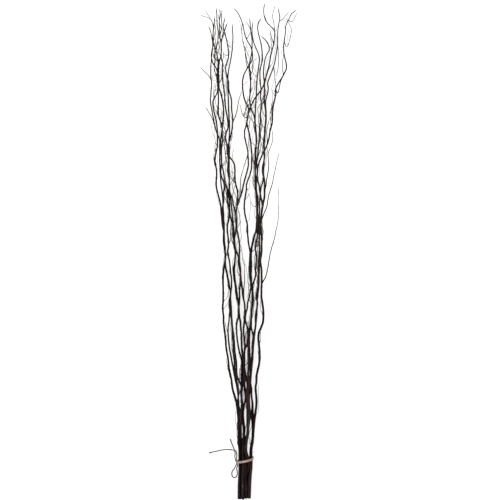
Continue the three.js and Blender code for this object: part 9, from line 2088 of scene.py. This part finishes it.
        def rows(d, gap=0.0035):
            x, y, h, at = gap, gap, 0.0, np.zeros((len(S), 2))
            for k in order:
                w, t = S[k, 0] * d, S[k, 1] * d
                if x + w + gap > 1:
                    x, y, h = gap, y + h + gap, 0.0
                    if w + 2 * gap > 1:
                        return None
                at[k] = (x, y)
                x += w + gap
                h = max(h, t)
                if y + h + gap > 1:
                    return None
            return at

        lo, hi = 1e-5, 0.05
        best = rows(lo)
        for _ in range(24):
            mid = (lo + hi) / 2
            at = rows(mid)
            if at is None:
                hi = mid
            else:
                lo, best = mid, at
        return lo, best

    def finish(self, materials, node):
        V = np.vstack(self.v) * MM
        Q = np.vstack(self.q)
        Tr = np.vstack(self.t)
        me = bpy.data.meshes.new(self.name)
        nq, nt_ = len(Q), len(Tr)
        me.vertices.add(len(V))
        me.vertices.foreach_set("co", V.ravel())
        me.loops.add(nq * 4 + nt_ * 3)
        me.loops.foreach_set("vertex_index", np.r_[Q.ravel(), Tr.ravel()].astype(np.int32))
        me.polygons.add(nq + nt_)
        me.polygons.foreach_set("loop_start", np.r_[np.arange(nq) * 4, nq * 4 + np.arange(nt_) * 3].astype(np.int32))
        me.polygons.foreach_set("material_index", np.r_[np.concatenate(self.mat_q), np.concatenate(self.mat_t)].astype(np.int32))
        me.update(calc_edges=True)
        me.polygons.foreach_set("use_smooth", np.ones(nq + nt_, bool))
        d, at = self.pack()
        uq = at[np.concatenate(self.strip_q)][:, None] + np.vstack(self.uv_q) * d
        ut = at[np.concatenate(self.strip_t)][:, None] + np.vstack(self.uv_t) * d
        layer = me.uv_layers.new(name="OFBake")
        layer.data.foreach_set("uv", np.r_[uq.reshape(-1, 2), ut.reshape(-1, 2)].ravel())
        ga = me.attributes.new("grain", "FLOAT_VECTOR", "POINT")
        ga.data.foreach_set("vector", (np.vstack(self.grain) * MM).ravel())
        ta = me.attributes.new("tint", "FLOAT", "POINT")
        ta.data.foreach_set("value", np.concatenate(self.tint).astype(np.float32))
        for m in materials:
            me.materials.append(m)
        me.validate()
        ob = bpy.data.objects.new(self.name, me)
        bpy.context.scene.collection.objects.link(ob)
        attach(ob, "root")
        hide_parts(node)
        return ob


# ---------------------------------------------------------------- twine
def twine_material(name, tones, hair):
    m, nt, bsdf = material(name)
    g = G(nt)
    gr = g.attr("grain").outputs["Vector"]
    ob = nt.nodes.new("ShaderNodeTexCoord").outputs["Object"]
    fibre = g.noise(g.scale(gr, (1500, 1500, 170)), 1.0, 4.0, 0.6, 0.4)
    patch = g.noise(g.scale(ob, (120, 120, 120)), 1.0, 3.0)
    base = g.ramp(patch, [(0.30, tones[0]), (0.52, tones[1]), (0.72, tones[2])])
    col = g.mix(g.smooth(fibre, 0.32, 0.62), g.mix(1.0, base, (0.56, 0.50, 0.46), "MULTIPLY"), base)
    pale = g.mix(g.smooth(fibre, 0.60, 0.80), col, hair)
    g.put(bsdf.inputs["Base Color"], g.mix(g.attr("tint").outputs["Fac"], pale, hair))
    bsdf.inputs["Roughness"].default_value = 0.92
    bsdf.inputs["Specular IOR Level"].default_value = 0.18
    bsdf.inputs["Sheen Weight"].default_value = 0.35
    bsdf.inputs["Sheen Roughness"].default_value = 0.55
    g.put(bsdf.inputs["Normal"], g.bump(fibre, 0.7, 0.00025))
    return m


# Two tones of the one twine: a pale copy for the wrap, and a dark copy that paints shade onto the loop, the tails and
# the leads into the knot.
TWINE = twine_material("twine_pale", [(0.360, 0.215, 0.150), (0.700, 0.535, 0.435), (0.840, 0.725, 0.640)], (0.850, 0.760, 0.680))
SHADED_TWINE = twine_material("twine_painted_shade", [(0.052, 0.026, 0.016), (0.098, 0.053, 0.034), (0.165, 0.098, 0.066)], (0.250, 0.168, 0.120))
D = 2.6  # twine diameter


def twine(skin, C, r, pitch=7.2, width=D, fuzz=1.0, limit=3.2, mat=0):
    """Two plies twisted round the line C (mm), with loose fibres."""
    C = respace(np.asarray(C, float)[:, :3], 0.62)
    T, S, U = frames(C, (0.3, 0.2, 1.0))
    s = along(C)
    ph = 2 * np.pi * (s / pitch + 0.08 * waves(s, (9, 23, 41), r)) + r.uniform(0, 6.28)
    off = width * 0.250
    for k in range(2):
        a = ph + math.pi * k
        P = C + off * (np.cos(a)[:, None] * S + np.sin(a)[:, None] * U)
        rad = width * 0.335 * (1 + 0.07 * waves(s, (3.1, 5.3, 11), r))
        sides = 10
        th = 2 * np.pi * np.arange(sides) / sides
        # each ply is itself a twisted bundle of fibres
        R = rad[:, None] * (1 + 0.075 * np.sin(4 * th[None] - 2 * np.pi * s[:, None] / 4.6 + r.uniform(0, 6)) + 0.03 * np.sin(7 * th[None] + s[:, None] * 1.9))
        skin.tube(P, R, sides, s0=r.uniform(0, 500), tint=0.0, mat=mat, max_strip=90)
    n = int(s[-1] * 1.5 * fuzz)
    for _ in range(n):
        i = r.integers(2, len(C) - 2)
        a = r.uniform(0, 6.283)
        out = math.cos(a) * S[i] + math.sin(a) * U[i]
        p = C[i] + out * width * 0.46
        way = 1 if r.random() < 0.5 else -1
        lean = r.uniform(0.15, 0.9)
        d = T[i] * way * (1 - 0.4 * lean) + out * lean
        d /= np.linalg.norm(d)
        long = r.uniform(1.2, 4.2)
        bend = np.cross(d, out) * r.uniform(-0.5, 0.5) + T[i] * way * r.uniform(0.0, 0.6) - out * r.uniform(0, 0.35)
        u = np.linspace(0, 1, 5)[:, None]
        P = p + d * long * u + bend * long * 0.45 * u**2
        far = np.linalg.norm(P - C[i] - T[i] * ((P - C[i]) @ T[i])[:, None], axis=1).max()
        if far > limit or P[:, 2].min() < 0.1:
            continue
        skin.tube(P, np.linspace(0.055, 0.025, 5) * r.uniform(0.8, 1.5), 3, tint=1.0, mat=mat)
    return C


def small_knot(skin, centre, axis, a, b, r, width=D, limit=2.2):
    """A tight overhand knot: a trefoil of the twine round the given axis."""
    axis = np.array(axis, float)
    axis /= np.linalg.norm(axis)
    s = np.cross((0.1, 0.9, 0.3), axis)
    s /= np.linalg.norm(s)
    u = np.cross(axis, s)
    t = np.linspace(0.25, 2 * math.pi - 0.05, 70)
    x, y, z = (np.sin(t) + 2 * np.sin(2 * t)) / 3, (np.cos(t) - 2 * np.cos(2 * t)) / 3, -np.sin(3 * t)
    P = np.array(centre) + a * (x[:, None] * s + y[:, None] * u) + b * z[:, None] * axis
    P[:, 2] = np.maximum(P[:, 2], width / 2 + 0.05)
    twine(skin, P, r, pitch=5.6, width=width, fuzz=0.4, limit=limit)


def brush(skin, p, d, n, r, long=3.4, spread=0.5, low=0.15):
    """The frayed end beyond a knot."""
    d = np.array(d, float)
    d /= np.linalg.norm(d)
    for _ in range(n):
        w = np.clip(r.normal(0, spread, 3), -1.6 * spread, 1.6 * spread)
        e = d + w
        e /= np.linalg.norm(e)
        L = r.uniform(0.55, 1.0) * long
        u = np.linspace(0, 1, 5)[:, None]
        P = np.array(p) + np.clip(r.normal(0, 0.35, 3), -0.6, 0.6) + e * L * u + np.clip(r.normal(0, 0.3, 3), -0.5, 0.5) * u**2
        P[:, 2] = np.maximum(P[:, 2], low)
        skin.tube(P, np.linspace(0.09, 0.04, 5), 3, tint=0.8)


def cord_piece(name, node, path, knot_end, seed):
    r = np.random.default_rng(seed)
    C = catmull(np.array(path), 0.8)
    # the twine runs a little way into the knot that it comes from
    skin = Skin(name)
    if knot_end:
        d = C[-1] - C[-4]
        d[2] = max(d[2], 0.0)
        d /= np.linalg.norm(d)
        end = C[-1]
        twine(skin, C[:-1], r, width=3.1, limit=3.0)
        small_knot(skin, end + (0, 0, 0.1), d, 1.80, 0.95, r, width=2.5, limit=1.0)
        brush(skin, end + d * 1.2, d, 26, r, long=3.0, spread=0.20)
    else:
        twine(skin, C, r, width=3.1, limit=3.0)
    # the loop and the tails take the dark twine copy, with its painted shade
    ob = skin.finish([SHADED_TWINE], node)
    return ob


cord_piece("twine_loop_piece", "twine_loop", LOOP_PATH, False, 11)
cord_piece("twine_tail_long_piece", "twine_tail_long", TAIL_LONG_PATH, True, 12)
cord_piece("twine_tail_short_piece", "twine_tail_short", TAIL_SHORT_PATH, True, 13)


def tie_piece():
    r = np.random.default_rng(14)
    skin = Skin("twine_tie_piece")
    W = catmull(np.array(TIE_PATH), 0.8)
    twine(skin, W, r, fuzz=0.8, limit=3.4)
    k = np.array(KNOT_CENTRE)
    # the half bow's knot: the crossing strands and the band that holds them
    small_knot(skin, k + (0.1, 0.0, 0.0), (1.0, 0.05, 0.35), 3.1, 1.35, r, width=2.6)
    t = np.linspace(-0.4, 2 * math.pi - 0.2, 60)
    ring = np.stack([k[0] - 0.2 + 2.35 * np.cos(t), k[1] + 0.55 * np.sin(2 * t) + 0.5 * (t - 3) / 3, k[2] + 2.75 * np.sin(t)], axis=1)
    twine(skin, ring, r, pitch=5.8, width=2.4, fuzz=0.6, limit=2.6)
    core = np.stack([k[0] + 0.3 * np.sin(t[:20]), np.linspace(k[1] - 3.0, k[1] + 3.0, 20), k[2] + 0.3 * np.cos(t[:20])], axis=1)
    twine(skin, core, r, pitch=6, width=3.2, fuzz=0.3, limit=3.0)
    brush(skin, k + (-1.8, 0.6, 1.8), (-0.5, 0.2, 1.0), 8, r, long=3.0, spread=0.6)
    for path, seed in ((LOOP_PATH, 21), (LOOP_PATH[::-1], 22), (TAIL_LONG_PATH, 23), (TAIL_SHORT_PATH, 24)):
        p = np.array(path, float)[:, :3]
        d = p[0] - p[1]
        d /= np.linalg.norm(d)
        lead = catmull(np.array([k + 0.25 * (p[0] - k), k + 0.55 * (p[0] - k) + 0.6 * d, p[0] + 0.3 * d, p[0] + 0.35 * (p[1] - p[0])]), 0.6)
        # mat=1 gives these leads the dark twine copy, with its painted shade
        twine(skin, lead, np.random.default_rng(seed), fuzz=0.8, limit=2.6, mat=1)
    return skin.finish([TWINE, SHADED_TWINE], "twine_tie")


tie_piece()

# ---------------------------------------------------------------- bark
def bark_material(k, hue):
    m, nt, bsdf = material("bark_%d" % k)
    g = G(nt)
    gr = g.attr("grain").outputs["Vector"]
    tint = g.attr("tint").outputs["Fac"]
    warp = g.noise(g.scale(gr, (220, 220, 30)), 1.0, 2.0, colour=True)
    gw = g.shift(gr, warp, 0.0006)
    # long fissures and fine wrinkles that run along the stem
    streak = g.noise(g.scale(gw, (1050, 1050, 46)), 1.0, 5.0, 0.62, 0.3)
    fine = g.noise(g.scale(gw, (2600, 2600, 190)), 1.0, 3.0, 0.6)
    wrinkle = g.noise(g.scale(gw, (520, 520, 520)), 1.0, 3.0, 0.6)
    patch = g.noise(g.scale(gr, (60, 60, 16)), 1.0, 3.0, 0.6, 0.6)
    dark, mid, lit = hue
    base = g.ramp(patch, [(0.30, dark), (0.52, mid), (0.70, lit)])
    base = g.mix(g.smooth(streak, 0.36, 0.60), g.mix(1.0, base, (0.42, 0.38, 0.38), "MULTIPLY"), base)
    base = g.mix(g.math("MULTIPLY", g.smooth(fine, 0.54, 0.70), 0.6), base, g.mix(1.0, base, (2.9, 2.7, 2.6), "MULTIPLY"))
    # worn, paler bark in long irregular patches
    worn = g.noise(g.scale(gw, (150, 150, 9)), 1.0, 4.0, 0.65, 0.8)
    wear = g.math("MULTIPLY", g.smooth(worn, 0.565, 0.68), g.smooth(streak, 0.36, 0.60))
    base = g.mix(g.math("MULTIPLY", wear, 0.80), base, (0.120, 0.078, 0.062))
    # lenticels: small pale raised spots across the bark
    spots = g.voronoi(g.scale(gr, (330, 330, 130)), 1.0)
    keep = g.smooth(g.noise(g.scale(gr, (90, 90, 60)), 1.0, 2.0), 0.50, 0.58)
    spot = g.math("MULTIPLY", g.smooth(spots, 0.16, 0.09), keep)
    base = g.mix(g.math("MULTIPLY", spot, 0.55), base, (0.120, 0.085, 0.066))
    # young, thin wood is browner
    young = g.mix(g.smooth(streak, 0.35, 0.65), (0.0085, 0.0038, 0.0032), (0.026, 0.0130, 0.0100))
    base = g.mix(g.math("MULTIPLY", g.math("MINIMUM", tint, 1.0), 0.62), base, young)
    # some fine twigs are given a paler reddish brown
    base = g.mix(g.smooth(tint, 1.0, 2.0), base, g.mix(g.smooth(streak, 0.35, 0.65), (0.075, 0.036, 0.027), (0.180, 0.105, 0.080)))
    g.put(bsdf.inputs["Base Color"], base)
    rough = g.smooth(streak, 0.30, 0.70, 0.66, 0.46)
    g.put(bsdf.inputs["Roughness"], g.math("ADD", rough, g.math("MULTIPLY", wear, 0.16), clamp=True))
    bsdf.inputs["Specular IOR Level"].default_value = 0.15
    h = g.math("ADD", g.math("MULTIPLY", streak, 1.0), g.math("MULTIPLY", fine, 0.35))
    h = g.math("ADD", h, g.math("MULTIPLY", wrinkle, 0.35))
    h = g.math("ADD", h, g.math("MULTIPLY", spot, 0.5))
    g.put(bsdf.inputs["Normal"], g.bump(h, 1.0, 0.0009))
    return m


def wood_material():
    """The cut ends: pale sapwood with rings, a darker pith and a dark rim of bark."""
    m, nt, bsdf = material("cut_wood")
    g = G(nt)
    gr = g.attr("grain").outputs["Vector"]
    flat = g.scale(gr, (1, 1, 0))
    n = nt.nodes.new("ShaderNodeVectorMath")
    n.operation = "LENGTH"
    g.put(n.inputs[0], flat)
    r = n.outputs["Value"]
    wob = g.noise(g.scale(gr, (700, 700, 40)), 1.0, 3.0)
    rw = g.math("ADD", r, g.math("MULTIPLY", wob, 0.0006))
    rings = g.math("SINE", g.math("MULTIPLY", rw, 6900.0))
    fibre = g.noise(g.scale(gr, (3200, 3200, 400)), 1.0, 3.0, 0.7)
    col = g.mix(g.smooth(rings, -0.4, 0.9), (0.235, 0.150, 0.088), (0.150, 0.088, 0.048))
    col = g.mix(g.smooth(fibre, 0.35, 0.7), g.mix(1.0, col, (0.55, 0.5, 0.45), "MULTIPLY"), col)
    col = g.mix(g.smooth(rw, 0.0011, 0.0006), col, (0.055, 0.032, 0.020))
    col = g.mix(g.smooth(rw, 0.0035, 0.0041), col, (0.018, 0.011, 0.009))
    g.put(bsdf.inputs["Base Color"], col)
    bsdf.inputs["Roughness"].default_value = 0.85
    bsdf.inputs["Specular IOR Level"].default_value = 0.2
    g.put(bsdf.inputs["Normal"], g.bump(g.math("ADD", fibre, g.math("MULTIPLY", rings, 0.15)), 0.8, 0.0003))
    return m


HUES = [
    ((0.0046, 0.0016, 0.0015), (0.0125, 0.0046, 0.0040), (0.0370, 0.0160, 0.0130)),
    ((0.0036, 0.0013, 0.0014), (0.0100, 0.0038, 0.0037), (0.0310, 0.0138, 0.0120)),
    ((0.0056, 0.0020, 0.0016), (0.0150, 0.0060, 0.0048), (0.0440, 0.0195, 0.0150)),
]
BARK = [bark_material(k, h) for k, h in enumerate(HUES)]
WOOD = wood_material()


def wood_radius(C, s, sides, r, nodes, low=0.0):
    """The radius round each ring: uneven growth, long ribs and a swelling at each node."""
    base = C[:, 3].copy()
    th = 2 * np.pi * np.arange(sides) / sides
    tw = 2 * np.pi * s / r.uniform(260, 420)
    R = np.repeat(base[:, None], sides, 1)
    f = 1 + 0.045 * np.sin(2 * th[None] + tw[:, None] + r.uniform(0, 6)) + 0.030 * np.sin(3 * th[None] - 1.3 * tw[:, None] + r.uniform(0, 6))
    f += 0.020 * np.sin(5 * th[None] + 2 * tw[:, None] + 2.5 * waves(s, (60, 140), r)[:, None])
    f += 0.030 * waves(s, (14, 33, 71), r)[:, None]
    R = R * f
    for p, side, size in nodes:
        d = (s - p) / 2.6
        bell = np.exp(-(d**2))
        lobe = 0.5 + 0.5 * np.cos(th - side)
        R = R + (bell[:, None] * (0.05 * base[:, None] + size * lobe[None] ** 3))
    return np.maximum(R, low)


def fuller(C, most):
    """The thin upper wood is a little stouter than the CAD tubes."""
    C[:, 3] += most * np.clip((C[:, 1] + 60.0) / 480.0, 0, 1) * np.clip((3.2 - C[:, 3]) / 1.6, 0, 1)
    return C


def bud(skin, C, T, S, U, s, p, side, size, r, mat, tint):
    """A small pointed bud pressed against the bark above its leaf scar."""
    i = int(np.searchsorted(s, p))
    if i < 2 or i > len(s) - 3:
        return
    rad = C[i, 3]
    out = math.cos(side) * S[i] + math.sin(side) * U[i]
    long = size * r.uniform(2.6, 3.4)
    w = size * 0.62
    u = np.linspace(0, 1, 8)
    line = C[i, :3] + out * (rad * 0.82) + T[i] * (u[:, None] * long) + out * (u[:, None] ** 1.3 * long * r.uniform(0.10, 0.24))
    prof = w * np.array([0.50, 0.86, 1.0, 0.96, 0.80, 0.58, 0.34, 0.12])
    skin.tube(line, np.maximum(prof, 0.06), 8, s0=p + 900, tint=tint, mat=mat)


def stub(skin, C, T, S, U, s, p, side, r, mat):
    """The short snapped base of a side twig."""
    i = int(np.searchsorted(s, p))
    if i < 2 or i > len(s) - 3:
        return
    rad = C[i, 3]
    out = math.cos(side) * S[i] + math.sin(side) * U[i]
    long = r.uniform(2.2, 5.5)
    w = min(rad * 0.42, r.uniform(0.6, 1.2))
    u = np.linspace(0, 1, 6)
    line = C[i, :3] + out * (rad * 0.7) + (out * 0.8 + T[i] * 0.75)[None] * (u[:, None] * long)
    prof = w * np.array([1.55, 1.18, 1.0, 0.95, 0.92, 0.88])
    skin.tube(line, prof, 9, s0=p + 300, tint=0.3, mat=mat, rough=2)


def twig(skin, P, r, parent_r, mat, s0, stout=0.22, ds=2.0, pale=0.0):
    """A side twig with its collar, nodes and buds. P starts on the parent's centreline."""
    C = catmull(np.array(P), ds) if len(P) > 2 else respace(np.array(P, float), ds)
    C = fuller(C, stout)
    C[:, 3] = np.maximum(C[:, 3], 0.50)
    for _ in range(3):  # no sharp corners
        C[2:-1] = (C[1:-2] + 2 * C[2:-1] + C[3:]) / 4
    s = along(C)
    L = s[-1]
    amp = 0.35 * np.clip((s - parent_r - 4) / 12, 0, 1)
    T, S, U = frames(C)
    C[:, :3] += amp[:, None] * (waves(s, (17, 29, 47), r)[:, None] * S + waves(s, (15, 31, 53), r)[:, None] * U)
    C[:, 2] = np.maximum(C[:, 2], C[:, 3] + 0.05)
    collar = 1 + 0.85 * np.exp(-np.maximum(s - parent_r * 0.8, 0) / 2.4)
    C[:, 3] = np.minimum(C[:, 3] * collar, parent_r * 0.8)
    nodes, p, side = [], parent_r + r.uniform(8, 18), r.uniform(0, 6.28)
    while p < L - 4:
        nodes.append((p, side, 0.16))
        p += r.uniform(13, 26)
        side += 2.4 + r.normal(0, 0.3)
    sides = 10 if C[:, 3].mean() > 0.8 else 7
    R = wood_radius(C, s, sides, r, nodes, 0.22)
    # the line gets thinner to its very tip
    R *= np.clip((L - s) / 6.0, 0.5, 1)[:, None]
    tint = np.clip((1.9 - C[:, 3]) / 1.3, 0.15, 1) * (1 - 0.5 * pale) + 1.5 * pale
    _, T, S, U, _ = skin.tube(C, R, sides, s0=s0, tint=tint, mat=mat)
    for p, side, _ in nodes:
        bud(skin, C, T, S, U, s, p, side, max(0.62, min(1.1, float(np.interp(p, s, C[:, 3])) * 0.9)), r, mat, 0.8)
    return C, T, S, U, s


OUTER = {0: 0.40, 15: 0.50}  # stouter outermost stems, mm on the radius


def stem_piece(k, st):
    r = np.random.default_rng(1000 + k)
    name = st["name"]
    skin = Skin(name + "_piece")
    C = fuller(catmull(np.array(st["main"]), 2.0), 0.26)
    if k in OUTER:
        C[:, 3] += OUTER[k] * np.clip((C[:, 1] + 560) / 120, 0, 1) * np.clip((330 - C[:, 1]) / 200, 0, 1)
    s = along(C)
    L = s[-1]
    T, S, U = frames(C)
    tied = np.clip((C[:, 1] + 430) / 90, 0.12, 1)  # held tight in the lower part
    amp = 0.42 * tied
    C[:, :3] += amp[:, None] * (waves(s, (23, 41, 67), r)[:, None] * S + waves(s, (21, 37, 73), r)[:, None] * U)
    C[:, 2] = np.maximum(C[:, 2], C[:, 3] * 1.02 + 0.02)
    mat = k % 3
    nodes, p, side = [], r.uniform(25, 60), r.uniform(0, 6.28)
    while p < L - 6:
        f = p / L
        nodes.append((p, side, (0.34 if f < 0.4 else 0.24) * r.uniform(0.6, 1.2)))
        p += r.uniform(26, 46) * (1.0 if f < 0.5 else 0.78)
        side += 2.4 + r.normal(0, 0.35)
    sides = 18
    R = wood_radius(C, s, sides, r, nodes, 0.25)
    R *= np.clip((L - s) / 9.0, 0.38, 1)[:, None]
    tint = np.clip((2.0 - C[:, 3]) / 1.5, 0.0, 1)
    T, S, U = frames(C)
    s0 = 1700.0 * k
    _, T, S, U, _ = skin.tube(C, R, sides, s0=s0, tint=tint, mat=0, cut=1)
    for n, (p, side, _) in enumerate(nodes):
        f = p / L
        rad = float(np.interp(p, s, C[:, 3]))
        if f > 0.30:
            bud(skin, C, T, S, U, s, p, side, min(1.45, max(0.7, rad * 0.62)), r, 0, float(np.interp(p, s, tint)) * 0.8)
        elif n % 4 == 2 and C[int(np.searchsorted(s, p)), 1] > -560:
            stub(skin, C, T, S, U, s, p, side, r, 0)
    lines = [C]
    for j, P in enumerate(st["twigs"]):
        P = np.array(P)
        i = int(np.argmin(np.linalg.norm(C[:, :3] - P[0, :3], axis=1)))
        P[0, :3] = C[i, :3]
        lines.append(twig(skin, P, r, float(C[i, 3]), 0, s0 + 5000 + 200 * j)[0])
    for j, P in enumerate(EXTRA.get(name, [])):
        P = np.array(P)
        # each fine twig starts on the nearest wood of its own stem
        near = [(float(np.linalg.norm(Q[:-2, :3] - P[0, :3], axis=1).min()), n) for n, Q in enumerate(lines)]
        Q = lines[min(near)[1]][:-2]
        i = int(np.argmin(np.linalg.norm(Q[:, :3] - P[0, :3], axis=1)))
        P[0, :3] = Q[i, :3]
        twig(skin, P, r, float(Q[i, 3]), 0, s0 + 9000 + 200 * j, stout=0.08, ds=1.8, pale=float(r.random() < 0.5) * r.uniform(0.6, 1.0))
    return skin.finish([BARK[mat], WOOD, WOOD], name)


for k, st in enumerate(STEMS):
    stem_piece(k, st)
